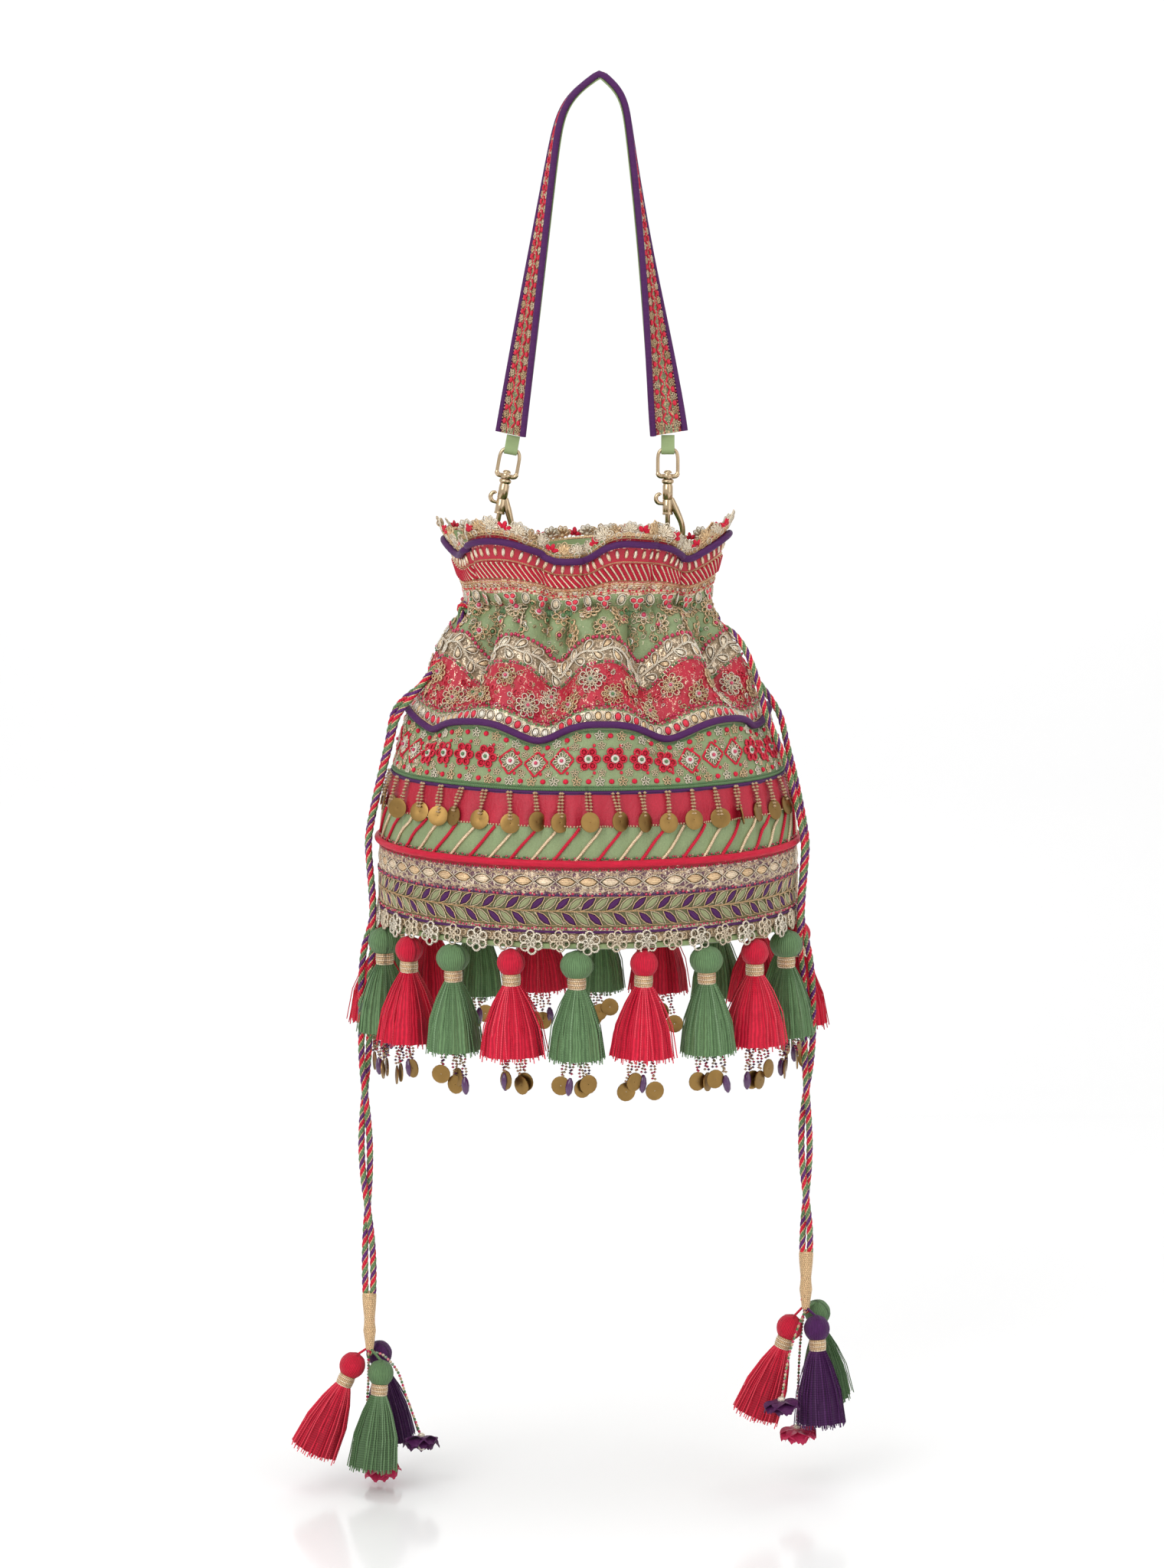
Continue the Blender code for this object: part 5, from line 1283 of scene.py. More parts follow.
def build_cloth():
    columns = 330
    down = np.concatenate(
        [np.arange(0, 60, 0.9), np.arange(60, 100, 1.4), np.arange(100, 178, 2.2), [178]]
    ) * MM
    back = np.array([178, 150, 120, 100, 84, 70, 58, 46, 38, 30, 20, 10, 3, 0]) * MM
    belows = np.concatenate([down, back])
    outs = np.concatenate([np.zeros(len(down)), np.full(len(back), -SHELL_THICKNESS)])
    shell = cup_piece(
        "bag_cloth", finish("embroidered_silk"), "embroidered_silk", *cloth_rings(belows, outs, columns)
    )
    replace(shell, "outer_shell")
    columns = 150
    down = np.concatenate([np.arange(0.6, 60, 3), np.arange(60, 177, 9), [177]]) * MM
    outs = lining_out(down)
    belows = np.concatenate([down, down[::-1]])
    outs = np.concatenate([outs, outs[::-1] - 0.7 * MM])
    rings, _, _ = cloth_rings(belows, outs, columns)
    level = HEM_LEVEL + 0.5 * MM
    half = len(down)
    floor = []
    for share, rise in ((0.9, 0), (0.3, 0), (0.3, 0.6), (0.9, 0.6)):
        ring = rings[half - 1] if rise == 0 else rings[half]
        flat = ring.copy()
        flat[:, 0] = BAG_CENTRE + (flat[:, 0] - BAG_CENTRE) * share
        flat[:, 1] = flat[:, 1] * share
        flat[:, 2] = level + rise * MM
        floor.append(flat)
    middle = np.array([[BAG_CENTRE, 0, level]])
    maker = Maker()
    skin = [rings[:half].reshape(-1, 3), *floor[:2]]
    inner = [*floor[2:], rings[half:].reshape(-1, 3)]
    outer_points = np.vstack([*skin, middle])
    inner_points = np.vstack([*inner, middle + [[0, 0, 0.6 * MM]]])
    count = half + 2
    outer_faces = ring_faces(count, columns)
    last = (count - 1) * columns
    outer_faces += [(last + i, last + (i + 1) % columns, count * columns) for i in range(columns)]
    offset = len(outer_points)
    inner_faces = [tuple(offset + i for i in face) for face in ring_faces(count, columns)]
    inner_faces += [
        (offset + i, offset + (i + 1) % columns, offset + count * columns) for i in range(columns)
    ]
    top = [
        (i, (i + 1) % columns, offset + last + (i + 1) % columns, offset + last + i)
        for i in range(columns)
    ]
    maker.add(np.vstack([outer_points, inner_points]), outer_faces + inner_faces + top)
    lining = maker.piece("bag_lining", finish("sage_satin"), "bag", "sage_satin", sharp=60)
    replace(lining, "lining")
    turns = math.tau * np.arange(160) / 160
    rows = []
    for share, level in (
        (0.02, -0.3), (0.985, -0.3), (1.0, -0.9), (1.0, -2.7), (0.985, -3.3), (0.02, -3.3)
    ):
        x, y = HEM_HALF_WIDTH * share * np.sin(turns), -HEM_HALF_DEPTH * share * np.cos(turns)
        rows.append(np.stack([BAG_CENTRE + x, y, np.full_like(x, HEM_LEVEL + level * MM)], -1))
    maker = Maker()
    maker.add(np.concatenate(rows), capped_faces(len(rows), len(turns)))
    base = maker.piece("bag_base", finish("sage_satin"), "bag", "sage_satin")
    replace(base, "base_panel")


def keeper(clasp, side):
    """The cloth loop that holds a D-ring to the lining."""
    bar_level = RING_CENTRE - RING_RADIUS * math.sin(RING_CHORD)
    middle = clasp @ Vector((RING_OFFSET, 0, bar_level))
    angle = math.pi / 2 * side
    wall = Vector(cloth(np.array(angle), np.array(9 * MM), np.array(-3 * MM)))
    heading = math.atan2(wall.z - middle.z, wall.x - middle.x)
    radius = RING_BAR_RADIUS + 0.75 * MM
    path = []
    for t in np.linspace(heading + 0.9, heading + math.tau - 0.9, 20):
        path.append(middle + Vector((radius * math.cos(t), 0, radius * math.sin(t))))
    path = [wall + Vector((0, 0, 0.5 * MM)), *path, wall - Vector((0, 0, 0.5 * MM))]
    maker = Maker()
    path = smooth_path(path, 0.7 * MM)
    maker.add(*ribbon(path, (0, 1, 0), KEEPER_HALF_WIDTH, 3.9 * MM, 0.4 * MM))
    return maker


def build_pipings():
    rows = (
        ("mouth", "purple_piping", MOUTH_PIPING_BELOW_RIM),
        ("body", "purple_piping", BODY_PIPING_BELOW_RIM),
        ("hem", "pink_piping", HEM_PIPING_BELOW_RIM),
    )
    for name, look, below in rows:
        piece = lay_lines(f"{name}_cord", look, [(below / MM, 1.5, PIPING_RADIUS / MM)], sides=12)
        replace(piece, f"{name}_piping")


# Tassels

TASSEL_OUT = 0.6 * MM
WRAP_HEIGHT = 5.6
STRINGS_START = -47 * MM
THREAD_RADIUS = 0.29 * MM
GOLDEN_ANGLE = 2.399963


def thread_strands(count, top_radius, bottom_radius, top, bottom, seed):
    """Loose tassel threads between two radii, bent a little and cut unevenly."""
    random = np.random.default_rng(seed)
    maker = Maker()
    for index in range(count):
        turn = index * GOLDEN_ANGLE
        reach = math.sqrt((index + 0.5) / count)
        start = top_radius * (0.35 + 0.65 * reach)
        end = bottom_radius * reach * (1 + 0.16 * random.uniform(-0.5, 0.5))
        wave = random.uniform(-1, 1, 4)
        cut = bottom + (top - bottom) * 0.05 * random.uniform(-0.6, 1)
        path = []
        for t in (0, 0.1, 0.26, 0.56, 1):
            radius = start + (end - start) * (1 - (1 - t) ** 1.9)
            bend = 0.05 * wave[0] * math.sin(3 * t) + 0.05 * wave[1] * t
            angle = turn + bend
            x = radius * math.cos(angle) + wave[2] * 0.5 * MM * math.sin(math.pi * t)
            y = radius * math.sin(angle) + wave[3] * 0.5 * MM * math.sin(math.pi * t)
            path.append((x, y, top + (cut - top) * t))
        maker.tube(path, THREAD_RADIUS, 3, hint=(0, 1, 0.1), tint=random.uniform(0.36, 0.76))
    return maker


def tassel_body(
    head_radius, head_height, wrap_radius, wrap_height, skirt_radius, skirt_length, seed, count=160
):
    """A tassel's head, gold wrap, loose threads and core, hung from the origin; sizes in mm."""
    head_radius, head_height, wrap_radius = head_radius * MM, head_height * MM, wrap_radius * MM
    wrap_height, skirt_radius, skirt_length = wrap_height * MM, skirt_radius * MM, skirt_length * MM
    head = Maker()
    profile = [(0.16 * head_radius, 0)]
    for t in np.linspace(0, 1, 9)[1:]:
        radius = head_radius * math.sin(math.pi * (0.07 + 0.76 * t)) ** 0.62
        profile.append((radius, -head_height * t))
    head.turned(profile, 40, ridges=20, ridge=0.022)
    wrap = Maker()
    turns = 6
    for i in range(turns):
        level = -head_height - wrap_height * (i + 0.5) / turns
        angles = math.tau * np.arange(18) / 18
        radius = wrap_radius * (0.93 + 0.07 * math.sin(math.pi * (i + 0.5) / turns))
        path = np.stack([radius * np.cos(angles), radius * np.sin(angles), np.full(18, level)], -1)
        wrap.tube(
            path, 0.56 * wrap_height / turns, 5, hint=(0, 0, 1), closed=True, tint=0.3 + 0.4 * (i % 2)
        )
    top = -head_height - wrap_height * 0.8
    bottom = -head_height - wrap_height - skirt_length
    strands = thread_strands(count, 0.86 * wrap_radius, skirt_radius, top, bottom, seed)
    core = Maker()
    profile = []
    for t in (0, 0.08, 0.16, 0.28, 0.45, 0.7, 0.96):
        grown = 0.8 * wrap_radius + (0.9 * skirt_radius - 0.8 * wrap_radius) * (1 - (1 - t) ** 1.9)
        profile.append((grown, top + t * (bottom - top)))
    # The core's low tint (0.12) makes it dark where it takes a thread finish: painted shade inside the
    # loose threads.
    core.turned(profile, 24, ridges=12, ridge=0.05, tint=0.12)
    return head, wrap, strands, core


def merged(makers):
    whole = Maker()
    for maker in makers:
        whole.add(
            np.concatenate(maker.points), maker.faces, np.concatenate(maker.thread),
            np.concatenate(maker.tint)
        )
    return whole


def placed(maker, matrix):
    """A copy of a maker's points moved by a matrix."""
    points = np.concatenate(maker.points)
    matrix = np.array(matrix)
    copy = Maker()
    copy.add(
        points @ matrix[:3, :3].T + matrix[:3, 3], maker.faces, np.concatenate(maker.thread),
        np.concatenate(maker.tint)
    )
    return copy


def pointing(place, direction):
    """A matrix that hangs a shape from a place, with its -Z along the direction."""
    down = Vector(direction).normalized()
    return Matrix.Translation(place) @ (-down).to_track_quat("Z", "Y").to_matrix().to_4x4()


def mixed_piece(name, parts, body, sharp=50):
    """One piece from several makers, each with its own finish."""
    whole = merged([maker for maker, _ in parts])
    mesh = whole.mesh(name)
    material_index = []
    for index, (maker, look) in enumerate(parts):
        mesh.materials.append(finish(look))
        material_index += [index] * len(maker.faces)
    mesh.polygons.foreach_set("material_index", material_index)
    mesh.set_sharp_from_angle(angle=math.radians(sharp))
    return add_piece(name, mesh, None, body)


def bead_string(length, seed, coin=True):
    """Two strands of beads below a tassel, with a coin or a glass drop at their end."""
    random = np.random.default_rng(seed)
    beads = Maker()
    shape = seed_bead(0.85)
    step = 1.45 * MM
    for i in range(int(length / step)):
        for strand in (-1, 1):
            along = 0.9 * strand * math.cos(0.7 * i + seed)
            across = 0.9 * strand * math.sin(0.7 * i + seed)
            at = Matrix.Translation((along * MM, across * MM, -(i + 0.5) * step))
            beads.add(
                np.concatenate(placed(shape, at).points), shape.faces, None,
                random.choice((0.95, 0.7, 0.9, 0.1))
            )
    if coin:
        disc = spangle_shape(4.4, 0.18, 0.5, 16)
        end = placed(
            disc,
            Matrix.Translation((0, 0, -length - 4.0 * MM)) @ Matrix.Rotation(math.radians(90), 4, "X")
        )
    else:
        end = Maker()
        profile = [(0.6, 0), (1.5, -1.6), (1.9, -4.2), (1.5, -6.8), (0.5, -8.3)]
        end.turned([(r * MM, z * MM - length) for r, z in profile], 10, tint=0.7)
    return beads, end


def build_hem_tassels():
    top = HEM_LEVEL - 2 * SEAT - BASE_THICKNESS
    angles = np.radians(18 * np.arange(20) - 3)
    looks = (("green_thread", 7.6, 12.0, 13.4), ("pink_thread", 6.3, 11.4, 15.6))
    kept = {}
    for index, angle in enumerate(angles):
        kind = index % 2
        look, head_radius, head_height, skirt_radius = looks[kind]
        variant = (index // 2) % 3
        if (kind, variant) not in kept:
            kept[kind, variant] = tassel_body(
                head_radius, head_height, 3.9, WRAP_HEIGHT, skirt_radius, 33, 10 * kind + variant
            )
        head, wrap, strands, core = kept[kind, variant]
        half_width, half_depth = HEM_HALF_WIDTH + TASSEL_OUT, HEM_HALF_DEPTH + TASSEL_OUT
        heading = math.atan2(math.sin(angle) * HEM_HALF_DEPTH, math.cos(angle) * HEM_HALF_WIDTH)
        place = Vector((BAG_CENTRE + half_width * math.sin(angle), -half_depth * math.cos(angle), top))
        random = np.random.default_rng(500 + index)
        lean = Matrix.Rotation(random.uniform(-0.035, 0.035), 4, "Y")
        matrix = Matrix.Translation(place) @ Matrix.Rotation(heading, 4, "Z") @ lean
        plain = look.replace("thread", "head")
        parts = [(head, plain), (strands, look), (core, plain), (wrap, "wound_gold")]
        beads, coins, drops = [], [], []
        for string in range(4):
            side = (string - 1.5) * 2.9 * MM
            swing = Matrix.Rotation(random.uniform(-0.12, 0.12) - 0.06 * (string - 1.5), 4, "Y")
            start = STRINGS_START
            hang = Matrix.Translation((side, random.uniform(-4, 2) * MM, start)) @ swing
            spin = Matrix.Rotation(random.uniform(-0.7, 0.7), 4, "Z")
            coin = string != (index + 1) % 4
            strands_of_beads, end = bead_string(
                (12.0 + 3.5 * random.uniform(-1, 1)) * MM, 50 * index + string, coin
            )
            beads.append(placed(strands_of_beads, hang))
            (coins if coin else drops).append(placed(end, hang @ spin))
        parts += [(merged(beads + drops), "glass_beads"), (merged(coins), "brass_coin")]
        name = f"hem_tassel_{index + 1:02d}"
        moved_parts = [(placed(maker, matrix), surface) for maker, surface in parts]
        piece = mixed_piece("dressed_" + name, moved_parts, "bag")
        replace(piece, name)


# What hangs from the cords

LEFT_TASSELS = (
    ("pink", (-8, -2, -6.5), (-0.41, -0.05, -0.91)),
    ("green", (5.5, -6.5, -9), (-0.09, -0.1, -0.99)),
    ("purple", (4, 8, -3.5), (0.12, 0.22, -0.97)),
)
LEFT_FLOWERS = (
    (
        "purple",
        [(1.42, 1.03, -1.2), (7, -0.6, -3), (13.6, -4, -10), (17.6, -4.5, -22), (24.6, -4, -42)],
        (0.05, -0.4, -0.9),
    ),
    (
        "pink",
        [(-0.54, -1.66, -1.2), (-0.8, 1.6, -14), (-1.4, 2.4, -32), (2, 4.2, -47), (5, 4.2, -58.5)],
        (0.1, 0.1, -1),
    ),
)
RIGHT_TASSELS = (
    ("pink", (-7.5, -2, -8), (-0.35, -0.03, -0.93)),
    ("purple", (5, -5.5, -7.5), (0.05, -0.1, -0.99)),
    ("green", (6, 8, -3.5), (0.12, 0.22, -0.97)),
)
RIGHT_FLOWERS = (
    (
        "purple",
        [(-0.54, -1.66, -1.2), (-4.4, -10.5, -7), (-9, -17, -20), (-12.4, -24.5, -38)],
        (0.1, -0.1, -1),
    ),
    ("pink", [(-0.54, 1.66, -1.2), (-2, 3, -14), (-3, 2.6, -32), (-3.6, -1, -58.5)], (0.05, 0, -1)),
)
THREAD_TURNS = (3.14, 5.24, 1.05)


def binding_piece(name, top):
    """Gold thread wound close round both ends of a drawcord."""
    profile = [
        (3.2, 0), (3.5, -1.2), (3.3, -5), (2.6, -12.6), (2.7, -15), (3.1, -18.5), (2.3, -24), (1.9, -28)
    ]
    levels = np.array([p[1] for p in profile][::-1])
    radii = np.array([p[0] for p in profile][::-1])
    pitch = 0.62
    turns = 28 / pitch
    t = np.linspace(0, 1, int(turns * 18))
    z = -28 * t
    radius = np.interp(z, levels, radii) - 0.3
    angle = math.tau * turns * t
    path = np.stack([radius * np.cos(angle), radius * np.sin(angle), z], -1) * MM
    wire = Maker()
    wire.tube(path + np.array(top - Vector((0, 0, 2 * SEAT))), 0.34 * MM, 5, hint=(0, 0, 1), tint=0.5)
    core = Maker()
    core.turned([(max(r - 0.35, 0.2) * MM, z * MM) for r, z in profile], 16)
    core = placed(core, Matrix.Translation(top - Vector((0, 0, 2 * SEAT))))
    piece = mixed_piece(name, [(wire, "wound_gold"), (core, "wound_gold")], "bag", sharp=80)
    return piece


def cloth_flower(radius, petals, seed):
    """Two layers of cupped cloth petals hung from their middle, facing down."""
    random = np.random.default_rng(seed)
    maker = Maker()
    columns, rows = 9, 8
    for layer in range(2):
        for petal in range(petals):
            turn = math.tau * (petal + 0.5 * layer) / petals + random.uniform(-0.08, 0.08)
            long = radius * (1.0 if layer == 0 else 0.78) * random.uniform(0.94, 1.05)
            wide = 0.62 * long
            droop = 0.5 + 0.25 * layer + random.uniform(-0.08, 0.08)
            upper, lower = [], []
            for row in range(rows):
                s = row / (rows - 1)
                half = wide * math.sin(math.pi * (0.1 + 0.82 * s)) ** 0.55
                for column in range(columns):
                    c = 2 * column / (columns - 1) - 1
                    reach = (0.1 + 0.9 * s) * long - 0.1 * long * s * c * c
                    cup = 0.16 * long * c * c * s
                    ruffle = 0.05 * long * math.sin(7 * c + petal) * s * s
                    x, y = reach * math.cos(droop * s), half * c
                    z = -reach * math.sin(droop * s) + cup + ruffle - 0.6 * MM * layer
                    px = x * math.cos(turn) - y * math.sin(turn)
                    py = x * math.sin(turn) + y * math.cos(turn)
                    upper.append((px, py, z + 0.12 * MM))
                    lower.append((px, py, z - 0.12 * MM))
            faces = []
            count = rows * columns
            for row in range(rows - 1):
                for column in range(columns - 1):
                    a = row * columns + column
                    quad = (a, a + 1, a + 1 + columns, a + columns)
                    faces += [quad, tuple(count + i for i in quad)]
            edge = list(range(columns)) + [r * columns + columns - 1 for r in range(1, rows)]
            edge += [(rows - 1) * columns + c for c in range(columns - 2, -1, -1)]
            edge += [r * columns for r in range(rows - 2, 0, -1)]
            for first, second in zip(edge, edge[1:] + edge[:1]):
                faces.append((first, second, count + second, count + first))
            maker.add(upper + lower, faces, None, 0.5)
    return maker


def beads_along(path, radius, tints=(0.1, 0.9, 0.4)):
    """Round beads threaded on a path; radius is in millimetres."""
    steps = travelled(path)
    places = np.arange(radius, steps[-1] / MM, 2 * radius + 0.05) * MM
    maker = Maker()
    shape = bead_shape(radius, 6, 2, 0.4)
    for index, place in enumerate(places):
        at = Vector([np.interp(place, steps, path[:, i]) for i in range(3)])
        after = Vector([np.interp(place + 0.3 * MM, steps, path[:, i]) for i in range(3)])
        bead = placed(shape, pointing(at, after - at))
        maker.add(np.concatenate(bead.points), bead.faces, None, tints[index % len(tints)])
    return maker


def build_cluster(prefix, top, tassels, flowers):
    """Three tassels and two flowers that hang by their threads from the end of a binding."""
    knot = top - Vector((0, 0, 2 * SEAT + BINDING_LENGTH))
    made = [binding_piece(f"{prefix}_wound_end", top)]
    replace(made[0], f"{prefix}_binding")
    for index, (colour, offset, direction) in enumerate(tassels):
        head, wrap, strands, core = tassel_body(
            6.1, 11.3, 3.7, WRAP_HEIGHT, 12.2, 35.5, 70 + index, 210
        )
        hang = pointing(Vector((0, 0, 0)), direction)
        centre = knot + Vector(offset) * MM
        place = Matrix.Translation(centre - hang @ Vector((0, 0, -5.75 * MM))) @ hang
        turn = THREAD_TURNS[index]
        fixing = knot + Vector((1.75 * math.cos(turn), 1.75 * math.sin(turn), 0.4)) * MM
        neck = centre - hang @ Vector((0, 0, -5.0 * MM))
        thread = Maker()
        thread.tube(
            smooth_path([fixing, fixing.lerp(neck, 0.5), neck], 1 * MM), 0.6 * MM, 6, hint=(0.2, 1, 0.1)
        )
        look = f"{colour}_thread"
        # The core takes the thread finish and its low tint, a dark cone standing for painted shade inside
        # the skirt.
        parts = [
            (placed(head, place), f"{colour}_head"), (placed(strands, place), look),
            (placed(core, place), look)
        ]
        parts += [(placed(wrap, place), "wound_gold"), (thread, look)]
        piece = mixed_piece(f"{prefix}_cord_tassel_{colour}", parts, "bag")
        replace(piece, f"{prefix}_end_tassel_{colour}")
        made.append(piece)
    for index, (colour, offsets, tilt) in enumerate(flowers):
        path = smooth_path(
            [knot + Vector(offset) * MM for offset in [(offsets[0][0], offsets[0][1], 0.5), *offsets]],
            0.8 * MM
        )
        centre = Vector(path[-1])
        lean = pointing(centre, tilt)
        petals = placed(cloth_flower(10.2 * MM, 6, 30 + index), lean)
        drop = Maker()
        profile = [(0.15, 1.6), (1.4, 1.2), (1.9, 0), (1.2, -1.4), (0.2, -1.8)]
        drop.turned([(r * MM, z * MM) for r, z in profile], 12, tint=0.9)
        pearl = bead_shape(2.0, 14, 9, 0.12)
        parts = [
            (petals, f"{colour}_organza"),
            (beads_along(path, 0.78), "glass_beads"),
            (placed(drop, lean @ Matrix.Translation((0, 0, 0.6 * MM))), "wound_gold"),
            (placed(pearl, lean @ Matrix.Translation((0, 0, -4.3 * MM))), "pearl"),
        ]
        thread = Maker()
        thread.tube(path, 0.3 * MM, 5, hint=(0.2, 1, 0.1))
        parts.append((thread, "plain_thread"))
        piece = mixed_piece(f"{prefix}_flower_{colour}", parts, "bag")
        replace(piece, f"{prefix}_end_flower_{colour}")
        made.append(piece)
    for piece in made:
        piece["at_end_of"] = prefix


# Strap


def strap_frames(steps=110):
    """Places, outward normals and width directions along the strap, left end to right end."""
    shares = [(i / steps) ** 1.35 for i in range(steps + 1)]
    stations = [
        (LEFT_LEG, share) for share in reversed(shares)
    ] + [(RIGHT_LEG, share) for share in shares[1:]]
    rows = []
    for leg, share in stations:
        side = -1 if leg is LEFT_LEG else 1
        place = leg_point(leg, share)
        place.z *= LEFT_STRAP_DROP / STRAP_DROP if leg is LEFT_LEG else 1
        if share == 0:
            along = Vector((1, 0, 0))
        else:
            step = min(0.004, share / 2)
            along = (leg_point(leg, share + step) - leg_point(leg, share - step)).normalized() * side
        flat = Vector((-along.z, 0, along.x))
        twist = leg["twist"] * share ** leg["twist_power"]
        outward = flat * math.cos(twist) - Vector((0, 1, 0)) * math.sin(twist)
        across = Vector((0, 1, 0)) * math.cos(twist) + flat * math.sin(twist)
        rows.append((place, outward, across))
    places = np.array([row[0] for row in rows])
    return places, np.array([row[1] for row in rows]), np.array([row[2] for row in rows])


def strap_point(track, length, width, height):
    """Points on the strap by distance along it, across it and above its underside."""
    places, outward, across = track
    steps = travelled(places)
    length, width, height = np.broadcast_arrays(*(np.asarray(v, float) for v in (length, width, height)))

    def at(values):
        return np.stack([np.interp(length, steps, values[:, i]) for i in range(3)], -1)

    side, out = unit(at(across)), unit(at(outward))
    return at(places) + side * width[..., None] + out * height[..., None], side, out


def strap_length(track):
    return float(travelled(track[0])[-1])


def strap_strip(track, profile):
    """A strip with a rounded cross-section, as (width, height) points in millimetres."""
    lengths = np.linspace(0, strap_length(track), 220)
    rings = [strap_point(track, lengths, w * MM, h * MM)[0] for w, h in profile]
    points = np.stack(rings, 1)
    maker = Maker()
    thread = np.stack(np.broadcast_arrays(lengths[:, None], np.array([w for w, _ in profile]) * MM), -1)
    maker.add(points.reshape(-1, 3), capped_faces(len(lengths), len(profile)), thread.reshape(-1, 2))
    return maker


def brocade_finish(colours):
    """The strap's band: pale green and pink silk between close rows of metal thread."""
    made = Finish("dressed_brocade", 0.45, sheen=0.15)
    _, across = made.thread()
    edge = made.math("ABSOLUTE", made.math("DIVIDE", across, 6 * MM))
    sage, pink = colours.sage, colours.pink
    stops = [
        (0, times(sage, 0.55)), (0.3, times(pink, 0.4)), (0.42, times(sage, 0.5)),
        (0.78, times(pink, 0.5))
    ]
    dye = made.ramp(edge, stops, constant=True)
    stitch = made.noise(900, 2)
    metal = made.math("MULTIPLY", made.math("SUBTRACT", stitch, 0.5), 12)
    metal = made.math("MINIMUM", made.math("MAXIMUM", metal, 0), 1)
    made.bump(stitch, 0.0007, 0.7)
    made.put(made.math("MULTIPLY", metal, 0.85), made.shader.inputs["Metallic"])
    shine = times(colours.gold, 0.75)
    return made.colour(made.shade(made.mix(metal, dye, shine), 0.4, stitch, made.noise(120, 2)))


def build_strap(colours):
    track = strap_frames()
    lining = strap_strip(
        track, ((-7.4, 0.05), (7.4, 0.05), (7.8, 0.4), (7.4, 0.8), (-7.4, 0.8), (-7.8, 0.4))
    )
    replace(lining.piece("strap_underside", finish("sage_satin"), "strap", "sage_satin"), "strap_lining")
    crown = [
        (-5.9, 1.2), (5.9, 1.2), (6.2, 1.9), (5.6, 2.6), (3, 2.85), (0, 2.95), (-3, 2.85), (-5.6, 2.6),
        (-6.2, 1.9)
    ]
    band = strap_strip(track, crown)
    replace(band.piece("strap_face", brocade_finish(colours), "strap", "strap_brocade"), "strap_band")
    total = strap_length(track)
    for name, side, node in (
        ("strap_edge_front", -1, "strap_piping_front"), ("strap_edge_back", 1, "strap_piping_back")
    ):
        lengths = np.linspace(0, total, 260)
        path, _, out = strap_point(track, lengths, side * 7.6 * MM, 2.3 * MM)
        maker = Maker()
        maker.tube(path, 1.5 * MM, 10, hint=out)
        replace(maker.piece(name, finish("purple_piping"), "strap", "purple_silk"), node)


# Clasps


def clasp_tube(maker, clasp, points, radii, sides=14, closed=False, hint=(0, 1, 0)):
    """A smooth cast bar through points given in a clasp's own millimetres."""
    path = np.array(points, float) if closed else smooth_path(points, 0.45)
    radii = np.asarray(radii, float)
    if radii.ndim:
        radii = np.interp(np.linspace(0, 1, len(path)), np.linspace(0, 1, len(radii)), radii)
    matrix = np.array(clasp)
    path = path * MM @ matrix[:3, :3].T + matrix[:3, 3]
    hint = np.array(hint) @ matrix[:3, :3].T
    maker.tube(path, radii * MM, sides, hint=hint, closed=closed)


def superellipse(half_width, half_height, middle, steps, power):
    points = []
    for i in range(steps):
        turn = math.tau * (i + 0.5) / steps
        c, s = math.cos(turn), math.sin(turn)
        low = 0.25 if s < 0 else power
        points.append(
            (
                half_width * math.copysign(abs(c) ** (0.55 if s > 0 else 0.35), c), 0,
                middle + half_height * math.copysign(abs(s) ** low, s)
            )
        )
    return points


def cast(name, makers, body):
    """One piece of plated metal."""
    return merged(makers).piece(name, finish("polished_gold"), body, "gold_metal")


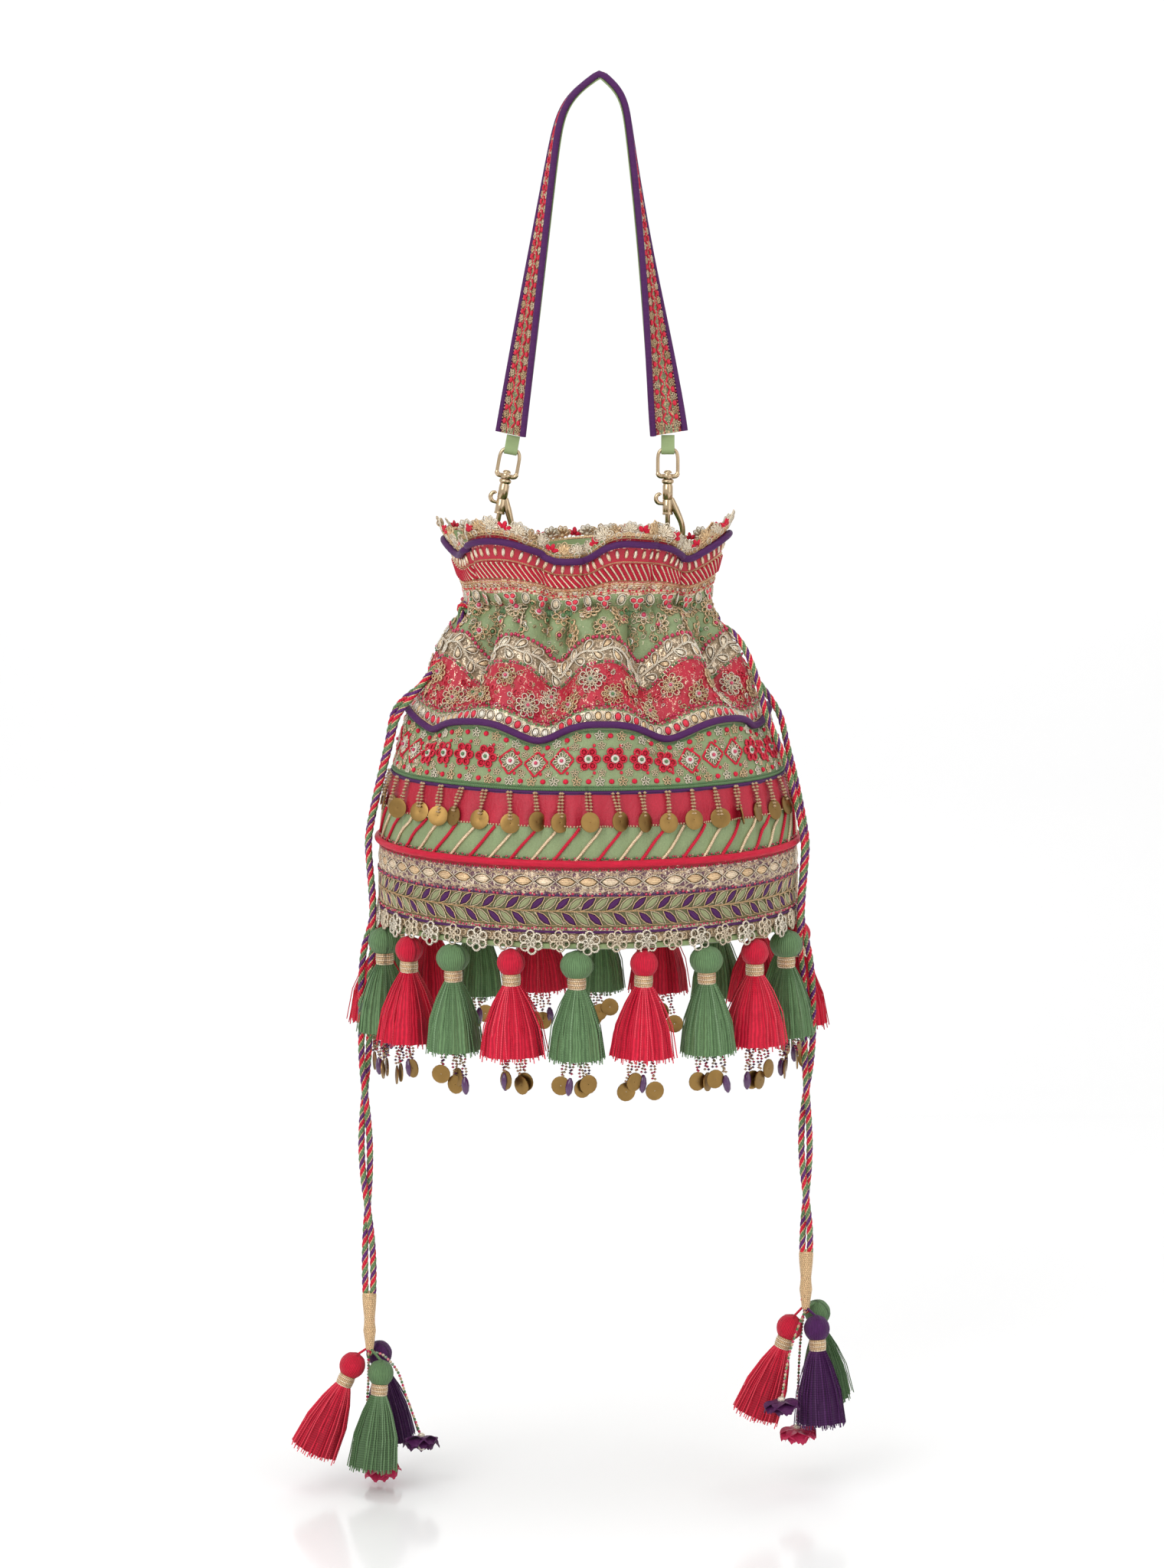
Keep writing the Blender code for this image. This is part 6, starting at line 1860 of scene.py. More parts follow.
def build_clasp(prefix, clasp):
    """Swivel eye, hook with its barrel, bolt, spring and D-ring of one clasp."""
    eye_bottom = 28.8
    eye_top = eye_bottom + 14.4
    eye = Maker()
    loop = superellipse(4.65, 6.35, (eye_bottom + eye_top) / 2 + 0.1, 56, 0.6)
    radii = [0.85 + 0.3 * (1 if p[2] < eye_bottom + 2.5 else 0) for p in loop]
    matrix = np.array(clasp)
    path = np.array(loop) * MM @ matrix[:3, :3].T + matrix[:3, 3]
    across = np.array((0, 1, 0)) @ matrix[:3, :3].T
    eye.tube(path, np.array(radii) * MM, 14, hint=across, closed=True)
    foot = Maker()
    profile = [(0.4, 2.3), (2.4, 2.1), (2.7, 1.1), (2.3, 0.1), (0.4, 0)]
    foot.turned([(r * MM, (eye_bottom + z) * MM) for r, z in profile], 24)
    piece = cast(f"{prefix}_eye", [eye, placed(foot, clasp)], "strap")
    replace(piece, f"{prefix}_swivel_eye")
    barrel = Maker()
    profile = [
        (1.6, 12.0), (2.45, 12.0), (2.55, 12.5), (2.3, 13.1), (2.4, 13.5), (2.4, 18.8), (2.15, 19.1),
        (2.4, 19.4), (2.4, 25.4)
    ]
    profile += [
        (2.15, 25.8), (2.1, 26.3), (2.7, 26.8), (2.9, 27.5), (2.7, 28.2), (1.9, 28.6), (1.2, 28.7),
        (1.1, 31.2), (2.0, 31.3), (1.7, 32.2), (0.9, 32.7)
    ]
    barrel.turned([(r * MM, z * MM) for r, z in profile[::-1]], 32)
    hook = Maker()
    points = [
        (1.6, 0, 19.5), (3.0, 0, 15.9), (4.9, 0, 11.8), (6.3, 0, 8.4), (6.95, 0, 5.2), (6.85, 0, 2.5),
        (5.9, 0, 0.6), (4.0, 0, 0.0), (1.6, 0, 0.0), (0.35, 0, 0.6), (0.0, 0, 2.1),
    ]
    clasp_tube(hook, clasp, points, [1.3, 1.6, 1.75, 1.6, 1.45, 1.35, 1.3, 1.3, 1.3, 1.25, 1.15])
    piece = cast(f"{prefix}_hook_body", [placed(barrel, clasp), hook], f"{prefix}_hook")
    replace(piece, f"{prefix}_hook", f"{prefix}_spring")
    bolt = Maker()
    profile = [(0.5, 12.6), (1.15, 12.6), (1.15, 3.0), (0.8, 2.5), (0.2, 2.5)]
    bolt.turned([(r * MM, z * MM) for r, z in profile], 20)
    thumb = Maker()
    level = 17.1
    points = [
        (-1.9, 0, level), (-3.2, 0, level), (-4.6, 0, level + 0.5), (-5.5, 0, level + 2.1),
        (-5.0, 0, level + 3.8), (-3.9, 0, level + 4.5), (-3.3, 0, level + 3.9)
    ]
    clasp_tube(thumb, clasp, points, [0.75, 0.8, 1.0, 1.05, 1.0, 0.9, 0.7])
    piece = cast(f"{prefix}_bolt_body", [placed(bolt, clasp), thumb], f"{prefix}_bolt")
    replace(piece, f"{prefix}_bolt")
    ring = Maker()
    offset, radius, centre = RING_OFFSET / MM, RING_RADIUS / MM, RING_CENTRE / MM
    turns = np.linspace(0.08 - RING_CHORD, math.pi + RING_CHORD - 0.08, 44)
    arc = [(offset, radius * math.cos(t), centre + radius * math.sin(t)) for t in turns]
    y = radius * math.cos(RING_CHORD) - 1.0
    bar = [(offset, -y + 2 * y * i / 14, centre - radius * math.sin(RING_CHORD)) for i in range(15)]
    clasp_tube(ring, clasp, arc + bar, RING_BAR_RADIUS / MM, 12, closed=True, hint=(1, 0, 0))
    replace(cast(f"{prefix}_ring", [ring], "bag"), f"{prefix}_d_ring")
    tab = Maker()
    bar_level = eye_top - 1.1
    radius = 1.75
    wrap = [(0.35, 49.0), (0.4, 46.2), (0.9, 44.6)]
    wrap += [
        (radius * math.cos(t), bar_level + radius * math.sin(t))
        for t in np.linspace(0.7, math.pi - 0.7 - math.tau, 22)
    ]
    wrap += [(-0.9, 44.6), (-0.4, 46.2), (-0.35, 49.0)]
    path = smooth_path([Vector((0, y, z)) for y, z in wrap], 0.35)
    points, faces = ribbon(path, (1, 0, 0), TAB_WIDTH / MM / 2, 3.1)
    tab.add(points * MM @ matrix[:3, :3].T + matrix[:3, 3], faces)
    piece = tab.piece(f"{prefix}_loop", finish("sage_satin"), "strap", "sage_satin")
    replace(piece, f"{prefix}_tab")
    loop = keeper(clasp, -1 if prefix == "left" else 1)
    loop.piece(f"{prefix}_keeper", finish("sage_satin"), "bag", "sage_satin")


# Embroidery


def ring_of(shape, count, radius, lift=0.0, start=0.0, sweep=360.0):
    """Copies of a flat shape round a centre, their tops pointing outwards."""
    copies = []
    for i in range(count):
        angle = math.radians(start - sweep * i / count)
        copies.append(
            placed(
                shape, Matrix.Rotation(angle, 4, "Z") @ Matrix.Translation((0, radius * MM, lift * MM))
            )
        )
    return merged(copies)


def oval_loop(half_width, half_height, wire=0.42, sides=9, kind="oval"):
    return loop_shape(kind, half_width * MM, half_height * MM, wire * MM, sides)


def oval_pad(half_width, half_height, height=0.5, sides=10, kind="oval"):
    return pad_shape(kind, half_width * MM, half_height * MM, height * MM, sides)


def bead_row(name, below, radius, tints, gap=0.12, wave=0.0):
    """Beads sewn side by side round the bag; tints repeat along the row."""
    length = travelled(cloth(np.linspace(0, math.tau, 361), np.full(361, below * MM)))[-1]
    count = int(length / ((2 * radius + gap) * MM))
    angle = evenly(count, below)
    down = below + wave * np.sin(math.tau * np.arange(count) / 3.7)
    tint = np.array(tints)[np.arange(count) % len(tints)]
    shape = seed_bead(radius)
    return sew(name, shape, "glass_beads", angle, down, out=radius + 0.1, turn=90, lean=20, tint=tint)


def slanted(name, look, count, top, bottom, run, radius, tint, phase=0.0, sides=5):
    """Threads laid across a band; run is how far their tops lie to the right of their feet."""
    maker = Maker()
    feet = evenly(count, (top + bottom) / 2, phase)
    share = np.linspace(0, 1, 6)
    for foot in feet:
        below = (top + (bottom - top) * share) * MM
        angle, below = beside(np.full(6, foot), below, run * (0.5 - share) * MM, 0.0)
        place, _, _, outward = spots(angle, below)
        maker.tube(place + outward * radius * 0.7 * MM, radius * MM, sides, hint=outward, tint=tint)
    return maker.piece(name, finish(look), "bag", SEWN_SLOTS[look], sharp=80)


def crumbs(name, count, low, high, seed, size=1.0, look="metal_purl", tint=(0.0, 0.8)):
    """Small coils of metal thread sewn close together."""
    random = np.random.default_rng(seed)
    angle, below = random.uniform(0, math.tau, count), random.uniform(low, high, count)
    turn, lean = random.uniform(0, 360, count), random.uniform(-25, 25, count)
    shape = oval_loop(0.85 * size, 1.15 * size, 0.38, 5)
    scale = random.uniform(0.7, 1.25, count)
    tints = random.uniform(*tint, count)
    return sew(name, shape, look, angle, below, turn=turn, lean=lean, size=scale, tint=tints)


def build_rim_lace():
    """Silver fans, gold trefoils and pink buds that stand round the rim."""
    count = 64
    angle = evenly(count, 0.0)
    random = np.random.default_rng(11)
    kinds = np.array([0, 1, 0, 2, 0, 1, 3] * 10)[:count]
    petal = merged([oval_loop(1.25, 2.5, 0.4, 8, "petal"), oval_pad(0.8, 1.9, 0.5, 8, "petal")])
    fan = merged([ring_of(petal, 5, 2.7, start=76, sweep=190), oval_pad(1.2, 1.2, 0.8)])
    trefoil = merged([ring_of(petal, 3, 2.2, start=60, sweep=180), oval_pad(1.0, 1.0, 0.8)])
    bud = ring_of(oval_pad(1.15, 1.9, 1.0, 9), 3, 2.1, start=58, sweep=174)
    lean = random.uniform(-16, 14, count)
    turn = random.uniform(-14, 14, count)
    size = random.uniform(0.85, 1.12, count)
    lace = []
    for kind, shape, look, tint in (
        (0, fan, "metal_purl", 0.16),
        (1, bud, "pink_thread", 0.5),
        (2, trefoil, "metal_purl", 0.75),
        (3, fan, "metal_purl", 0.5),
    ):
        chosen = kinds == kind
        piece = sew(
            f"rim_lace_{kind}", shape, look, angle[chosen], -1.6, out=0.4,
            turn=turn[chosen], lean=lean[chosen], size=size[chosen], tint=tint, slot="gold_lace",
        )
        lace.append(piece)
    rings = evenly(90, 0.0, 0.5)
    sew(
        "rim_rings", oval_loop(1.4, 1.5, 0.4), "metal_purl", rings, -0.2, out=0.3, lean=10,
        tint=np.tile([0.1, 0.5], 45)
    )
    lay_lines("rim_edge", "metal_purl", [(0.3, 0.3, 0.55), (1.3, 0.3, 0.45), (0.2, -1.6, 0.5)], sides=3)
    replace(lace[0], "mouth_lace")


def build_mouth_band():
    """The pink band below the rim: bars, slanting threads, chains and hanging ovals."""
    bars = evenly(88, 8)
    sew(
        "mouth_bars", oval_pad(0.95, 2.5, 1.0, 8), "metal_purl", bars, 7.9,
        tint=np.tile([0.15, 0.35], 44), turn=-4
    )
    rows = [(11.2, 0.42), (18.9, 0.42), (20.1, 0.4), (23.4, 0.36)]
    lay_lines("mouth_lines", "metal_purl", [(b, 0.2, r) for b, r in rows], sides=3)
    slanted("mouth_slants", "metal_purl", 124, 12.0, 18.4, -4.6, 0.55, tint=0.3)
    # The pink slants are tinted dark (0.28), partly for the band's dense stitching and partly as painted
    # shade.
    slanted("mouth_pink_slants", "pink_thread", 124, 12.2, 18.2, -4.6, 0.75, tint=0.28, phase=0.5)
    chain = evenly(150, 21)
    sew(
        "mouth_chain", oval_loop(0.75, 1.0, 0.32, 7), "metal_purl", chain, 21.6, turn=90,
        tint=np.tile([0.1, 0.5, 0.95], 50)
    )
    sew("mouth_knots", oval_pad(0.6, 0.7, 0.6, 6), "pink_thread", evenly(100, 22), 22.9, tint=0.6)
    count = 42
    hung = evenly(count, 26)
    silver = np.arange(count) % 2 == 0
    oval = merged(
        [
            oval_loop(2.0, 2.7, 0.42, 12),
            placed(oval_loop(1.2, 1.8, 0.35, 9), Matrix.Translation((0, 0.2 * MM, 0)))
        ]
    )
    sew("hung_ovals", oval, "metal_purl", hung[silver], 26.6, out=0.3, tint=0.05, lean=-12)
    sew(
        "hung_mirrors", oval_pad(1.5, 2.2, 0.5, 12), "metal_purl", hung[silver], 26.6, out=0.2, tint=0.3,
        lean=-12
    )
    trefoil = ring_of(oval_pad(1.15, 1.6, 0.8, 9), 3, 1.75, start=60)
    border = ring_of(oval_loop(1.45, 1.9, 0.38, 9), 3, 1.75, start=60)
    sew("hung_trefoils", trefoil, "pink_thread", hung[~silver], 26.9, out=0.3, tint=0.72, lean=-12)
    sew("hung_trefoil_edges", border, "metal_purl", hung[~silver], 26.9, out=0.2, tint=0.1, lean=-12)


def flower_places(count, rows, seed, jitter=1.2):
    """Angles and depths in millimetres of flowers in staggered rows."""
    random = np.random.default_rng(seed)
    angle, below = [], []
    for index, row in enumerate(rows):
        angle.append(evenly(count, row, 0.5 * (index % 2)) + random.uniform(-jitter, jitter, count) / 60)
        below.append(row + random.uniform(-jitter, jitter, count))
    return np.concatenate(angle), np.concatenate(below)


def build_green_gathers():
    """Gold flowers, spangles and beads on the gathered green silk."""
    angle, below = flower_places(25, (33.2, 40.8), 21)
    count = len(angle)
    size = np.random.default_rng(5).uniform(0.82, 1.12, count)
    flower = merged(
        [
            ring_of(oval_loop(1.15, 1.55, 0.46, 6), 8, 3.3),
            ring_of(oval_loop(0.8, 1.0, 0.42, 5), 6, 1.8, lift=0.5)
        ]
    )
    sew(
        "green_flowers", flower, "metal_purl", angle, below, size=size,
        tint=np.tile([0.45, 0.6, 0.3, 0.7, 0.5], count // 5)
    )
    beads = np.tile([0.1, 0.4, 0.1, 0.1, 0.4], count // 5)
    sew("green_spangles", spangle_shape(1.7, 0.4, 0.25, 12), "pearl", angle, below, out=1.0)
    sew("green_centres", bead_shape(1.15, 7, 3), "glass_beads", angle, below, out=1.6, tint=beads)
    small, low = flower_places(33, (29.5, 37.4, 45.2), 22, 2.0)
    sew(
        "green_beads", bead_shape(0.95, 6, 3), "glass_beads", small, low, out=0.7,
        tint=np.tile([0.4, 0.1, 0.45], 33)
    )
    sew("green_rings", oval_loop(1.5, 1.5, 0.5, 8), "metal_purl", small, low, tint=0.55)
    crumbs("green_crumbs", 700, 28.5, 46.2, 23)


def build_leaf_vine():
    """Pale metal leaves on a stem between two lines of pink beads."""
    bead_row("vine_beads_top", 47.4, 1.0, (0.1, 0.12, 0.08), gap=0.25)
    bead_row("vine_beads_bottom", 58.7, 0.7, (0.1, 0.1, 0.1, 0.4, 0.4), gap=0.2)
    place, _, _, outward = tour(lambda angle: 53 + 0.9 * np.sin(24 * angle), 480)
    maker = Maker()
    maker.tube(place + outward * 0.6 * MM, 0.6 * MM, 4, hint=outward, closed=True, tint=0.1)
    for below in (48.9, 57.5):
        place, _, _, outward = tour(below, 380)
        maker.tube(place + outward * 0.2 * MM, 0.45 * MM, 3, hint=outward, closed=True, tint=0.35)
    maker.piece("vine_stem", finish("metal_purl"), "bag", "gold_lace", sharp=80)
    count = 58
    leaf = oval_loop(1.95, 3.3, 0.45, 12, "petal")
    pad = oval_pad(1.3, 2.5, 0.9, 10, "petal")
    for name, depth, turn, phase in (("up", 50.9, -42, 0.0), ("down", 55.5, -138, 0.5)):
        angle = evenly(count, depth, phase)
        tint = np.random.default_rng(7).uniform(0.1, 0.5, count)
        sew(f"vine_leaves_{name}", pad, "metal_purl", angle, depth, out=0.3, turn=turn, tint=tint)
        sew(f"vine_edges_{name}", leaf, "metal_purl", angle, depth, out=0.3, turn=turn, tint=0.04)


def build_pink_flowers():
    """Gold and silver flowers on the pink silk above the body piping."""
    angle, below = flower_places(21, (64.6, 71.3), 31)
    count = len(angle)
    big = np.tile([1.12, 0.98], count)[:count]
    petals = ring_of(oval_loop(1.25, 1.8, 0.42, 8, "petal"), 8, 3.3)
    inner = ring_of(oval_loop(0.8, 1.1, 0.4, 6), 8, 2.1, lift=0.6)
    tint = np.tile([0.1, 0.5, 0.3, 0.6], count)[:count]
    sew("pink_band_petals", petals, "metal_purl", angle, below, size=big, tint=tint)
    sew("pink_band_hearts", inner, "metal_purl", angle, below, size=big, tint=tint + 0.15)
    sew("pink_band_spangles", spangle_shape(1.7, 0.4, 0.25, 12), "pearl", angle, below, out=1.0)
    beads = np.tile([0.4, 0.1, 0.1], count)[:count]
    sew("pink_band_centres", bead_shape(0.85, 8, 4), "glass_beads", angle, below, out=1.5, tint=beads)
    crumbs("pink_crumbs", 520, 61.5, 76.5, 32)
    crumbs("pink_rose_crumbs", 260, 60, 76.5, 33, look="pink_thread", tint=(0.5, 0.9))


def build_oval_border():
    """Ovals in groups of silver and pink above the body piping, with beads over them."""
    bead_row("border_beads_top", 75.6, 0.6, (0.1, 0.12, 0.1, 0.9, 0.1, 0.1, 0.4, 0.4), wave=0.3)
    bead_row("border_beads_low", 77.0, 0.55, (0.9, 0.1, 0.1, 0.4, 0.1), wave=0.2)
    count = 108
    angle = evenly(count, 80.2)
    pink = np.arange(count) % 6 >= 3
    tint = np.random.default_rng(9).choice([0.0, 0.1, 0.5], count)
    sew("border_edges", oval_loop(1.85, 2.35, 0.36, 12), "metal_purl", angle, 80.3, out=0.1, tint=0.05)
    sew(
        "border_silver", oval_pad(1.5, 2.0, 0.7, 12), "metal_purl", angle[~pink], 80.3, out=0.1,
        tint=tint[~pink]
    )
    sew("border_pink", oval_pad(1.45, 1.95, 0.9, 12), "pink_thread", angle[pink], 80.3, out=0.1, tint=0.66)
    lay_lines("border_line", "metal_purl", [(82.6, 0.2, 0.4)], sides=5)


def build_green_band():
    """Pink flowers and diamonds between two rows of knots and florets."""
    count = 42
    angle = evenly(count, 96.5)
    flowers = np.arange(count) % 7 < 4
    below = np.full(count, 96.6)
    petals = ring_of(oval_loop(1.55, 1.6, 0.62, 9), 6, 3.65, start=30)
    pads = ring_of(oval_pad(1.1, 1.15, 0.5, 8), 6, 3.65, start=30)
    sew("band_petals", petals, "pink_thread", angle[flowers], below[flowers], tint=0.62)
    sew("band_petal_fill", pads, "pink_thread", angle[flowers], below[flowers], tint=0.4)
    floret = ring_of(oval_loop(0.75, 1.3, 0.36, 8, "petal"), 8, 2.5)
    sew("band_florets", floret, "metal_purl", angle[~flowers], below[~flowers], tint=0.15, size=1.1)
    maker = Maker()
    for middle in angle[~flowers]:
        corners = [(0, 6.2), (5.6, 0), (0, -6.2), (-5.6, 0), (0, 6.2)]
        for (x0, y0), (x1, y1) in zip(corners, corners[1:]):
            t = np.linspace(0.04, 0.96, 6)
            spot, depth = beside(
                np.full(6, middle), np.full(6, 96.6 * MM), (x0 + (x1 - x0) * t) * MM,
                (y0 + (y1 - y0) * t) * MM
            )
            place, _, _, outward = spots(spot, depth)
            maker.tube(place + outward * 0.35 * MM, 0.5 * MM, 5, hint=outward, tint=0.55)
    maker.piece("band_diamonds", finish("pink_thread"), "bag", "embroidered_silk", sharp=80)
    sew("band_spangles", spangle_shape(1.95, 0.5, 0.3, 14), "pearl", angle, below, out=0.8)
    tint = np.where(flowers, 0.4, 0.1)
    sew("band_centres", bead_shape(0.85, 8, 4), "glass_beads", angle, below, out=1.4, tint=tint)
    small = ring_of(oval_loop(0.55, 0.85, 0.34, 6), 5, 1.15)
    for name, depth, phase in (("top", 88.0, 0.0), ("low", 105.6, 0.5)):
        knots = evenly(50, depth, phase / 50)
        sew(f"band_knots_{name}", oval_pad(1.35, 1.25, 1.0, 10), "pink_thread", knots, depth, tint=0.55)
        florets = evenly(50, depth, 0.5)
        sew(
            f"band_small_{name}", small, "metal_purl", florets, depth, tint=np.tile([0.1, 0.45], 25),
            size=1.15
        )
    halfway = evenly(42, 92, 0.5)
    for name, depth in (("upper", 91.6), ("lower", 102.0)):
        sew(f"band_sprigs_{name}", small, "metal_purl", halfway, depth, tint=0.3, size=0.95)
        sew(
            f"band_dots_{name}", oval_pad(0.8, 0.9, 0.8, 8), "pink_thread", evenly(42, depth, 0.22),
            depth, tint=0.6
        )
    crumbs("band_crumbs", 300, 87, 107, 41, size=0.62)
    lay_lines(
        "band_edges", "green_thread", [(86.4, 0.1, 0.5), (107.8, 0.1, 0.5), (109.0, 0.3, 0.6)], sides=4
    )
    lay_lines("coin_cord", "purple_piping", [(110.4, 0.4, 0.62)], sides=6)


def build_coins():
    """Brass coins on double strings of beads over the pink satin."""
    count = 44
    random = np.random.default_rng(51)
    angle = evenly(count, COINS_BELOW_RIM / MM)
    beads, coins = Maker(), Maker()
    bead = seed_bead(1.0)
    coin = spangle_shape(4.65, 0.18, 0.45, 20)
    for i in range(count):
        swing = random.uniform(-0.14, 0.14)
        length = random.uniform(11.0, 12.8)
        steps = np.arange(int(length / 1.5) + 1) * 1.5
        drop = np.append(steps, length + 1.6)
        spot, below = beside(
            np.full(len(drop), angle[i]), np.full(len(drop), 110.9 * MM), swing * drop * MM, -drop * MM
        )
        place, side, up, outward = spots(spot, below)
        for strand in (-1, 1):
            for k in range(len(steps)):
                share = k / len(steps)
                apart = strand * (0.75 + 0.4 * math.sin(math.pi * share + i)) * (1 - 0.45 * share)
                lift = 1.2 + 1.1 * share + 0.4 * math.sin(3 * share * math.pi + i) * strand
                at = Vector(place[k] + side[k] * apart * MM + outward[k] * lift * MM)
                tint = (0.95, 0.88, 0.97)[(k + i + strand) % 3]
                beads.add(
                    np.concatenate(placed(bead, Matrix.Translation(at)).points), bead.faces, None, tint
                )
        turn = random.uniform(-0.3, 0.3) if i % 6 else random.uniform(0.6, 0.9)
        axes = np.column_stack([side[-1], up[-1], outward[-1]])
        middle = place[-1] + outward[-1] * (1.3 + 3.2 * abs(math.sin(turn))) * MM
        matrix = Matrix([[*axes[r], middle[r]] for r in range(3)] + [[0, 0, 0, 1]])
        tip = Matrix.Rotation(turn, 4, "Y") @ Matrix.Rotation(random.uniform(-0.1, 0.05), 4, "X")
        coins.add(np.concatenate(placed(coin, matrix @ tip).points), coin.faces, None, 0.5)
    beads.piece("coin_strings", finish("glass_beads"), "bag", "brass_sequin")
    discs = coins.piece("coins", finish("brass_coin"), "bag", "brass_sequin", sharp=40)
    replace(discs, "coin_fringe")


def build_stripes():
    """Slanting cords on the green satin band, with beads along both edges."""
    bead_row("stripe_beads_top", 125.3, 0.55, (0.9, 0.95), gap=0.3)
    for name, look, tint, phase in (("coils", "metal_purl", 0.4, 0.0), ("cords", "pink_thread", 0.45, 0.5)):
        slanted(f"stripe_{name}", look, 28, 126.2, 141.0, 12.5, 0.75, tint=tint, phase=phase, sides=6)
    bead_row("stripe_beads_low", 139.8, 0.55, (0.1, 0.4, 0.1, 0.1, 0.9, 0.4), wave=0.35)


def build_hem_borders():
    """Lens border, herringbone leaves and their beads below the pink piping."""
    count = 57
    lens = evenly(count, 150)
    sew(
        "lens_pads", oval_pad(2.15, 4.4, 1.0, 12, "leaf"), "metal_purl", lens, 150.2, turn=90,
        tint=np.tile([0.5, 0.3, 0.65], 19)
    )
    sew("lens_edges", oval_loop(2.5, 4.9, 0.36, 12, "leaf"), "metal_purl", lens, 150.2, turn=90, tint=0.1)
    maker = Maker()
    for below, swing, phase, radius in (
        (146.4, 0.9, 0, 0.42), (147.5, 1.3, math.pi, 0.38), (153.2, 1.3, 0, 0.38),
        (154.3, 0.8, math.pi, 0.42)
    ):
        place, _, _, outward = tour(lambda angle: below + swing * np.cos(count * angle + phase), 456)
        maker.tube(place + outward * 0.2 * MM, radius * MM, 3, hint=outward, closed=True, tint=0.2)
    maker.piece("lens_scallops", finish("metal_purl"), "bag", "gold_lace", sharp=80)
    bead_row("lens_beads", 156.0, 0.7, (0.1, 0.14, 0.7, 0.1, 0.7), gap=0.35, wave=0.4)
    bead_row("lens_small_beads", 144.8, 0.45, (0.1, 0.4, 0.1), gap=0.4)
    count = 98
    for name, below, turn in (("upper", 160.2, 48), ("lower", 167.2, 132)):
        angle = evenly(count, below, 0.5 if name == "lower" else 0.0)
        purple = np.arange(count) % 2 == 0
        leaf = oval_pad(1.6, 4.5, 0.8, 10, "leaf")
        sew(f"leaves_green_{name}", leaf, "olive_thread", angle[~purple], below, turn=-turn, tint=0.75)
        sew(f"leaves_purple_{name}", leaf, "purple_thread", angle[purple], below, turn=-turn, tint=0.5)
        sew(
            f"leaf_edges_{name}", oval_loop(1.85, 4.7, 0.34, 10, "leaf"), "metal_purl", angle, below,
            turn=-turn, out=0.1, tint=np.tile([0.5, 0.3], 49)
        )
    bead_row("hem_beads", 171.6, 0.65, (0.1, 0.1, 0.9, 0.1), gap=0.4, wave=0.3)
    lay_lines("hem_thread", "purple_piping", [(173.2, 0.4, 0.6)], sides=6)
    lay_lines(
        "hem_metal", "metal_purl",
        [(174.4, 0.3, 0.45), (157.3, 0.1, 0.4), (163.7, 0.5, 0.42), (170.4, 0.1, 0.4)], sides=3
    )


def build_hem_lace():
    """Metal lace flowers and scallops that hang over the hem."""
    count = 44
    angle = evenly(count, 177)
    big = np.arange(count) % 2 == 0
    petals = ring_of(oval_loop(1.5, 1.6, 0.5, 9), 6, 2.6)
    heart = ring_of(oval_loop(0.7, 0.9, 0.42, 6), 5, 1.0, lift=0.6)
    flower = merged([petals, heart])
    lace = sew(
        "hem_lace_flowers", flower, "metal_purl", angle[big], 178.0, out=1.1, lean=-6, tint=0.06,
        size=1.3, uneven=0.3
    )
    sew(
        "hem_lace_small", flower, "metal_purl", angle[~big], 177.2, out=0.9, lean=-6, tint=0.2, size=1.15,
        uneven=0.3
    )
    rings = evenly(132, 175, 0.25)
    sew(
        "hem_lace_rings", oval_loop(1.5, 1.3, 0.42, 8), "metal_purl", rings, 175.6, out=0.4,
        tint=np.tile([0.1, 0.4, 0.25], 44)
    )
    low = evenly(88, 178, 0.5)
    sew(
        "hem_lace_scallops", oval_loop(1.2, 1.5, 0.42, 8), "metal_purl", low, 178.4, out=0.5, tint=0.2,
        uneven=0.4
    )
    replace(lace, "hem_lace")


def strap_spots(track, lengths, widths):
    """Places on the strap's band and the directions along, across and out of it."""
    crown = 2.95 - 0.3 * (np.abs(widths) / 6) ** 2
    place, side, out = strap_point(track, lengths, widths * MM, crown * MM)
    along = unit(np.cross(out, side))
    return place, along, side, out


def build_strap_embroidery():
    track = strap_frames()
    total = strap_length(track)

    def row(name, shape, look, pitch, width, phase=0.0, tint=0.5, out=0.0, turn=0.0):
        lengths = np.arange(2.5 + phase, total / MM - 2.5, pitch) * MM
        widths = np.full(len(lengths), float(width))
        turns = np.full(len(lengths), float(turn))
        if width:
            lengths = np.tile(lengths, 2)
            widths, turns = np.concatenate([widths, -widths]), np.concatenate([turns, -turns])
        place, along, side, outward = strap_spots(track, lengths, widths)
        facing = turned_facing(side, along, outward, turns)
        tints = np.resize(np.asarray(tint, float), len(lengths))
        mesh = strew(name, shape, finish(look), place + outward * out * MM, facing, tint=tints)
        return add_piece(name, mesh, None, "strap")

    floret = ring_of(oval_loop(0.5, 0.8, 0.32, 5), 5, 0.95)
    row("strap_florets", floret, "metal_purl", 6.4, 4.3, tint=(0.35, 0.6))
    row("strap_pink_knots", oval_pad(1.1, 1.5, 0.8, 8), "pink_thread", 6.4, 4.3, phase=3.2, tint=0.6)
    row("strap_leaves", oval_pad(0.85, 1.6, 0.5, 8), "olive_thread", 6.4, 0, tint=0.8)
    row("strap_leaf_edges", oval_loop(1.15, 1.9, 0.3, 8), "metal_purl", 6.4, 0, tint=0.3)
    for name, phase, turn in (("a", 1.6, 32), ("b", 4.8, -32)):
        row(
            f"strap_diamonds_{name}", oval_pad(0.5, 2.5, 0.8, 6), "pink_thread", 6.4, 1.5, phase, 0.6,
            turn=turn
        )
    row("strap_beads", seed_bead(0.52), "glass_beads", 1.5, 6.0, out=0.1, tint=(0.95, 0.9, 0.1))


# The add-on


class PotliSizes(bpy.types.PropertyGroup):
    """Sizes of the trims, in metres"""

    ply_lead: bpy.props.FloatProperty(
        name="Cord twist",
        description="Length of one turn of the drawcords' plies",
        default=0.011,
        unit="LENGTH",
    )
    light: bpy.props.FloatProperty(
        name="Light",
        description="Brightness of the studio lights",
        default=1.0,
        subtype="FACTOR",
        min=0,
        max=3,
    )


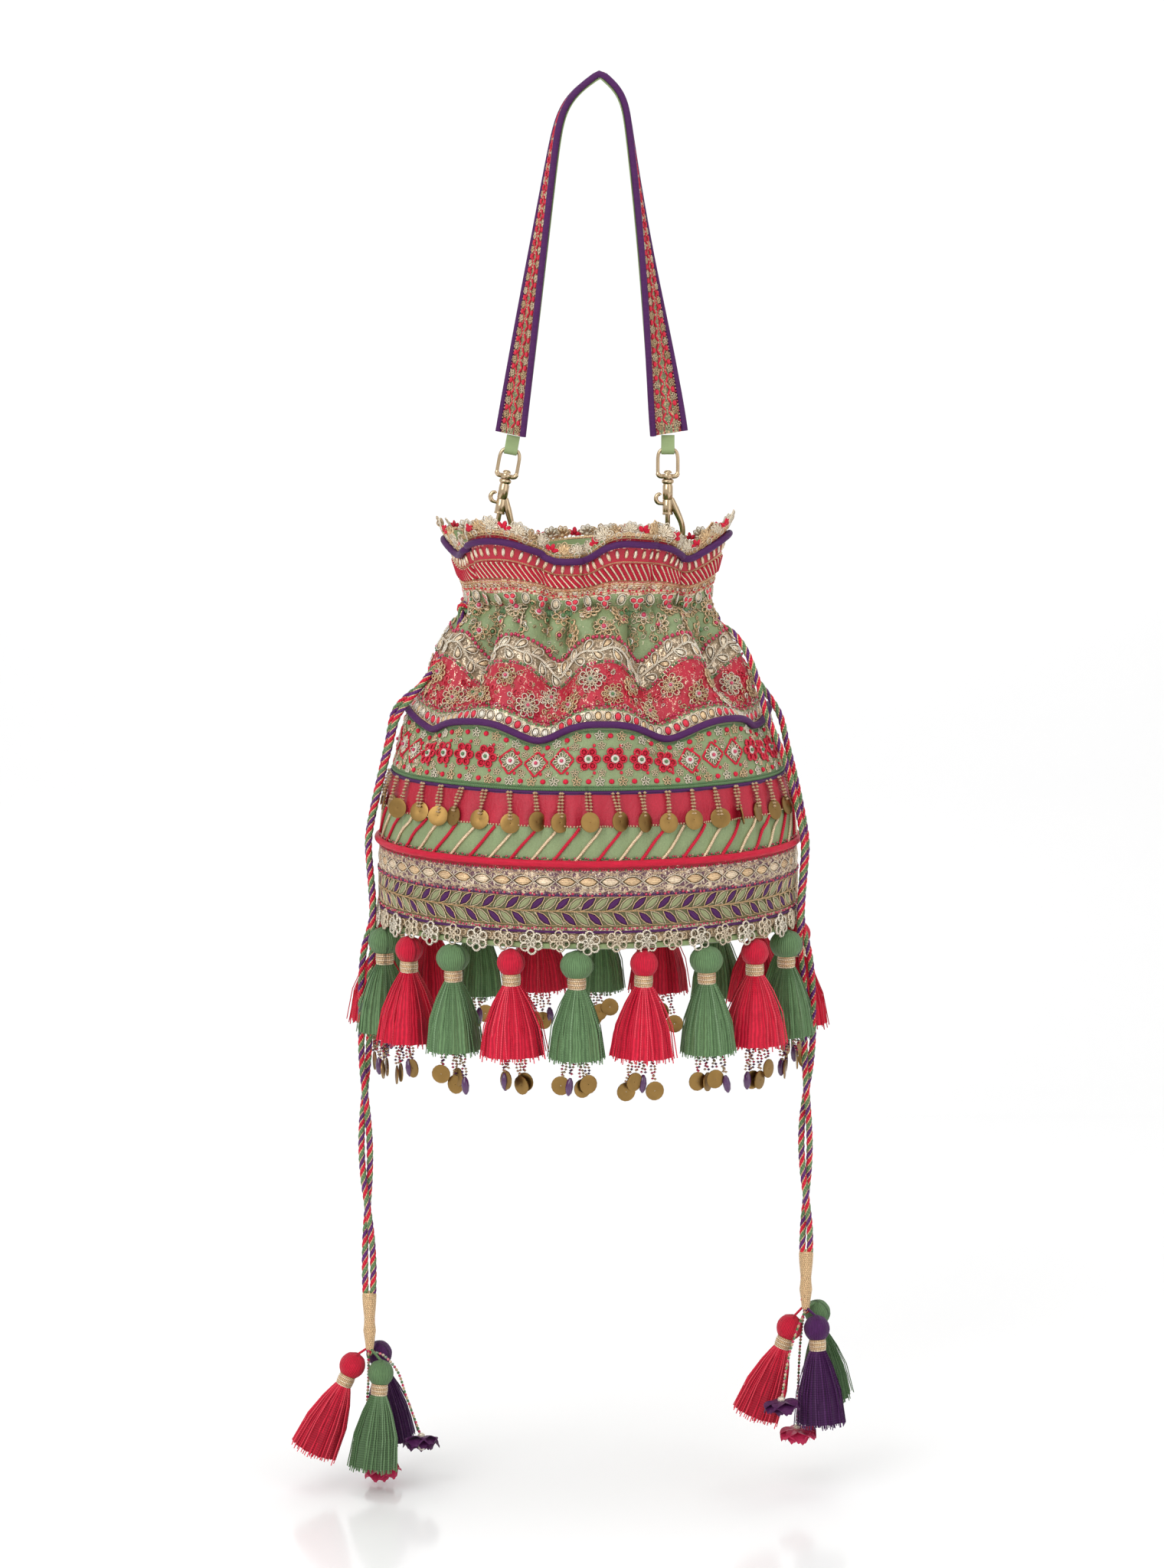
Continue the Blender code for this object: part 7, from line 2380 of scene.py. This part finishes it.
def colour_property(label, description, default):
    return bpy.props.FloatVectorProperty(
        name=label, description=description, default=default, subtype="COLOR", size=3, min=0, max=1
    )


class PotliColours(bpy.types.PropertyGroup):
    """Colours of silk, thread, beads and metal"""

    sage: colour_property("Sage satin", "Lining, tabs and the striped band", (0.29, 0.375, 0.175))
    pink: colour_property("Pink silk", "Ground of the pink bands", (0.7, 0.012, 0.048))
    purple: colour_property("Purple silk", "Pipings and purple threads", (0.075, 0.014, 0.095))
    gold: colour_property("Antique gold", "Coiled metal thread", (0.74, 0.52, 0.3))
    silver: colour_property("Silver", "Pale metal thread", (0.82, 0.75, 0.63))
    tassel_pink: colour_property("Pink thread", "Pink tassels and cord ply", (0.62, 0.012, 0.042))
    thread_green: colour_property("Green thread", "Green tassels and cord ply", (0.125, 0.225, 0.1))
    bead_pink: colour_property("Pink beads", "Pink glass beads", (0.55, 0.02, 0.09))
    brass: colour_property("Brass", "Coins", (0.36, 0.215, 0.07))
    clasp_gold: colour_property("Light gold", "Clasps and rings", (0.66, 0.5, 0.32))


class POTLI_OT_camera(bpy.types.Operator):
    """Set up the camera, the lights and the floor"""

    bl_idname = "potli.camera"
    bl_label = "Camera, lights and floor"

    def execute(self, context):
        build_camera()
        build_stage(context.scene.potli_sizes)
        return {"FINISHED"}


class POTLI_OT_cords(bpy.types.Operator):
    """Twist the drawcords and hang their tassels and flowers"""

    bl_idname = "potli.cords"
    bl_label = "Drawcords, tassels and flowers"

    def execute(self, context):
        strands = build_cords(context.scene.potli_sizes, context.scene.potli_colours)
        build_cluster("left", LEFT_BINDING_TOP, LEFT_TASSELS, LEFT_FLOWERS)
        build_cluster("right", RIGHT_BINDING_TOP, RIGHT_TASSELS, RIGHT_FLOWERS)
        return {"FINISHED"}


class POTLI_OT_cloth(bpy.types.Operator):
    """Shape the gathered cloth, its lining and its base"""

    bl_idname = "potli.cloth"
    bl_label = "Cloth, lining and base"

    def execute(self, context):
        build_cloth()
        build_pipings()
        return {"FINISHED"}


class POTLI_OT_hem_tassels(bpy.types.Operator):
    """Hang the tassels round the hem"""

    bl_idname = "potli.hem_tassels"
    bl_label = "Hem tassels"

    def execute(self, context):
        build_hem_tassels()
        return {"FINISHED"}


class POTLI_OT_strap(bpy.types.Operator):
    """Sew the strap"""

    bl_idname = "potli.strap"
    bl_label = "Strap"

    def execute(self, context):
        build_strap(context.scene.potli_colours)
        build_strap_embroidery()
        return {"FINISHED"}


class POTLI_OT_clasps(bpy.types.Operator):
    """Cast the two clasps and their rings"""

    bl_idname = "potli.clasps"
    bl_label = "Clasps"

    def execute(self, context):
        build_clasp("left", LEFT_CLASP)
        build_clasp("right", RIGHT_CLASP)
        return {"FINISHED"}


class POTLI_OT_upper_bands(bpy.types.Operator):
    """Sew the rim's lace and the bands down to the body piping"""

    bl_idname = "potli.upper_bands"
    bl_label = "Rim lace and upper bands"

    def execute(self, context):
        build_rim_lace()
        build_mouth_band()
        build_green_gathers()
        build_leaf_vine()
        build_pink_flowers()
        build_oval_border()
        return {"FINISHED"}


class POTLI_OT_lower_bands(bpy.types.Operator):
    """Sew the bands from the body piping down to the hem's lace"""

    bl_idname = "potli.lower_bands"
    bl_label = "Lower bands and hem lace"

    def execute(self, context):
        build_green_band()
        build_stripes()
        build_hem_borders()
        build_hem_lace()
        return {"FINISHED"}


class POTLI_OT_coins(bpy.types.Operator):
    """Hang the coins over the pink satin"""

    bl_idname = "potli.coins"
    bl_label = "Coins"

    def execute(self, context):
        build_coins()
        return {"FINISHED"}


STEPS = (
    POTLI_OT_camera,
    POTLI_OT_cords,
    POTLI_OT_cloth,
    POTLI_OT_upper_bands,
    POTLI_OT_lower_bands,
    POTLI_OT_coins,
    POTLI_OT_hem_tassels,
    POTLI_OT_strap,
    POTLI_OT_clasps,
)


class POTLI_PT_panel(bpy.types.Panel):
    """Lists the steps that dress the bag"""

    bl_idname = "POTLI_PT_panel"
    bl_label = "Potli bag"
    bl_space_type = "VIEW_3D"
    bl_region_type = "UI"
    bl_category = "Potli bag"

    def draw(self, context):
        for group in (context.scene.potli_sizes, context.scene.potli_colours):
            box = self.layout.box()
            for name in group.__annotations__:
                box.prop(group, name)
        for step in STEPS:
            self.layout.operator(step.bl_idname)


CLASSES = (PotliSizes, PotliColours, *STEPS, POTLI_PT_panel)


def register():
    for cls in CLASSES:
        bpy.utils.register_class(cls)
    bpy.types.Scene.potli_sizes = bpy.props.PointerProperty(type=PotliSizes)
    bpy.types.Scene.potli_colours = bpy.props.PointerProperty(type=PotliColours)


def unregister():
    del bpy.types.Scene.potli_colours
    del bpy.types.Scene.potli_sizes
    for cls in reversed(CLASSES):
        bpy.utils.unregister_class(cls)


def main():
    register()
    for step in STEPS:
        group, name = step.bl_idname.split(".")
        getattr(getattr(bpy.ops, group), name)()


if __name__ == "__main__":
    main()
